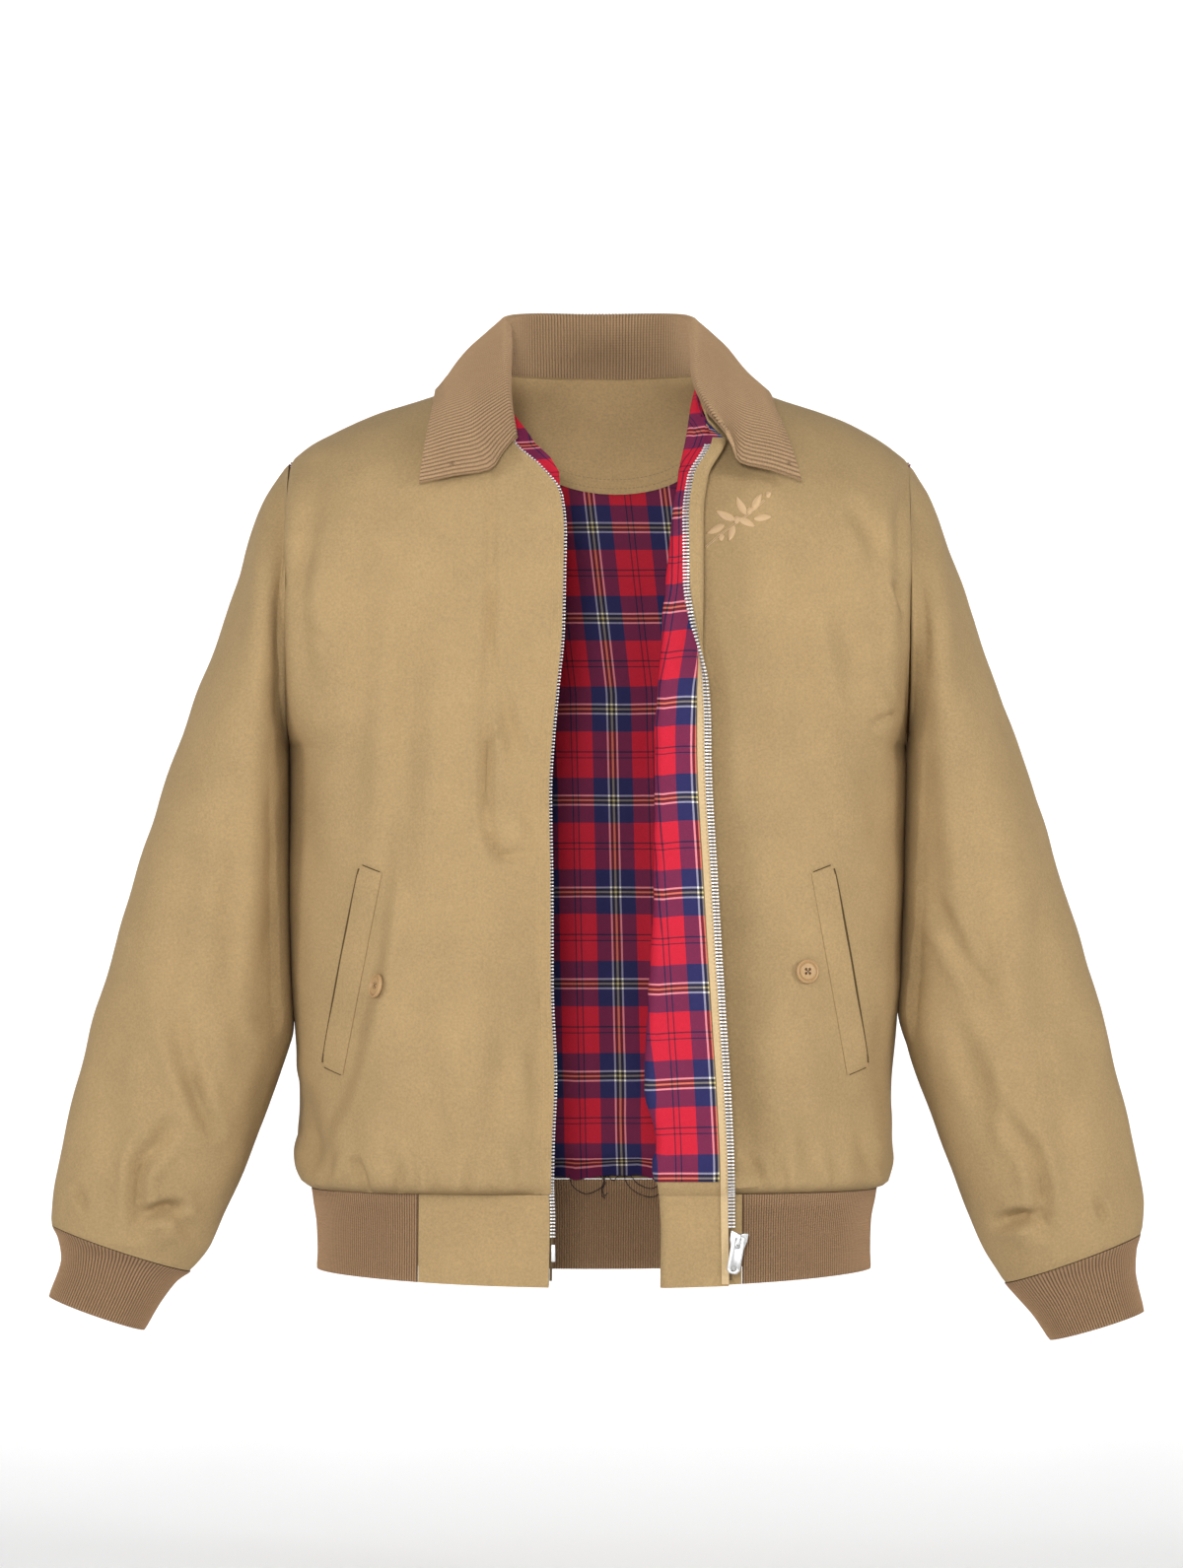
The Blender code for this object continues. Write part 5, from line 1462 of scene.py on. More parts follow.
def hung(obj: bpy.types.Object, sheet: Sheet, finish: Finish, nodes: Sequence[str]) -> bpy.types.Object:
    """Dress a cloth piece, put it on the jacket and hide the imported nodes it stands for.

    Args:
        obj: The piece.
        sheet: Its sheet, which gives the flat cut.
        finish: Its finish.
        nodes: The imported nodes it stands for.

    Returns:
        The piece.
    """
    trimming(obj, finish, nodes)
    cut = sheet.cut
    width = float(cut[..., 0].max() - cut[..., 0].min())
    if sheet.closed:
        width *= cut.shape[1] / (cut.shape[1] - 1)
    width = max(width, NARROWEST_CUT)
    return obj


def trimming(obj: bpy.types.Object, finish: Finish, nodes: Sequence[str] = (),
             body: str = JACKET) -> bpy.types.Object:
    """Dress a piece that isn't cloth and put it on a body."""
    finish.dress(obj)
    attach(obj, body)
    if nodes:
        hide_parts(*nodes)
    return obj


# -------------------------------------------------------------- the body panels
# level z, depth and width of the hollow behind the rolled edge
ROLL_HOLLOW = np.array([
    [-0.5860, 0.0000, 0.0500], [-0.5700, 0.0090, 0.0500], [-0.5400, 0.0160, 0.0480], [-0.4600, 0.0170, 0.0460],
    [-0.3800, 0.0120, 0.0400], [-0.3000, 0.0060, 0.0260], [-0.2000, 0.0034, 0.0180], [-0.1200, 0.0010, 0.0160],
    [-0.0800, 0.0000, 0.0150],
])


def hollows(relief: Array, reach: int = 3) -> Array:
    """Lowest relief near each point, evened out: how a lining hangs clear of the folds."""
    low = relief
    for axis in (0, 1):
        padded = np.pad(low, [(reach, reach) if a == axis else (0, 0) for a in (0, 1)], mode="edge")
        taken = [np.take(padded, range(k, k + relief.shape[axis]), axis=axis) for k in range(2 * reach + 1)]
        low = np.min(taken, axis=0)
    for axis in (0, 1):
        padded = np.pad(low, [(1, 1) if a == axis else (0, 0) for a in (0, 1)], mode="edge")
        low = np.mean([np.take(padded, range(k, k + relief.shape[axis]), axis=axis) for k in range(3)], axis=0)
    return np.minimum(low, relief)


@dataclass
class Bodice:
    """Both fronts and the back, in twill.

    `full` is how far the cloth stands out above the hem seam, `full_rise` and
    `full_reach` how high it starts and ends.
    """

    gap: float = 0.0001
    full: float = 0.0052
    full_rise: float = 0.0105
    full_reach: float = 0.046
    front: dict[Side, Sheet] = field(default_factory=dict)
    bare: dict[Side, Sheet] = field(default_factory=dict)
    back: Sheet | None = None
    back_bare: Sheet | None = None

    def settle(self) -> None:
        """Work out the creased sheets of the three panels."""
        for side, plan in PLANS.items():
            sheet = front_sheet(plan).on(side).leaned()
            relief = self.front_relief(side, sheet)
            self.bare[side] = sheet.pressed(hollows(relief))
            self.front[side] = sheet.pressed(relief)
        sheet = back_sheet().leaned()
        relief = self.back_relief(sheet)
        self.back, self.back_bare = sheet.pressed(relief), sheet.pressed(hollows(relief))

    def front_relief(self, side: Side, sheet: Sheet) -> Array:
        """Heights of a front's folds: none on its edge strip, less towards its seams."""
        x, y, z = np.moveaxis(sheet.points, -1, 0)
        rows = FOLDS_FRONT_RIGHT if side is Side.RIGHT else FOLDS_FRONT_LEFT
        added = PLANS[side].added
        total = creased(rows, x, z) + Slack(0.0007, 0.070, 0.3 + side.value).relief(x, y, z)
        panel = sheet.part(slice(0, None), slice(added, None))
        reach = 0.004 if side is Side.RIGHT else 0.014
        share = np.zeros(x.shape)
        share[:, added:] = seam_fade(panel, 0.005, 0.012, 0.006, reach)
        total *= share
        groove = np.zeros(x.shape)
        groove[:, added:] = seam_groove(panel, 0.0007, 0.0024, "btl") + self.blouse(panel, reach + 0.012, 0.004)
        if side is Side.RIGHT:
            groove[:, added:] += seam_groove(panel, 0.0005, 0.0020, "f")
            return total + groove
        groove[:, added:] += self.behind_roll(sheet, panel)
        return total + groove

    @staticmethod
    def behind_roll(sheet: Sheet, panel: Sheet) -> Array:
        """Hollow of the left front where its rolled edge stands off it."""
        x, z = panel.points[..., 0], panel.points[..., 2]
        zip_x, roll_x = sheet.points[:, :1, 0], panel.points[:, :1, 0]
        depth, width = (smooth_lookup_many(ROLL_HOLLOW, z[:, 0], column) for column in (1, 2))
        inner = ease((x - roll_x - 0.004) / np.maximum(zip_x - roll_x - 0.004, 0.004))
        outer = 1 - ease((x - zip_x) / width)
        return -depth * np.where(x < zip_x, inner, outer)

    def blouse(self, panel: Sheet, first: float, last: float) -> Array:
        """Fullness of the cloth just above the hem seam, unevenly gathered."""
        up, _ = spans(panel.points)
        x = panel.points[..., 0]
        uneven = 1 + 0.16 * np.sin(x * 190.0 + 0.8) + 0.14 * np.sin(x * 311.0 + 2.0) + 0.10 * np.sin(x * 97.0)
        full = self.full * ease(up / self.full_rise) * np.exp(-(up / self.full_reach) ** 2) * uneven
        return full * seam_fade(panel, 0.0, 0.0, last, first)

    def back_relief(self, sheet: Sheet) -> Array:
        """Heights of the back's folds."""
        x, y, z = np.moveaxis(sheet.points, -1, 0)
        total = creased(FOLDS_BACK, x, z, BACK_STEP) + Slack(0.0009, 0.085, 2.0).relief(x, y, z)
        total = total * seam_fade(sheet, 0.005, 0.014, 0.006, 0.006)
        return total + seam_groove(sheet, 0.0006, 0.0022, "btfl") + self.blouse(sheet, 0.004, 0.004)

    def build(self) -> list[bpy.types.Object]:
        """Shell panels as pieces."""
        made = []
        for side in Side:
            sheet = self.front[side].drawn_in(top=self.gap, last=self.gap, first=-BODY.over_teeth[side.word])
            piece = sheet.wall("shell_front_" + side.word, SHELL)
            made.append(hung(piece, sheet, KHAKI, ["front_" + side.word]))
        sheet = self.back.drawn_in(top=self.gap, first=self.gap, last=self.gap)
        made.append(hung(sheet.wall("shell_back", SHELL), sheet, KHAKI, ["back"]))
        for side in Side:
            made.append(self.allowance("front_" + side.word, self.front[side], -1, -3))
            first = side.value * self.back.points[0, 0, 0] > 0
            made.append(self.allowance("back_" + side.word, self.back, 0 if first else -1, 2 if first else -3))
        return made

    @staticmethod
    def allowance(name: str, panel: Sheet, edge: int, inner: int) -> bpy.types.Object:
        """Seam allowance inside a panel's armhole edge."""
        rows = [i for i in range(BODY.levels) if panel.points[i, edge, 2] > ARMHOLE_FREE]
        line, ways = panel.points[rows, edge], panel.normals[rows, edge]
        out = unit(line - panel.points[rows, inner])
        under = line - ways * (SHELL + 0.0003)
        lines = [under - out * 0.0040, under, under + out * 0.0018 - ways * 0.0003]
        return trimming(strip_wall("allowance_" + name, lines, ways, 0.0006), KHAKI)

    def stitch(self) -> list[bpy.types.Object]:
        """Topstitching along both zip edges."""
        made = []
        for side in Side:
            sheet = self.front[side]
            rows = slice(1, BODY.zip_rows - 1)
            for number, share in enumerate((0.16, 0.92)):
                column = share * BODY.lip_steps
                line = between(sheet.points[rows].swapaxes(0, 1), column)
                ways = unit(between(sheet.normals[rows].swapaxes(0, 1), column))
                if side is Side.LEFT and number == 0:
                    inner = line - ways * (SHELL + LAYER + TAPE)
                    made.append(trimming(Seam().sew("stitches_tape_left", inner, -ways), KHAKI_THREAD))
                piece = Seam().sew(f"stitches_{side.word}_{number}", line, ways)
                made.append(trimming(piece, KHAKI_THREAD))
        return made


# loose threads, knot by knot: place across in metres, height over the lining's edge in millimetres
STRANDS = (
    ((-0.0220, 1.5), (-0.0190, -7.0), (-0.0100, -12.5), (-0.0010, -10.0), (0.0035, -6.0), (0.0042, 1.0)),
    ((0.0010, 1.0), (0.0052, -4.0), (0.0030, -9.0), (0.0044, -14.0), (0.0068, -12.0)),
    ((0.0058, 1.0), (0.0036, -5.0), (0.0024, -13.0), (0.0052, -16.0)),
    ((0.0068, 1.0), (0.0110, -2.5), (0.0150, 1.0)),
    ((0.0190, 1.0), (0.0220, -6.0), (0.0290, -12.0), (0.0390, -15.0), (0.0455, -11.5), (0.0440, 1.0)),
    ((0.0240, 1.0), (0.0300, -5.5), (0.0400, -8.5), (0.0470, -3.5), (0.0475, 1.0)),
)


@dataclass
class Linings:
    """Checked lining of both fronts and the back, with the half-moon facing."""

    bodice: Bodice
    step: float = SHELL + LAYER

    def build(self) -> list[bpy.types.Object]:
        """Linings and facing as pieces."""
        made = []
        for side, finish in ((Side.RIGHT, LINING_RIGHT), (Side.LEFT, LINING_LEFT)):
            whole = self.bodice.bare[side].drawn_in(last=0.0003)
            sheet = self.clear_of_armhole(whole.part(slice(3, None), slice(BODY.lip_steps, None)), (-2, -1))
            if side is Side.LEFT:
                sheet.cut[..., 0] -= sheet.cut[:, :1, 0].copy()
            below = self.slackened(sheet.below(self.step), side)
            if side is Side.RIGHT:
                below = self.peeking(below)
            piece = below.thinned().wall("lining_front_" + side.word, LINING)
            made.append(hung(piece, sheet, finish, ["lining_" + side.word]))
        below = self.back(made)
        made.extend(self.facing(self.bodice.back_bare))
        made.append(self.loops(below))
        return made

    def back(self, made: list[bpy.types.Object]) -> Sheet:
        """Add the back lining to the pieces; its sheet, with its soft folds."""
        whole = self.bodice.back_bare.drawn_in(first=0.0003, last=0.0003).part(slice(0, -2), slice(0, None))
        sheet = self.clear_of_armhole(whole, (0, 1, -2, -1))
        x, y, z = np.moveaxis(sheet.points, -1, 0)
        sheet.cut[..., 0] += 0.09 * np.maximum(0.0, z + 0.23)
        inward = np.minimum(0.0, creased(FOLDS_LINING_BACK, x, z, BACK_STEP)
                            - 0.0008 + Slack(0.0010, 0.060, 1.1).relief(x, y, z))
        inward = inward * seam_fade(sheet, 0.0, 0.090, 0.03, 0.03)
        inward = np.maximum(inward, -0.0003 - 0.08 * np.maximum(0.0, -0.088 - z))
        inward -= 0.0026 * ease((-0.578 - z) / 0.014)
        below = sheet.below(self.step).pressed(inward)
        rim = self.raw_edge(below)
        made.append(hung(rim.thinned().wall("lining_back_check", LINING), sheet, LINING_BACK, ["lining_back"]))
        return below

    @staticmethod
    def clear_of_armhole(sheet: Sheet, cells: tuple[int, ...]) -> Sheet:
        """Lining that stops short of the armhole seam, at the named columns of cells."""
        rows, columns = sheet.points.shape[:2]
        mask = np.ones((rows - 1, columns - 1), bool) if sheet.mask is None else sheet.mask.copy()
        for column in cells:
            mask[:, column] &= sheet.points[:-1, -1 if column < 0 else 0, 2] < ARMHOLE_FREE
            mask[-4:, slice(-5, None) if column < 0 else slice(0, 5)] = False
        return replace(sheet, mask=mask)

    def slackened(self, sheet: Sheet, side: Side) -> Sheet:
        """Front lining with small soft folds of its own, always away from the shell."""
        x, z = sheet.points[..., 0], sheet.points[..., 2]
        k = 2 * math.pi / 0.052
        wave = np.sin(k * z + 1.2 * side.value) * np.sin(0.37 * k * z + 0.5) + 0.5 * np.sin(1.9 * k * (z + 0.4 * x))
        inward = -0.0005 * (1.2 + wave)
        return sheet.pressed(inward * seam_fade(sheet, 0.01, 0.02, 0.02, 0.006))

    @staticmethod
    def peeking(sheet: Sheet) -> Sheet:
        """Right front lining, which shows past the zip below the collar's end."""
        points, cut = sheet.points.copy(), sheet.cut.copy()
        share = ease(1 - np.arange(points.shape[1]) / 12.0)
        for i, z in enumerate(points[:, 0, 2]):
            reach = float(np.interp(z, [-0.090, -0.078, -0.062, -0.048, -0.032, -0.020],
                                    [0.0, 0.0060, 0.0135, 0.0130, 0.0050, 0.0]))
            reach += (BODY.lip + BODY.teeth_wide) * min(1.0, reach / 0.004, -z / 0.05)
            points[i, :, 0] += reach * share
            cut[i, :, 0] -= reach * share
            points[i, :, 1] += 0.0052 * share * min(1.0, reach / 0.006)
        return replace(sheet, points=points, cut=cut)

    @staticmethod
    def raw_edge(sheet: Sheet) -> Sheet:
        """Back lining with its lower edge slightly wavy."""
        points = sheet.points.copy()
        x = points[0, :, 0]
        wave = 0.0018 * np.sin(x * 95.0) + 0.0012 * np.sin(x * 211.0 + 1.0)
        for row in range(5):
            points[row, :, 2] += (wave + 0.0004) * (1 - row / 5)
        return replace(sheet, points=points)

    @staticmethod
    def facing(shell: Sheet) -> list[bpy.types.Object]:
        """Half-moon facing inside the back neck, edge-stitched, in a lighter copy of the khaki that paints light on it.
        """
        depth = SHELL + LAYER + LINING + 0.0011
        top = shell.points[-1, :, 0]
        places = [j for j in range(shell.points.shape[1]) if abs(top[j]) < 0.1450]
        rows, steps = np.arange(shell.points.shape[0]), 26
        found = []
        for j in places:
            levels = shell.points[:, j, 2]
            across = float(np.interp(-0.078, levels, shell.points[:, j, 0]))
            low = min(-0.0814 + 4.2 * (across - 0.013) ** 2, -0.0560)
            at = np.linspace(float(np.interp(low, levels, rows)), rows[-1] - 0.10, steps)
            found.append([read_along(at, rows, grid[:, j]) for grid in (shell.points, shell.normals, shell.cut)])
        points, ways, cut = (np.array(columns).transpose(1, 0, 2) for columns in zip(*found))
        sheet = Sheet(points, unit(ways), cut)
        near = np.linspace(0, 1, steps)[:, None, None] ** 8
        laid = replace(sheet, points=points - sheet.normals * (depth * (1 - near) + (SHELL + 0.0002) * near))
        made = [hung(laid.wall("facing_back_neck", SHELL), sheet, LIT_FACING_KHAKI, ["back_neck_facing"])]
        for number, row in enumerate((1.3, 3.4)):
            ways_in = -unit(between(laid.normals, row))
            line = between(laid.points, row) + ways_in * SHELL
            made.append(trimming(Seam().sew(f"stitches_facing_{number}", line, ways_in), KHAKI_THREAD))
        return made

    @staticmethod
    def loops(lining: Sheet) -> bpy.types.Object:
        """Loose black overlock threads below the back lining's edge."""
        row, ways = lining.points[0], lining.normals[0]
        paths = []
        for strand in STRANDS:
            knots = []
            for x, drop in strand:
                j = int(np.argmin(np.abs(row[:, 0] - x)))
                base = row[j] - ways[j] * (LINING + 0.0012)
                knots.append([x, base[1] - 0.0010, base[2] + drop * 0.001])
            paths.append(dense(knots, 40))
        return trimming(joined_tubes("threads_black", paths, 0.00030), BLACK_THREAD)


# --------------------------------------------------------------- ribbed pieces
@dataclass(frozen=True)
class Rib:
    """One-by-one rib: four columns of the grid to each rib."""

    pitch: float
    height: float

    def count(self, length: float) -> int:
        """Ribs along a length."""
        return max(4, round(length / self.pitch))

    def raise_ribs(self, sheet: Sheet, fade: Array | float = 1.0) -> tuple[Sheet, Array]:
        """The sheet with its ribs raised, and how high each column is from 0 to 1."""
        profile = np.array([1.0, 0.25, -1.0, 0.25])
        columns = sheet.points.shape[1]
        wave = profile[np.arange(columns) % 4]
        heights = self.height * wave[None, :] * fade * np.ones(sheet.points.shape[:2])
        moved = sheet.points + sheet.normals * heights[..., None]
        light = np.broadcast_to((wave + 1) / 2, sheet.points.shape[:2])
        return replace(sheet, points=moved), light

    @staticmethod
    def mark(piece: bpy.types.Object, light: Array) -> None:
        """Store the ribs' height on a wall made from the whole sheet; the knit's finish paints shade in the grooves
        from it.
        """
        layer = piece.data.attributes.new(name="rib", type="FLOAT", domain="POINT")
        layer.data.foreach_set("value", np.tile(light.ravel(), 2).astype(np.float32))


def respaced(row: Array, count: int, closed: bool = False) -> Array:
    """Row of points spaced evenly along its own length."""
    line = np.concatenate([row, row[:1]]) if closed else row
    lengths = run_lengths(line)
    made = read_along(np.linspace(0, lengths[-1], count + 1 if closed else count), lengths, line)
    return made[:-1] if closed else made


@dataclass
class HemBand:
    """Ribbed hem with a woven tab at each front end."""

    rib: Rib = Rib(0.00226, 0.00042)
    tabs: dict[Side, Sheet] = field(default_factory=dict)

    def rib_row(self, z: float) -> Array:
        """Hem rib at one level, from the right tab round the back to the left tab."""
        half = smooth_lookup(TORSO, z, 1)
        right = mirrored(part_row(z, BODY.tab_right, half, 60, 2))
        back = part_row(z, 0.0, half, 140, 3)
        left = part_row(z, BODY.tab_left, half, 60, 2)[::-1]
        row = np.concatenate([right[:-1], mirrored(back)[::-1], back[1:], left[1:]])
        return respaced(row, 4 * self.rib.count(0.99) + 1)

    def tab_row(self, side: Side, z: float) -> Array:
        """Hem tab at one level, from the zip to the rib, on the +X side."""
        end = BODY.tab_right if side is Side.RIGHT else BODY.tab_left
        inner = part_row(z, PLANS[side].start(z), end, 26, 2)
        return np.concatenate([PLANS[side].strip(inner[0], z)[::-1], inner])

    def settle(self) -> None:
        """Work out the tabs' sheets, which carry the lower end of the zip."""
        for side in Side:
            points = band_points(lambda z: self.tab_row(side, z), 13)
            normals = level(edge_normals(points, PLANS[side].added), -1)
            sheet = Sheet(points, normals, Sheet.flat(points, PLANS[side].added))
            self.tabs[side] = sheet.on(side).leaned()

    def build(self) -> list[bpy.types.Object]:
        """Band and tabs as pieces."""
        points = band_points(self.rib_row, 11)
        outward = points * np.array([1.0, 1.0, 0.0])
        base = Sheet(points, level(grid_normals(points, outward), -1), Sheet.flat(points, 0)).leaned()
        x, y, z = np.moveaxis(base.points, -1, 0)
        soft = Slack(0.0006, 0.075, 0.9).relief(x, y, z) * seam_fade(base, 0.0, 0.02, 0.02, 0.02)
        pressed = base.pressed(soft).drawn_in(first=SEAM, last=SEAM)
        rows = points.shape[0]
        fade = np.ones((rows, 1))
        fade[-1], fade[-2], fade[0] = 0.25, 0.7, 0.45
        ribbed, light = self.rib.raise_ribs(pressed, fade)
        piece = ribbed.wall("band_hem", KNIT)
        self.rib.mark(piece, light)
        made = [hung(piece, base, BAND_KNIT, ["hem_rib"])]
        for side in Side:
            tab = self.tabs[side].drawn_in(last=SEAM)
            piece = tab.wall("tab_hem_" + side.word, SHELL)
            made.append(hung(piece, tab, KHAKI, ["hem_tab_" + side.word]))
        return made


# ------------------------------------------------------------------------- zip
@dataclass(frozen=True)
class Tooth:
    """One cast tooth, clamped on the tape's cord."""

    pitch: float = 0.0025
    tall: float = 0.0014
    thick: float = 0.0024
    long: float = 0.0050

    def shape(self) -> Template:
        """The tooth, x pointing away from the tape."""
        h, w, s = self.thick / 2, self.tall / 2, self.long
        return outward_template(lathe_box([
            (0.0, h * 0.95, w * 0.9), (s * 0.10, h, w), (s * 0.38, h, w), (s * 0.50, h * 0.72, w * 0.74),
            (s * 0.64, h * 0.72, w * 0.74), (s * 0.74, h * 0.9, w), (s * 0.92, h * 0.9, w), (s, h * 0.6, w * 0.6)]))


@dataclass
class ZipFastening:
    """Open-ended metal zip: tapes, teeth, slider with its hinged pull, box and pin."""

    bodice: Bodice
    band: HemBand
    teeth_of: dict[Side, Tooth] = field(
        default_factory=lambda: {Side.RIGHT: Tooth(long=0.0038), Side.LEFT: Tooth()})
    rows_below: dict[Side, float] = field(default_factory=lambda: {Side.RIGHT: -0.6300, Side.LEFT: -0.6190})
    tilt: float = math.radians(10.0)
    top: float = -0.6206
    size: tuple[float, float, float] = (0.0125, 0.0060, 0.0150)
    foot: float = 0.0078
    box: tuple[float, float, float] = (0.0066, 0.0046, 0.0120)
    pin: tuple[float, float, float] = (0.0030, 0.0028, 0.0125)
    apart: float = 0.0003
    teeth_start: float = 0.0016
    teeth_end: float = 0.0035
    cord_radius: float = 0.00095
    hinge_drop: float = 0.0035
    plate: float = 0.0014
    sunk: float = 0.0008

    def strip(self, side: Side) -> Sheet:
        """Edge strip of a front and its tab, lowest row first."""
        tab, front = self.band.tabs[side], self.bodice.front[side]
        stop = BODY.lip_steps + 1
        rows = slice(0, BODY.zip_rows)
        points = np.concatenate([tab.points[:-1, :stop], front.points[rows, :stop]])
        ways = np.concatenate([tab.normals[:-1, :stop], front.normals[rows, :stop]])
        return Sheet(points, ways, Sheet.flat(points, 0))

    def build(self) -> list[bpy.types.Object]:
        """The whole zip as pieces."""
        made = []
        for side in Side:
            strip = self.strip(side)
            made.extend(self.tape(side, strip))
            made.append(self.teeth(side, strip))
        made.extend(self.slider(self.strip(Side.LEFT)))
        made.append(self.pin_piece(self.strip(Side.RIGHT)))
        return made

    def tape(self, side: Side, strip: Sheet) -> list[bpy.types.Object]:
        """Woven tape with the cord that the teeth clamp; the cord is dark brown, painted shade in the gaps between the
        teeth.
        """
        inner = SHELL + LAYER
        laid = strip.drawn_in(last=2 * SEAM, bottom=0.0015, top=0.0015).below(inner)
        piece = laid.wall("tape_" + side.word, TAPE)
        core, out, _ = self.ends(strip)
        line = core[1:-1] + out[1:-1] * 0.0012
        bead = trimming(joined_tubes("painted_shade_cord_" + side.word, [line], self.cord_radius), CORD_PAINTED_SHADE)
        return [hung(piece, laid, TAPE_WEAVE, ["zip_tape_" + side.word]), bead]

    def ends(self, strip: Sheet) -> tuple[Array, Array, Array]:
        """Middle of the tape at its outer edge, the way out of it and its normals."""
        core = strip.points - strip.normals * (SHELL + LAYER + TAPE / 2)
        out = unit(core[:, 0] - core[:, 1])
        square = unit(strip.normals[:, 0] - out * np.sum(strip.normals[:, 0] * out, axis=-1, keepdims=True))
        return core[:, 0], out, square

    def teeth(self, side: Side, strip: Sheet) -> bpy.types.Object:
        """Row of cast teeth, from above the hem's foot to the neck."""
        core, out, square = self.ends(strip)
        keep = core[:, 2] >= self.rows_below[side]
        core, out, square = core[keep], out[keep], square[keep]
        lengths = run_lengths(core)
        tooth = self.teeth_of[side]
        count = int((lengths[-1] - self.teeth_end) / tooth.pitch)
        at = self.teeth_start + np.arange(count) * tooth.pitch
        centres, outs, squares = (read_along(at, lengths, grid) for grid in (core, out, square))
        outs = unit(outs)
        squares = unit(squares - outs * np.sum(squares * outs, axis=-1, keepdims=True))
        frames = np.stack([outs, squares, np.cross(outs, squares)], axis=2)
        centres = centres + outs * 0.0001
        piece = tooth.shape().copies("teeth_" + side.word, centres, frames)
        return trimming(piece, SILVER, ["zip_teeth_" + side.word])

    def turned(self, points: Array) -> Array:
        """Points of the slider's own frame, tilted like the slider."""
        c, s = math.cos(self.tilt), math.sin(self.tilt)
        return points @ np.array([[c, 0, s], [0, 1, 0], [-s, 0, c]]).T

    def end_at(self, strip: Sheet, z: float) -> Array:
        """Outer edge of the tape at one level."""
        core, _, _ = self.ends(strip)
        return read_along(z, core[:, 2], core)

    def slider(self, strip: Sheet) -> list[bpy.types.Object]:
        """Slider with its crown, the hinged pull and the retainer box."""
        wide, thick, tall = self.size
        end = self.end_at(strip, self.top - tall / 2)
        clear = self.apart + tall / 2 * math.sin(self.tilt) - 0.0010
        centre = end + np.array([clear + wide / 2, 0.0, 0.0])
        body = self.slider_body(centre)
        hinge_z, face = tall / 2 - self.hinge_drop, -thick / 2
        pull = self.pull(self.turned(np.array([[0.0, face - 0.00115, hinge_z]]))[0] + centre)
        box_z = self.top - tall - 0.0012 - self.box[2] / 2
        box_end = self.end_at(strip, box_z)
        centre = box_end + np.array([self.apart + self.box[0] / 2, 0.0, 0.0])
        box = bevelled_block("box_retainer", centre, self.box, 0.0008)
        return [trimming(body, PLATED, ["zip_slider"]), trimming(pull, PLATED, ["zip_pull"], "pull"),
                trimming(box, PLATED, ["zip_box"])]

    def slider_body(self, centre: Array) -> bpy.types.Object:
        """Body of two plates with the teeth's channel between them, and its crown."""
        wide, thick, tall = self.size
        outline = [(-wide / 2, tall / 2), (-wide / 2, tall * 0.12), (-self.foot / 2, -tall / 2),
                   (self.foot / 2, -tall / 2), (wide / 2, tall * 0.12), (wide / 2, tall / 2),
                   (wide * 0.16, tall * 0.44), (0.0, tall * 0.30), (-wide * 0.16, tall * 0.44)]
        plates = []
        for low, high in ((-thick / 2, -thick / 2 + self.plate), (thick / 2 - self.plate, thick / 2)):
            plates.append(prism("plate", outline, low, high))
        low, high = -thick / 2 + self.sunk, thick / 2 - self.sunk
        inner = [(-self.foot * 0.16, tall * 0.30), (-self.foot * 0.10, -tall * 0.1), (self.foot * 0.10, -tall * 0.1),
                 (self.foot * 0.16, tall * 0.30)]
        plates.append(prism("post", inner, low, high))
        for turn in (-1, 1):
            rail = [(turn * wide / 2, tall * 0.12), (turn * self.foot / 2, -tall / 2),
                    (turn * (self.foot / 2 - 0.0011), -tall / 2), (turn * (wide / 2 - 0.0012), tall * 0.12)]
            plates.append(prism("rail", rail if turn > 0 else rail[::-1], low, high))
        body = union("slider", [*plates, self.crown()])
        rounded(body, 0.00035)
        place_tilted(body, self.turned, centre)
        return body

    def crown(self) -> bpy.types.Object:
        """Arch on the front plate that holds the pull."""
        _, thick, tall = self.size
        top, face = tall / 2 - self.hinge_drop + 0.0028, -thick / 2
        height, bar, long, wide = 0.0036, 0.0013, 0.0090, 0.0022
        y0, y1 = face + 0.0006, face - height
        outline = [(y0, top), (y1 + 0.0008, top), (y1, top - 0.0010), (y1, top - long + 0.0010),
                   (y1 + 0.0008, top - long), (y0, top - long), (y0, top - long + bar), (y1 + bar, top - long + bar),
                   (y1 + bar, top - bar), (y0, top - bar)]
        piece = prism("crown", outline, -wide / 2, wide / 2)
        for vertex in piece.data.vertices:
            x, y, z = vertex.co
            vertex.co = (y, x, z)
        turn_outwards(piece.data)
        return piece

    def pull(self, hinge: Array) -> bpy.types.Object:
        """Pull tab: a tapered plate with a long slot and an end slot, hung on its bar."""
        wide, long, thick, bar = 0.0096, 0.0275, 0.0012, 0.0016
        top = bar / 2
        outline = [(-wide * 0.42, top), (wide * 0.42, top), (wide / 2, top - 0.0012), (wide / 2, top - long + 0.0030),
                   (wide * 0.34, top - long + 0.0006), (wide * 0.2, top - long), (-wide * 0.2, top - long),
                   (-wide * 0.34, top - long + 0.0006), (-wide / 2, top - long + 0.0030), (-wide / 2, top - 0.0012)]
        plate = prism("pull", outline, -thick / 2, thick / 2)
        for low, high, half in ((top - bar - 0.0076, top - bar, 0.0019),
                                (top - long + 0.0018, top - long + 0.0056, 0.0019)):
            hole = prism("hole", slot_outline(low, high, half), -thick, thick)
            difference(plate, hole)
        rounded(plate, 0.00028)
        place_tilted(plate, self.turned, hinge)
        return plate

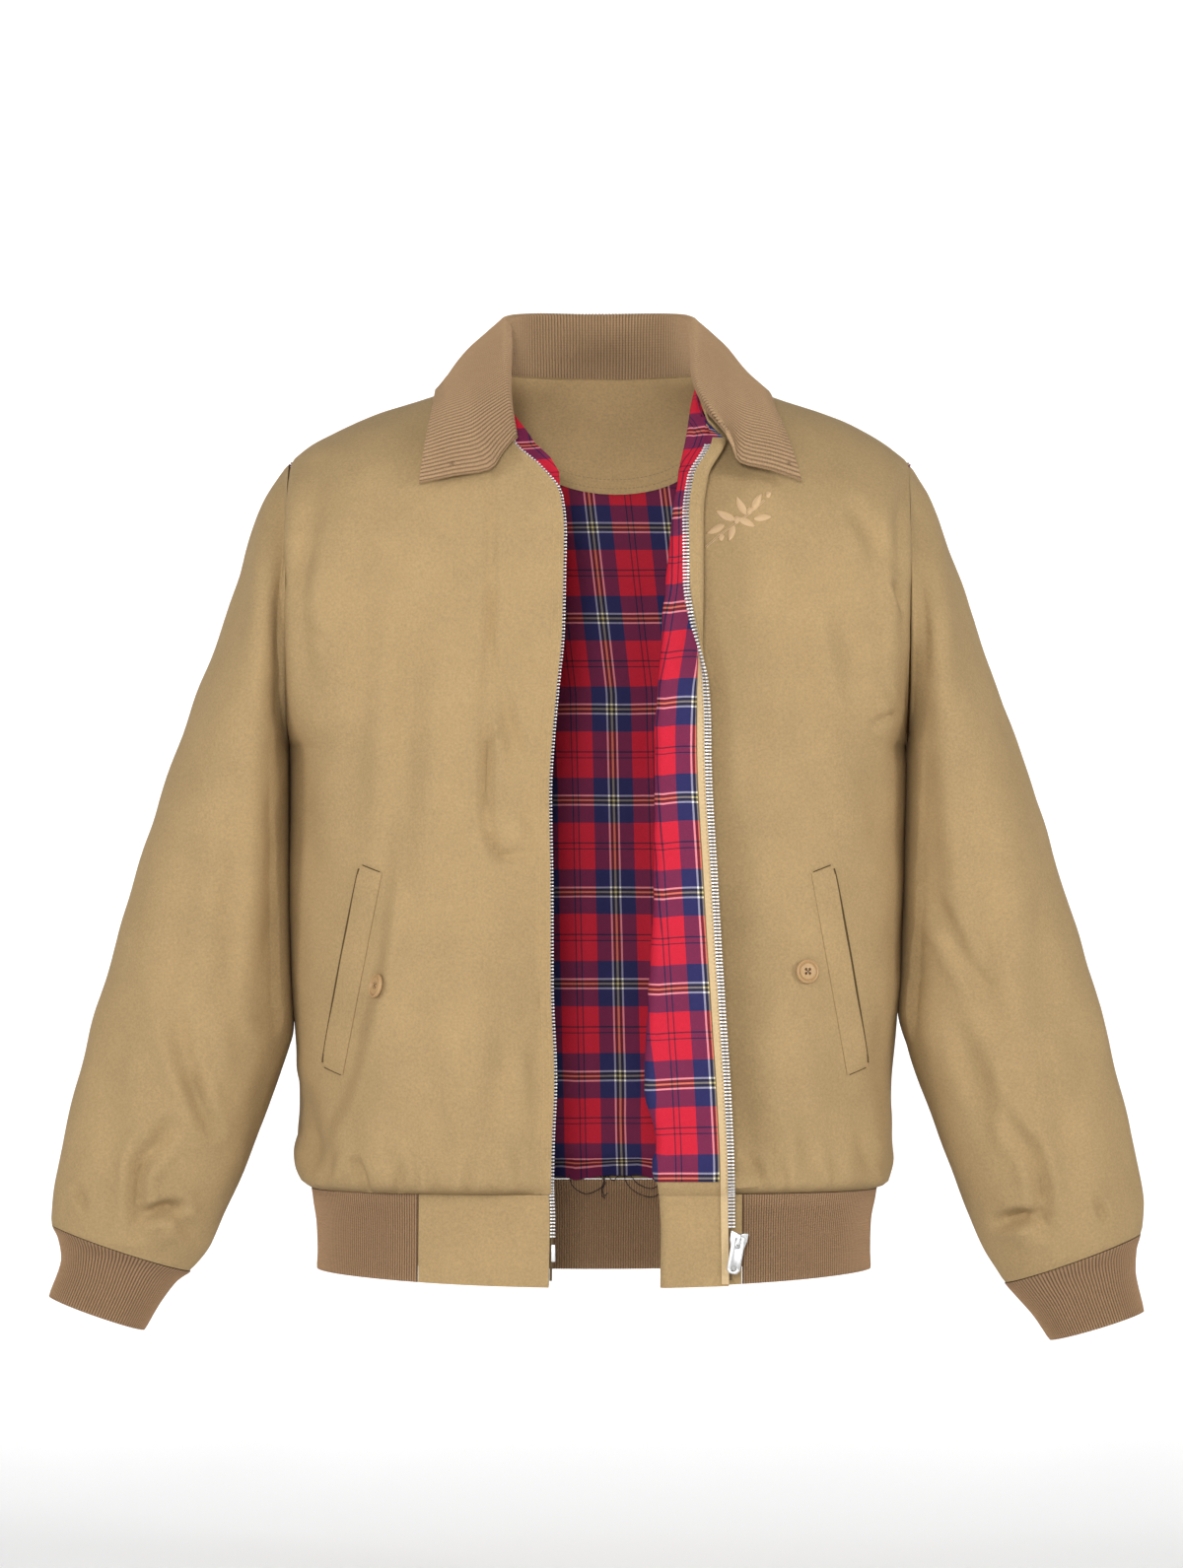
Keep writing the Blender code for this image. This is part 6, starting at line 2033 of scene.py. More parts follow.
    def pin_piece(self, strip: Sheet) -> bpy.types.Object:
        """Insertion pin at the foot of the right row."""
        z = self.rows_below[Side.RIGHT] - self.apart - self.pin[2] / 2
        end = self.end_at(strip, z)
        centre = end + np.array([0.0011 + self.pin[0] / 2, 0.0, 0.0])
        return trimming(bevelled_block("pin_insertion", centre, self.pin, 0.0007), SILVER, ["zip_pin"])


# ------------------------------------------------------------ small hard shapes
def alone(piece: bpy.types.Object) -> None:
    """Make a piece the only selected and the active one."""
    bpy.ops.object.select_all(action="DESELECT")
    piece.select_set(True)
    bpy.context.view_layer.objects.active = piece


def prism(name: str, outline: Sequence[tuple[float, float]], low: float, high: float) -> bpy.types.Object:
    """Flat shape in x and z, extruded in y from low to high."""
    mesh = bpy.data.meshes.new(name)
    mesh.from_pydata([(x, low, z) for x, z in outline], [], [list(range(len(outline)))])
    piece = linked(name, mesh)
    alone(piece)
    bpy.ops.object.mode_set(mode="EDIT")
    bpy.ops.mesh.select_all(action="SELECT")
    bpy.ops.mesh.extrude_region_move(TRANSFORM_OT_translate={"value": (0.0, high - low, 0.0)})
    bpy.ops.mesh.select_all(action="SELECT")
    bpy.ops.mesh.normals_make_consistent(inside=False)
    bpy.ops.object.mode_set(mode="OBJECT")
    return piece


def slot_outline(low: float, high: float, half: float) -> list[tuple[float, float]]:
    """Outline of a slot with rounded corners."""
    cut = half * 0.45
    return [(-half + cut, low), (half - cut, low), (half, low + cut), (half, high - cut), (half - cut, high),
            (-half + cut, high), (-half, high - cut), (-half, low + cut)]


def joined_by(base: bpy.types.Object, other: bpy.types.Object, way: str) -> None:
    """Join or cut a piece with another one, which goes away."""
    change = base.modifiers.new("join", "BOOLEAN")
    change.operation, change.solver, change.object = way, "EXACT", other
    alone(base)
    bpy.ops.object.modifier_apply(modifier=change.name)
    bpy.data.objects.remove(other, do_unlink=True)


def union(name: str, parts: Sequence[bpy.types.Object]) -> bpy.types.Object:
    """All the parts made one."""
    base = parts[0]
    for part in parts[1:]:
        joined_by(base, part, "UNION")
    base.name = base.data.name = name
    return base


def difference(base: bpy.types.Object, cutter: bpy.types.Object) -> None:
    """Cut the cutter's shape out of the base."""
    joined_by(base, cutter, "DIFFERENCE")


def rounded(piece: bpy.types.Object, size: float) -> None:
    """Round the sharp edges of a hard piece."""
    change = piece.modifiers.new("round", "BEVEL")
    change.width, change.segments, change.limit_method = size, 2, "ANGLE"
    change.angle_limit = math.radians(35)
    alone(piece)
    bpy.ops.object.modifier_apply(modifier=change.name)
    smoothed(piece.data, 40.0)


def place_tilted(piece: bpy.types.Object, turn: Callable[[Array], Array], centre: Array) -> None:
    """Turn and move a piece's own points, so that it stays at the origin."""
    points = np.empty(len(piece.data.vertices) * 3, np.float32)
    piece.data.vertices.foreach_get("co", points)
    moved = turn(points.reshape(-1, 3).astype(float)) + centre
    piece.data.vertices.foreach_set("co", moved.astype(np.float32).ravel())
    piece.data.update()


def bevelled_block(name: str, centre: Array, size: tuple[float, float, float], bevel: float) -> bpy.types.Object:
    """Block with rounded edges."""
    x, y, z = (s / 2 for s in size)
    piece = prism(name, [(-x, -z), (x, -z), (x, z), (-x, z)], -y, y)
    rounded(piece, bevel)
    place_tilted(piece, lambda p: p, centre)
    return piece


# --------------------------------------------------------------------- sleeves
# outer x, z, inner x, z, half depth, middle y
SLEEVE_TOP = [
    [0.2267, -0.0630, 0.2267, -0.2700, 0.0780, 0.0000],
    [0.2420, -0.0845, 0.2270, -0.2900, 0.0800, -0.0010],
    [0.2620, -0.1360, 0.2272, -0.3190, 0.0815, -0.0022],
    [0.2900, -0.2150, 0.2271, -0.3600, 0.0800, -0.0050],
    [0.3229, -0.3164, 0.2264, -0.4150, 0.0760, -0.0080],
    [0.3425, -0.3790, 0.2256, -0.4480, 0.0725, -0.0100],
    [0.3590, -0.4340, 0.2243, -0.4790, 0.0690, -0.0120],
    [0.3747, -0.4901, 0.2411, -0.5336, 0.0650, -0.0140],
    [0.3855, -0.5336, 0.2560, -0.5730, 0.0610, -0.0160],
]
SLEEVE = {
    Side.RIGHT: np.array(SLEEVE_TOP + [
        [0.3935, -0.5700, 0.2710, -0.6080, 0.0570, -0.0180],
        [0.3985, -0.6000, 0.2860, -0.6380, 0.0520, -0.0200],
        [0.4004, -0.6205, 0.2980, -0.6545, 0.0460, -0.0210],
    ]),
    Side.LEFT: np.array(SLEEVE_TOP + [
        [0.3935, -0.5720, 0.2690, -0.6110, 0.0570, -0.0180],
        [0.3990, -0.6050, 0.2830, -0.6400, 0.0520, -0.0200],
        [0.3972, -0.6270, 0.2968, -0.6630, 0.0460, -0.0210],
    ]),
}
CUFF = {
    Side.RIGHT: np.array([
        [0.3996, -0.6212, 0.2983, -0.6553, 0.0440, -0.0210],
        [0.3948, -0.6313, 0.3072, -0.6610, 0.0370, -0.0212],
        [0.3926, -0.6458, 0.3200, -0.6770, 0.0335, -0.0214],
        [0.4018, -0.6733, 0.3322, -0.6979, 0.0320, -0.0216],
    ]),
    Side.LEFT: np.array([
        [0.3966, -0.6277, 0.2972, -0.6638, 0.0440, -0.0210],
        [0.3932, -0.6400, 0.3060, -0.6735, 0.0370, -0.0212],
        [0.3925, -0.6540, 0.3180, -0.6870, 0.0335, -0.0214],
        [0.3989, -0.6842, 0.3303, -0.7052, 0.0320, -0.0216],
    ]),
}


@dataclass(frozen=True)
class Tube:
    """Rings of a sleeve or cuff from its table."""

    table: Array
    rings: int
    sides: int
    arm_middle: float = 0.42
    even: bool = False

    def points(self) -> Array:
        """Rings from the top down, each starting on the outer side."""
        count, sides = len(self.table), self.sides * (8 if self.even else 1)
        keyed = np.column_stack([np.arange(count), self.table])
        made = []
        for at in np.linspace(0, count - 1, self.rings):
            outer_x, outer_z, inner_x, inner_z, depth, middle = (smooth_lookup(keyed, at, c) for c in range(1, 7))
            outer, inner = np.array([outer_x, middle, outer_z]), np.array([inner_x, middle, inner_z])
            share = 0.5 + (self.arm_middle - 0.5) * max(0.0, 1.0 - at / 4)
            centre = outer + (inner - outer) * share
            angle = 2 * np.pi * np.arange(sides) / sides
            reach = np.where(np.cos(angle)[:, None] > 0, outer - centre, inner - centre)
            ring = centre + reach * np.abs(np.cos(angle))[:, None]
            ring[:, 1] += depth * np.sin(angle)
            made.append(respaced(ring, self.sides, closed=True) if self.even else ring)
        return np.array(made)

    def sheet(self) -> Sheet:
        """Closed sheet with outward normals, square at both ends."""
        points = self.points()
        normals = grid_normals(points, points - points.mean(axis=1, keepdims=True), True)
        half = points.shape[1] // 2
        for end in (0, -1):
            plane = unit(np.cross(points[end][half] - points[end][0], np.array([0.0, 1.0, 0.0])))
            normals[end] = unit(normals[end] - plane * (normals[end] @ plane)[:, None])
        return Sheet(points, normals, Sheet.flat(points, 0), None, True)


@dataclass
class Sleeves:
    """Both sleeves with their ribbed cuffs."""

    bodice: Bodice
    rib: Rib = Rib(0.00222, 0.00045)
    cuff_round: float = 0.232
    cuff_rings: int = 20

    def rested(self, side: Side, sheet: Sheet) -> Sheet:
        """Sleeve whose inner side lies against the body below the armhole."""
        edge = self.bodice.front[side].points[:BODY.levels, -1]
        reach = np.abs(edge[:, 0]) + 0.0004
        points = sheet.points.copy()
        z = points[..., 2]
        body = np.interp(z, edge[:, 2], reach)
        gap = np.abs(points[..., 0]) - body
        columns = points.shape[1]
        angle = 2 * np.pi * np.arange(columns) / columns
        inner = np.clip(-np.cos(angle), 0, 1)[None, :] ** 6
        window = ease((-0.262 - z) / 0.018) * ease((z + 0.492) / 0.030)
        points[..., 0] -= side.value * gap * inner * window * (np.abs(gap) < 0.012)
        return replace(sheet, points=points)

    def relief(self, side: Side, sheet: Sheet) -> Array:
        """Heights of a sleeve's folds, front and back, fading to nothing at its seams."""
        x, y, z = np.moveaxis(sheet.points, -1, 0)
        front = FOLDS_SLEEVE_RIGHT if side is Side.RIGHT else FOLDS_SLEEVE_LEFT
        back = FOLDS_SLEEVE_RIGHT_BACK if side is Side.RIGHT else FOLDS_SLEEVE_LEFT_BACK
        facing = ease(0.5 - sheet.normals[..., 1] * 1.2)
        total = creased(front, x, z) * facing + creased(back, x, z, BACK_STEP) * (1 - facing)
        total += Slack(0.0010, 0.062, 1.7 * side.value).relief(x, y, z)
        total += self.under_seam(sheet)
        return total * seam_fade(sheet, 0.008, 0.006, 0.0) + seam_groove(sheet, 0.0006, 0.0022, "bt")

    @staticmethod
    def under_seam(sheet: Sheet) -> Array:
        """Groove of the sleeve's own seam, along its under side."""
        columns = sheet.points.shape[1]
        off = np.abs(np.arange(columns) - columns / 2 + 3)
        return np.broadcast_to(-0.0007 * np.exp(-(off / 0.8) ** 2), sheet.points.shape[:2])

    def build(self) -> list[bpy.types.Object]:
        """Sleeves and cuffs as pieces."""
        made = []
        for side in Side:
            base = Tube(SLEEVE[side], 160, 152).sheet().on(side)
            sheet = self.rested(side, base.pressed(self.relief(side, base)))
            piece = sheet.wall("shell_sleeve_" + side.word, SHELL)
            made.append(hung(piece, sheet, KHAKI, ["sleeve_" + side.word]))
            made.append(self.cuff(side))
        return made

    def cuff(self, side: Side) -> bpy.types.Object:
        """Ribbed cuff of one side."""
        base = Tube(CUFF[side], self.cuff_rings, 4 * self.rib.count(self.cuff_round), even=True).sheet().on(side)
        fade = np.ones((self.cuff_rings, 1))
        fade[0], fade[1], fade[-1] = 0.3, 0.7, 0.45
        ribbed, light = self.rib.raise_ribs(base, fade)
        piece = ribbed.wall("band_cuff_" + side.word, KNIT)
        self.rib.mark(piece, light)
        return hung(piece, base, BAND_KNIT, ["cuff_" + side.word])


# ---------------------------------------------------------------------- collar
# each row: seam, roll, middle of the leaf and leaf edge, each x, y, z
COLLAR_BACK = np.array([
    [0.0000, 0.0780, 0.0040, 0.0000, 0.0840, 0.0510, 0.0000, 0.1030, 0.0300, 0.0000, 0.1160, -0.0030],
    [0.0480, 0.0640, 0.0040, 0.0500, 0.0680, 0.0500, 0.0660, 0.0860, 0.0300, 0.0790, 0.0980, -0.0030],
    [0.0700, 0.0350, 0.0040, 0.0665, 0.0370, 0.0455, 0.0920, 0.0500, 0.0240, 0.1090, 0.0580, -0.0030],
])
COLLAR_RIGHT = np.array([
    [0.0750, 0.0050, 0.0040, 0.0665, 0.0040, 0.0370, 0.0960, 0.0060, 0.0170, 0.1180, 0.0080, -0.0080],
    [0.0735, -0.0300, -0.0040, 0.0655, -0.0340, 0.0220, 0.0940, -0.0400, 0.0040, 0.1195, -0.0360, -0.0130],
    [0.0700, -0.0600, -0.0210, 0.0650, -0.0670, 0.0000, 0.0940, -0.0800, -0.0170, 0.1205, -0.0760, -0.0260],
    [0.0655, -0.0800, -0.0370, 0.0635, -0.0890, -0.0240, 0.0920, -0.1050, -0.0420, 0.1250, -0.1020, -0.0520],
    [0.0615, -0.0920, -0.0510, 0.0595, -0.1000, -0.0480, 0.0784, -0.1150, -0.0724, 0.1293, -0.1140, -0.0817],
])
COLLAR_LEFT = np.array([
    [0.0750, 0.0050, 0.0040, 0.0690, 0.0040, 0.0370, 0.0960, 0.0060, 0.0170, 0.1180, 0.0080, -0.0080],
    [0.0750, -0.0300, -0.0040, 0.0690, -0.0340, 0.0200, 0.0980, -0.0420, 0.0040, 0.1240, -0.0360, -0.0130],
    [0.0745, -0.0620, -0.0190, 0.0695, -0.0720, -0.0050, 0.1020, -0.0860, -0.0190, 0.1290, -0.0800, -0.0290],
    [0.0800, -0.0900, -0.0330, 0.0790, -0.0985, -0.0270, 0.1060, -0.1120, -0.0450, 0.1380, -0.1060, -0.0530],
    [0.0900, -0.1060, -0.0415, 0.0915, -0.1140, -0.0430, 0.1020, -0.1240, -0.0675, 0.1460, -0.1180, -0.0796],
])


@dataclass
class Collar:
    """One-piece turned-down rib collar, from the right front round to the left."""

    rise: float = 0.0022
    sunk: float = -0.0017
    roll: float = 0.0036
    rib: Rib = Rib(0.0029, 0.00052)
    between: int = 3

    def curve(self, row: Array) -> Array:
        """Points across the collar: up the stand, over the roll and down the leaf."""
        seam, roll, leaf, edge = row.reshape(4, 3)
        rise = self.rise + (self.sunk - self.rise) * float(ease(np.array((seam[1] + 0.02) / 0.05)))
        seam = seam + unit(roll - seam) * rise
        up = unit(roll - (seam + leaf) / 2)
        out = leaf - seam
        out = unit(out - up * np.dot(out, up))
        size = self.roll
        stand_top, leaf_top = roll - out * size - up * size, roll + out * size - up * size
        return np.array([seam, (seam + stand_top) / 2, stand_top, roll - up * size * 0.2 - out * size * 0.6,
                         roll + out * size * 0.6 - up * size * 0.2, leaf_top, (leaf_top + leaf) / 2 + up * 0.0008,
                         leaf, (leaf + edge) / 2 + up * 0.0004, edge])

    def across(self, row: Array) -> Array:
        """The same points, closer together."""
        coarse = self.curve(row)
        steps = (len(coarse) - 1) * self.between
        return np.array([spline(coarse, k / self.between) for k in range(steps + 1)])

    def sheet(self) -> Sheet:
        """The collar's sheet, four columns of points to a rib."""
        signs = np.array([-1.0, 1.0, 1.0] * 4)
        rows = list((np.concatenate([COLLAR_BACK, COLLAR_RIGHT]) * signs)[::-1])
        rows += list(np.concatenate([COLLAR_BACK, COLLAR_LEFT])[1:])
        probe = np.linspace(0, len(rows) - 1, 240)
        middle = np.array([self.curve(spline(rows, t))[6] for t in probe])
        lengths = run_lengths(middle)
        count = 4 * self.rib.count(float(lengths[-1])) + 1
        stations = np.interp(np.linspace(0, lengths[-1], count), lengths, probe)
        points = np.array([self.across(spline(rows, t)) for t in stations]).transpose(1, 0, 2)
        return Sheet(points, grid_normals(points, np.array([0.0, 0.0, 1.0])), Sheet.flat(points, 0))

    def build(self) -> list[bpy.types.Object]:
        """Collar as a piece, with its small tacks."""
        base = self.sheet()
        x, y, z = np.moveaxis(base.points, -1, 0)
        leaf = ease((np.arange(base.points.shape[0]) - 16.0) / 6.0)[:, None]
        soft = Slack(0.0007, 0.048, 0.4).relief(x, y, z) * (0.35 + 0.65 * leaf)
        curl = self.edge_curl(base)
        pressed = base.pressed(soft * seam_fade(base, 0.01, 0.0, 0.0) + curl)
        fade = np.ones((base.points.shape[0], 1))
        fade[0], fade[-1] = 0.3, 0.5
        ribbed, light = self.rib.raise_ribs(pressed, fade)
        # the rib's neutral plane is the middle of the knit
        piece = ribbed.wall("band_collar", KNIT, lift=KNIT / 2)
        self.rib.mark(piece, light)
        made = [hung(piece, base, COLLAR_KNIT, ["collar"])]
        made.append(self.tacks(ribbed))
        return made

    @staticmethod
    def edge_curl(base: Sheet) -> Array:
        """Leaf edge and leaf ends slightly rounded down."""
        rows, columns = base.points.shape[:2]
        edge = np.exp(-((rows - 1 - np.arange(rows)) / 1.6) ** 2)[:, None]
        ends = np.minimum(np.arange(columns), columns - 1 - np.arange(columns))
        end = np.exp(-(ends / 5.0) ** 2)[None, :] * (np.arange(rows) > 15)[:, None]
        return -0.0006 * edge - 0.0006 * end

    @staticmethod
    def tacks(sheet: Sheet) -> bpy.types.Object:
        """Small crossed tacks of thread near the leaves' ends."""
        paths = []
        flat = sheet.points.reshape(-1, 3)
        ways = sheet.normals.reshape(-1, 3)
        for u, v in ((455.0, 471.0), (780.0, 462.0), (800.0, 470.0)):
            x, z = VIEW.place(u, v)
            gap = np.hypot(flat[:, 0] - x, flat[:, 2] - z) + (flat[:, 1] > -0.05) * 1.0
            near = int(np.argmin(gap))
            centre = flat[near] + ways[near] * (KNIT / 2 + 0.0006)
            side = unit(np.cross(ways[near], np.array([0.2, 0.1, 1.0])))
            up = np.cross(side, ways[near])
            for k in range(3):
                angle = math.pi * k / 3 + 0.3
                way = side * math.cos(angle) + up * math.sin(angle)
                t = np.linspace(-1, 1, 7)[:, None]
                paths.append(centre + way * t * 0.0019 - ways[near] * 0.0007 * t * t)
        return trimming(joined_tubes("tacks_collar", paths, 0.00022), TACK_THREAD)


# --------------------------------------------------------------------- pockets
@dataclass
class Pockets:
    """Slanted welt pockets with their buttons."""

    bodice: Bodice
    top: tuple[float, float, float] = (0.1545, 0.1700, -0.3600)
    bottom: tuple[float, float, float] = (0.1820, 0.1970, -0.5060)
    slant: float = 0.0060
    lift: float = 0.0007
    rows: int = 56
    columns: int = 11
    hole_circle: float = 0.0021
    hole_radius: float = 0.00105
    buttons: dict[Side, tuple[float, float]] = field(
        default_factory=lambda: {Side.RIGHT: (0.1560, -0.4440), Side.LEFT: (0.1515, -0.4337)})

    def under_welt(self, side: Side) -> Sheet:
        """The front's own cloth under a welt, foot row first, outer column last."""
        finder = Finder(self.bodice.front[side], PLANS[side].added)
        points, ways = np.zeros((2, self.rows, self.columns, 3))
        low, high = np.array(self.bottom), np.array(self.top)
        for i in range(self.rows):
            inner, outer, z = low + (high - low) * i / (self.rows - 1)
            for j in range(self.columns):
                u = j / (self.columns - 1)
                level_z = z - self.slant * (0.5 - u)
                x = side.value * (inner + (outer - inner) * u) + LEAN * (level_z - LEAN_LEVEL)
                points[i, j], ways[i, j] = finder.point(x, level_z)
        return Sheet(points, ways, Sheet.flat(points, 0))

    def welt(self, side: Side) -> list[bpy.types.Object]:
        """Welt of one side, stitched down at its ends, with dark strips along its outer edge and its ends that paint
        the shadow of the pocket's opening.
        """
        sheet, rows = self.under_welt(side), self.rows
        points, ways = sheet.points, sheet.normals
        u = np.linspace(0, 1, self.columns)[None, :]
        v = np.linspace(-1, 1, rows)[:, None]
        puff = 0.0005 * np.sin(np.pi * u) + 0.0014 * u ** 1.6 * (1 - v ** 16) + 0.0002 * np.sin(v * 9.0 + 1.0) * u
        lifted = replace(sheet, points=points + ways * (self.lift + puff)[..., None])
        piece = lifted.wall("welt_pocket_" + side.word, 0.0006)
        made = [hung(piece, lifted, KHAKI, ["welt_" + side.word])]
        for number, i in enumerate((1, rows - 2)):
            sewn = Seam().sew(f"stitches_welt_{side.word}_{number}", lifted.points[i, 1:-1], ways[i, 1:-1])
            made.append(trimming(sewn, KHAKI_THREAD))
        # painted shadow: a dark strip along the welt's outer edge stands in for the shade in the pocket's opening
        edge = points[1:-1, -1]
        out = unit(edge - points[1:-1, -2])
        bow = np.sin(np.linspace(0, math.pi, rows - 2))[:, None] ** 0.5
        lines = [edge - out * 0.0004, edge + out * (0.0006 + 0.0014 * bow)]
        mouth_shadow = strip_wall("painted_shadow_pocket_" + side.word, lines, ways[1:-1, -1], 0.0008, 0.0018)
        made.append(trimming(mouth_shadow, POCKET_PAINTED_SHADOW))
        # painted shadow: dark strips at the welt's ends stand in for the shade under them
        for number, (i, step) in enumerate(((0, -1), (rows - 1, 1))):
            end = points[i, 1:-1]
            down = unit(end - points[i - step, 1:-1])
            lines = [end + down * 0.0001, end + down * 0.0008]
            fold = strip_wall(f"fold_welt_{side.word}_{number}", lines, ways[i, 1:-1], 0.0005, 0.0009)
            made.append(trimming(fold, POCKET_PAINTED_SHADOW))
        return made

    def stance(self, side: Side) -> tuple[Array, Array]:
        """Place of a button's back and its three axes as columns."""
        finder = Finder(self.bodice.front[side], PLANS[side].added)
        x, z = self.buttons[side]
        x = side.value * x + LEAN * (z - LEAN_LEVEL)
        step = 0.006
        left, right, low, high, base = (finder.point(x + across * step, z + up * step)[0]
                                        for across, up in ((-1, 0), (1, 0), (0, -1), (0, 1), (0, 0)))
        way = unit(np.cross(right - left, high - low))
        way = way * np.sign(np.dot(way, FRONTWARDS))
        if side is Side.RIGHT:
            turn = math.radians(8.0)
            c, s = math.cos(turn), math.sin(turn)
            way = np.array([[c, s, 0.0], [-s, c, 0.0], [0.0, 0.0, 1.0]]) @ way
        across = unit(np.cross(way, np.array([0.0, 0.0, 1.0])))
        return base + way * 0.0010, np.array([across, np.cross(way, across), way]).T

    def button(self, side: Side) -> list[bpy.types.Object]:
        """Four-hole button with a ring groove, sewn on with crossed thread."""
        centre, axes = self.stance(side)
        piece = self.disc("disc_button_" + side.word)
        place_tilted(piece, lambda p: p @ axes.T, centre)
        paths = []
        for turn in (0.785, 2.356):
            span = np.linspace(-1, 1, 9)[:, None]
            flat = np.array([math.cos(turn), math.sin(turn), 0.0])
            line = flat * span * self.hole_circle + np.array([0.0, 0.0, 1.0]) * (0.0024 - 0.0016 * span ** 4)
            paths.append(line @ axes.T + centre)
        thread = trimming(joined_tubes("thread_button_" + side.word, paths, 0.00030), BUTTON_THREAD)
        return [trimming(piece, HORN, ["button_" + side.word]), thread]

    def disc(self, name: str) -> bpy.types.Object:
        """Button lying flat, its back at height 0."""
        rim = [(0.0, 0.0), (0.0076, 0.0), (0.0086, 0.0007), (0.0088, 0.0018), (0.0085, 0.0026), (0.0078, 0.0030),
               (0.0072, 0.0028), (0.0067, 0.0017), (0.0062, 0.0015), (0.0057, 0.0022), (0.0, 0.0024)]
        mesh = bpy.data.meshes.new(name)
        mesh.from_pydata([(r, 0.0, h) for r, h in rim], [(k, k + 1) for k in range(len(rim) - 1)], [])
        piece = linked(name, mesh)
        alone(piece)
        bpy.ops.object.mode_set(mode="EDIT")
        bpy.ops.mesh.select_all(action="SELECT")
        bpy.ops.mesh.spin(steps=48, angle=2 * math.pi, center=(0, 0, 0), axis=(0, 0, 1))
        bpy.ops.mesh.select_all(action="SELECT")
        bpy.ops.mesh.remove_doubles(threshold=1e-5)
        bpy.ops.mesh.normals_make_consistent(inside=False)
        bpy.ops.object.mode_set(mode="OBJECT")
        for k in range(4):
            angle = math.pi / 4 + k * math.pi / 2
            place = (self.hole_circle * math.cos(angle), self.hole_circle * math.sin(angle), 0.0)
            bpy.ops.mesh.primitive_cylinder_add(vertices=14, radius=self.hole_radius, depth=0.01, location=place)
            difference(piece, bpy.context.object)
        smoothed(piece.data, 32.0)
        return piece

    def build(self) -> list[bpy.types.Object]:
        """Both pockets as pieces."""
        made = []
        for side in Side:
            made.extend(self.welt(side))
            made.extend(self.button(side))
        return made


# ----------------------------------------------------------------- chest motif
@dataclass
class Motif:
    """Satin-stitched sprig of leaves and berries on the left chest."""

    bodice: Bodice
    centre: tuple[float, float] = (750.0, 521.0)
    # each leaf: place u, v from the centre, turn in degrees, length and width mm
    leaves: tuple[tuple[float, float, float, float, float], ...] = (
        (-24.0, 16.0, 205.0, 14.0, 5.0), (-14.0, 2.0, 150.0, 15.0, 5.6), (-8.0, 20.0, 250.0, 12.0, 4.6),
        (2.0, -8.0, 112.0, 15.0, 5.4), (8.0, 9.0, 330.0, 13.0, 5.0), (18.0, -12.0, 62.0, 15.0, 5.4),
        (24.0, 4.0, 5.0, 13.0, 4.8),
    )
    berries: tuple[tuple[float, float, float], ...] = ((-2.0, 6.0, 2.6), (11.0, -3.0, 2.4), (-18.0, 24.0, 2.2),
                                                       (30.0, -20.0, 2.2))

    def build(self) -> list[bpy.types.Object]:
        """The motif as one piece of laid threads."""
        finder = Finder(self.bodice.front[Side.LEFT], PLANS[Side.LEFT].added)
        paths = []
        for u, v, turn, long, wide in self.leaves:
            paths.extend(self.satin(finder, u, v, math.radians(turn), long, wide))
        for u, v, size in self.berries:
            paths.extend(self.satin(finder, u, v, 0.6, size * 2, size * 2))
        stem = [(-34.0, 34.0), (-20.0, 22.0), (-4.0, 10.0), (10.0, 0.0), (26.0, -14.0)]
        for shift in (-0.5, 0.5):
            paths.append(np.array([self.place(finder, u + shift, v + shift, 0.0005) for u, v in dense(stem, 28)]))
        return [trimming(joined_tubes("motif_sprig", paths, 0.00026), MOTIF_THREAD)]

    def place(self, finder: Finder, u: float, v: float, lift: float) -> Array:
        """Point over the cloth at a place of the motif."""
        point, way = finder.on_view(self.centre[0] + u, self.centre[1] + v)
        return point + way * lift

    def satin(self, finder: Finder, u: float, v: float, turn: float, long: float, wide: float) -> list[Array]:
        """Threads across a leaf, side by side."""
        origin, way = finder.on_view(self.centre[0] + u, self.centre[1] + v)
        side = unit(np.cross(way, np.array([0.0, 0.0, 1.0])))
        up = np.cross(side, way)
        if np.dot(side, np.array([1.0, 0.0, 0.0])) < 0:
            side = -side
        if up[2] < 0:
            up = -up
        along = side * math.cos(turn) + up * math.sin(turn)
        over = -side * math.sin(turn) + up * math.cos(turn)
        paths = []
        for at in np.arange(0.3, long - 0.2, 0.46):
            t = at / long
            half = wide / 2 * math.sin(math.pi * t ** 0.8) ** 0.8
            if half < 0.25:
                continue
            span = np.linspace(-1, 1, 5)[:, None]
            lean = 0.35 * half
            line = (origin + along * (at + lean * span - long / 2) * 0.001 + over * span * half * 0.001
                    + way * (0.0007 * (1 - span ** 2) + 0.00005))
            paths.append(line)
        return paths


# ----------------------------------------------------------------------- stage
Place = tuple[float, float, float]


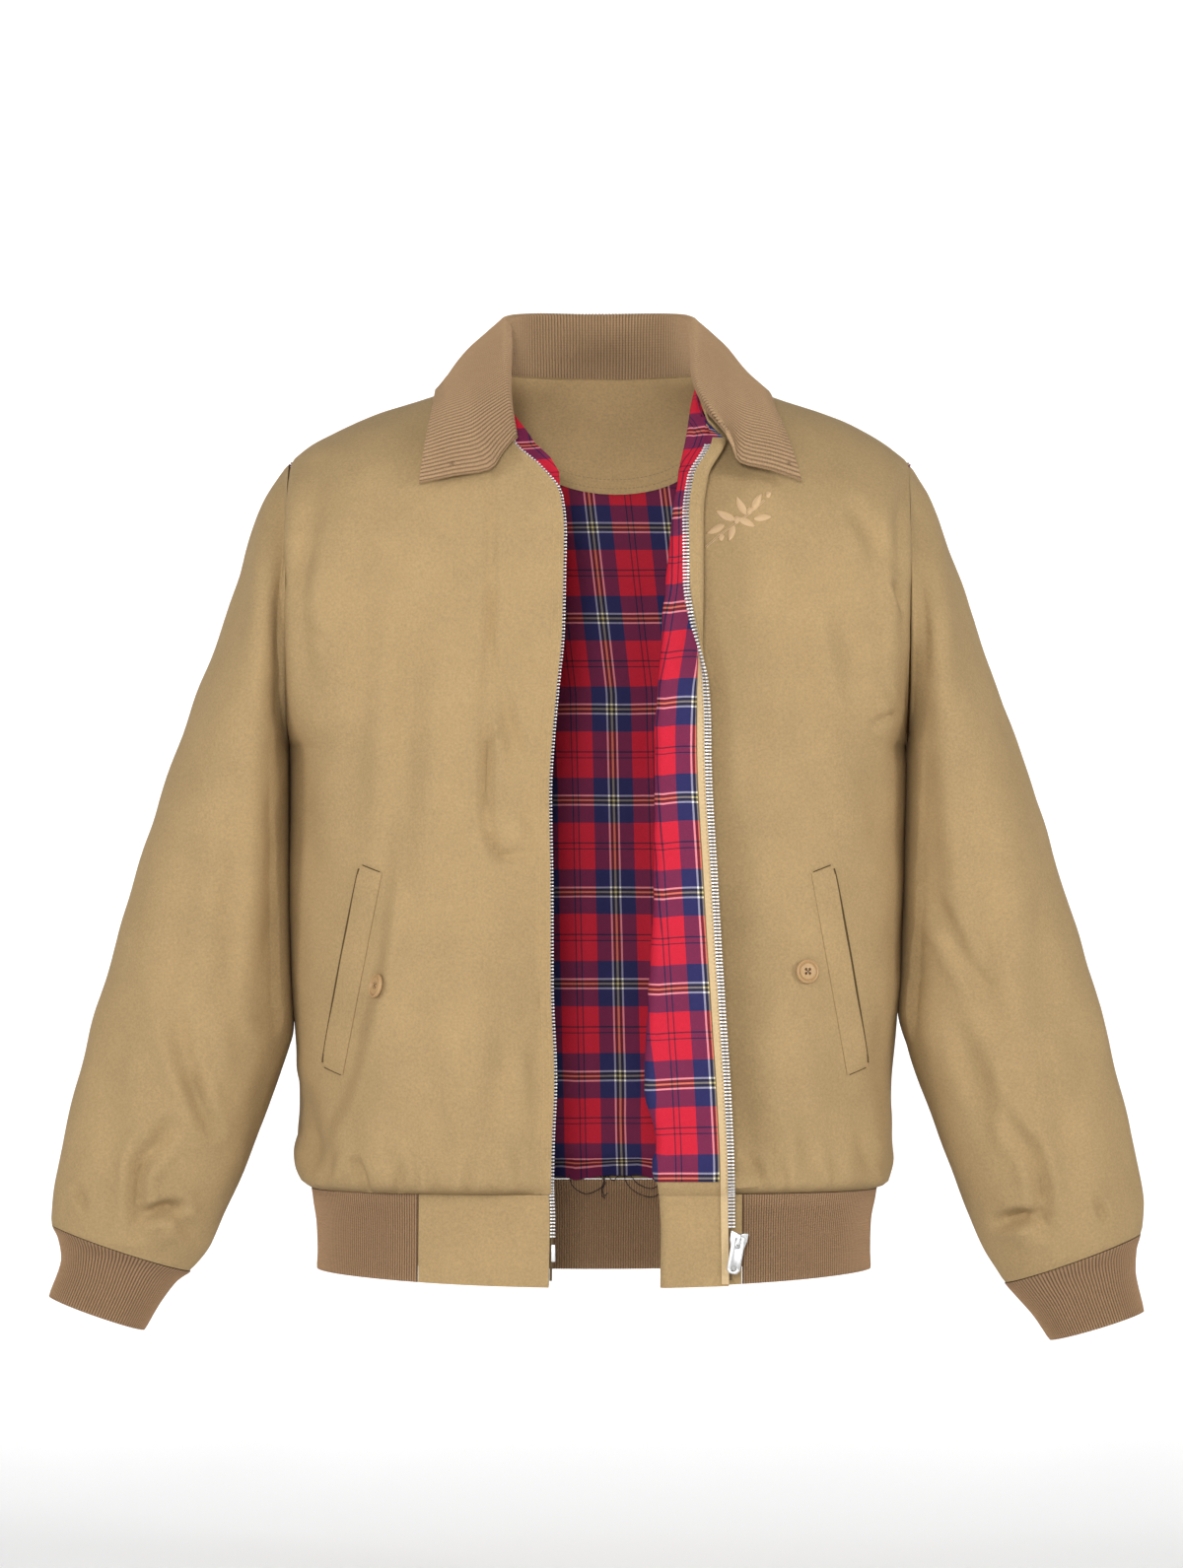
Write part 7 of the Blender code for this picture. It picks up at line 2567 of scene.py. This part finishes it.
@dataclass(frozen=True)
class Studio:
    """Camera, pale backdrop and soft lights."""

    distance: float = 5.5
    lens: float = 171.9
    backdrop: Colour = (0.80, 0.80, 0.80)
    glow: float = 0.12

    def camera(self) -> None:
        """Level camera in front of the jacket."""
        data = bpy.data.cameras.new("camera")
        data.lens, data.sensor_width = self.lens, 36.0
        data.clip_end = 50.0
        piece = linked("camera", data)
        piece.location = (VIEW.middle_x, -self.distance, VIEW.middle_z)
        piece.rotation_euler = (math.pi / 2, 0.0, 0.0)
        bpy.context.scene.camera = piece

    def floor(self) -> None:
        """Pale floor that curves up into a round wall."""
        profile = [(0.0, -0.92), (3.4, -0.92)]
        profile += [(6.6 + 1.2 * math.sin(a), 0.28 - 1.2 * math.cos(a)) for a in np.linspace(0.0, math.pi / 2, 14)]
        profile += [(7.8, 6.0)]
        turns = np.linspace(0, 2 * math.pi, 64, endpoint=False)
        points = [(r * math.sin(t), r * math.cos(t), z) for r, z in profile for t in turns]
        count = len(turns)
        faces = [[row * count + k, row * count + (k + 1) % count, (row + 1) * count + (k + 1) % count,
                  (row + 1) * count + k] for row in range(len(profile) - 1) for k in range(count)]
        mesh = bpy.data.meshes.new("backdrop")
        mesh.from_pydata(points, [], faces)
        mesh.shade_smooth()
        piece = linked("backdrop", mesh)
        graph = Graph("backdrop")
        graph.shader.inputs["Base Color"].default_value = (*self.backdrop, 1.0)
        graph.shader.inputs["Roughness"].default_value = 1.0
        graph.shader.inputs["Emission Color"].default_value = (1.0, 1.0, 1.0, 1.0)
        graph.shader.inputs["Emission Strength"].default_value = self.glow
        mesh.materials.append(graph.material)

    @staticmethod
    def lamp(name: str, data: bpy.types.Light, place: Place, power: float, aim: Place) -> None:
        """Soft lamp aimed at a place."""
        data.energy = power
        piece = linked(name, data)
        piece.location = place
        piece.rotation_euler = (Vector(aim) - Vector(place)).to_track_quat("-Z", "Y").to_euler()

    def light(self, name: str, place: Place, size: float, power: float, aim: Place = (0.0, 0.0, -0.3)) -> None:
        """Large square lamp."""
        data = bpy.data.lights.new(name, "AREA")
        data.shape, data.size = "SQUARE", size
        self.lamp(name, data, place, power, aim)

    def beam(self, name: str, place: Place, spread: float, power: float, aim: Place = (0.0, 0.0, -0.20)) -> None:
        """Round lamp that fades from the middle of its beam outwards."""
        data = bpy.data.lights.new(name, "SPOT")
        data.shadow_soft_size, data.spot_size, data.spot_blend = 0.4, math.radians(spread), 1.0
        self.lamp(name, data, place, power, aim)

    def build(self) -> None:
        """Set the whole stage."""
        self.camera()
        self.floor()
        self.beam("front", (-0.35, -6.2, 0.35), 22.0, 730.0)
        self.light("key", (3.4, -2.7, 0.6), 0.9, 60.0)
        self.light("side", (-3.4, -2.4, 0.4), 0.9, 48.0)
        self.light("wall", (0.0, 2.8, 4.4), 3.0, 370.0, (0.0, 7.8, 0.3))
        self.light("rear_wall", (0.0, -2.8, 4.4), 3.0, 110.0, (0.0, -7.8, 0.3))
        bpy.context.scene.view_settings.view_transform = "Standard"
        world = bpy.data.worlds.new("studio")
        bpy.context.scene.world = world
        world.use_nodes = True
        ground = world.node_tree.nodes["Background"]
        ground.inputs["Color"].default_value = (1.0, 1.0, 1.0, 1.0)
        ground.inputs["Strength"].default_value = 0.06


def main() -> None:
    """Dress the jacket and set the stage."""
    logging.basicConfig(level=logging.INFO, format="%(name)s: %(message)s")
    bpy.ops.object.select_all(action="DESELECT")
    bodice = Bodice()
    bodice.settle()
    band = HemBand()
    band.settle()
    made = bodice.build() + bodice.stitch()
    made += Linings(bodice).build()
    made += band.build()
    made += Sleeves(bodice).build()
    made += Collar().build()
    made += ZipFastening(bodice, band).build()
    made += Pockets(bodice).build()
    made += Motif(bodice).build()
    total = 0
    for piece in made:
        count = sum(len(p.vertices) - 2 for p in piece.data.polygons)
        total += count
        LOG.info("%s: %d triangles", piece.name, count)
    LOG.info("%d pieces, %d triangles", len(made), total)
    Studio().build()


if __name__ == "__main__":
    main()
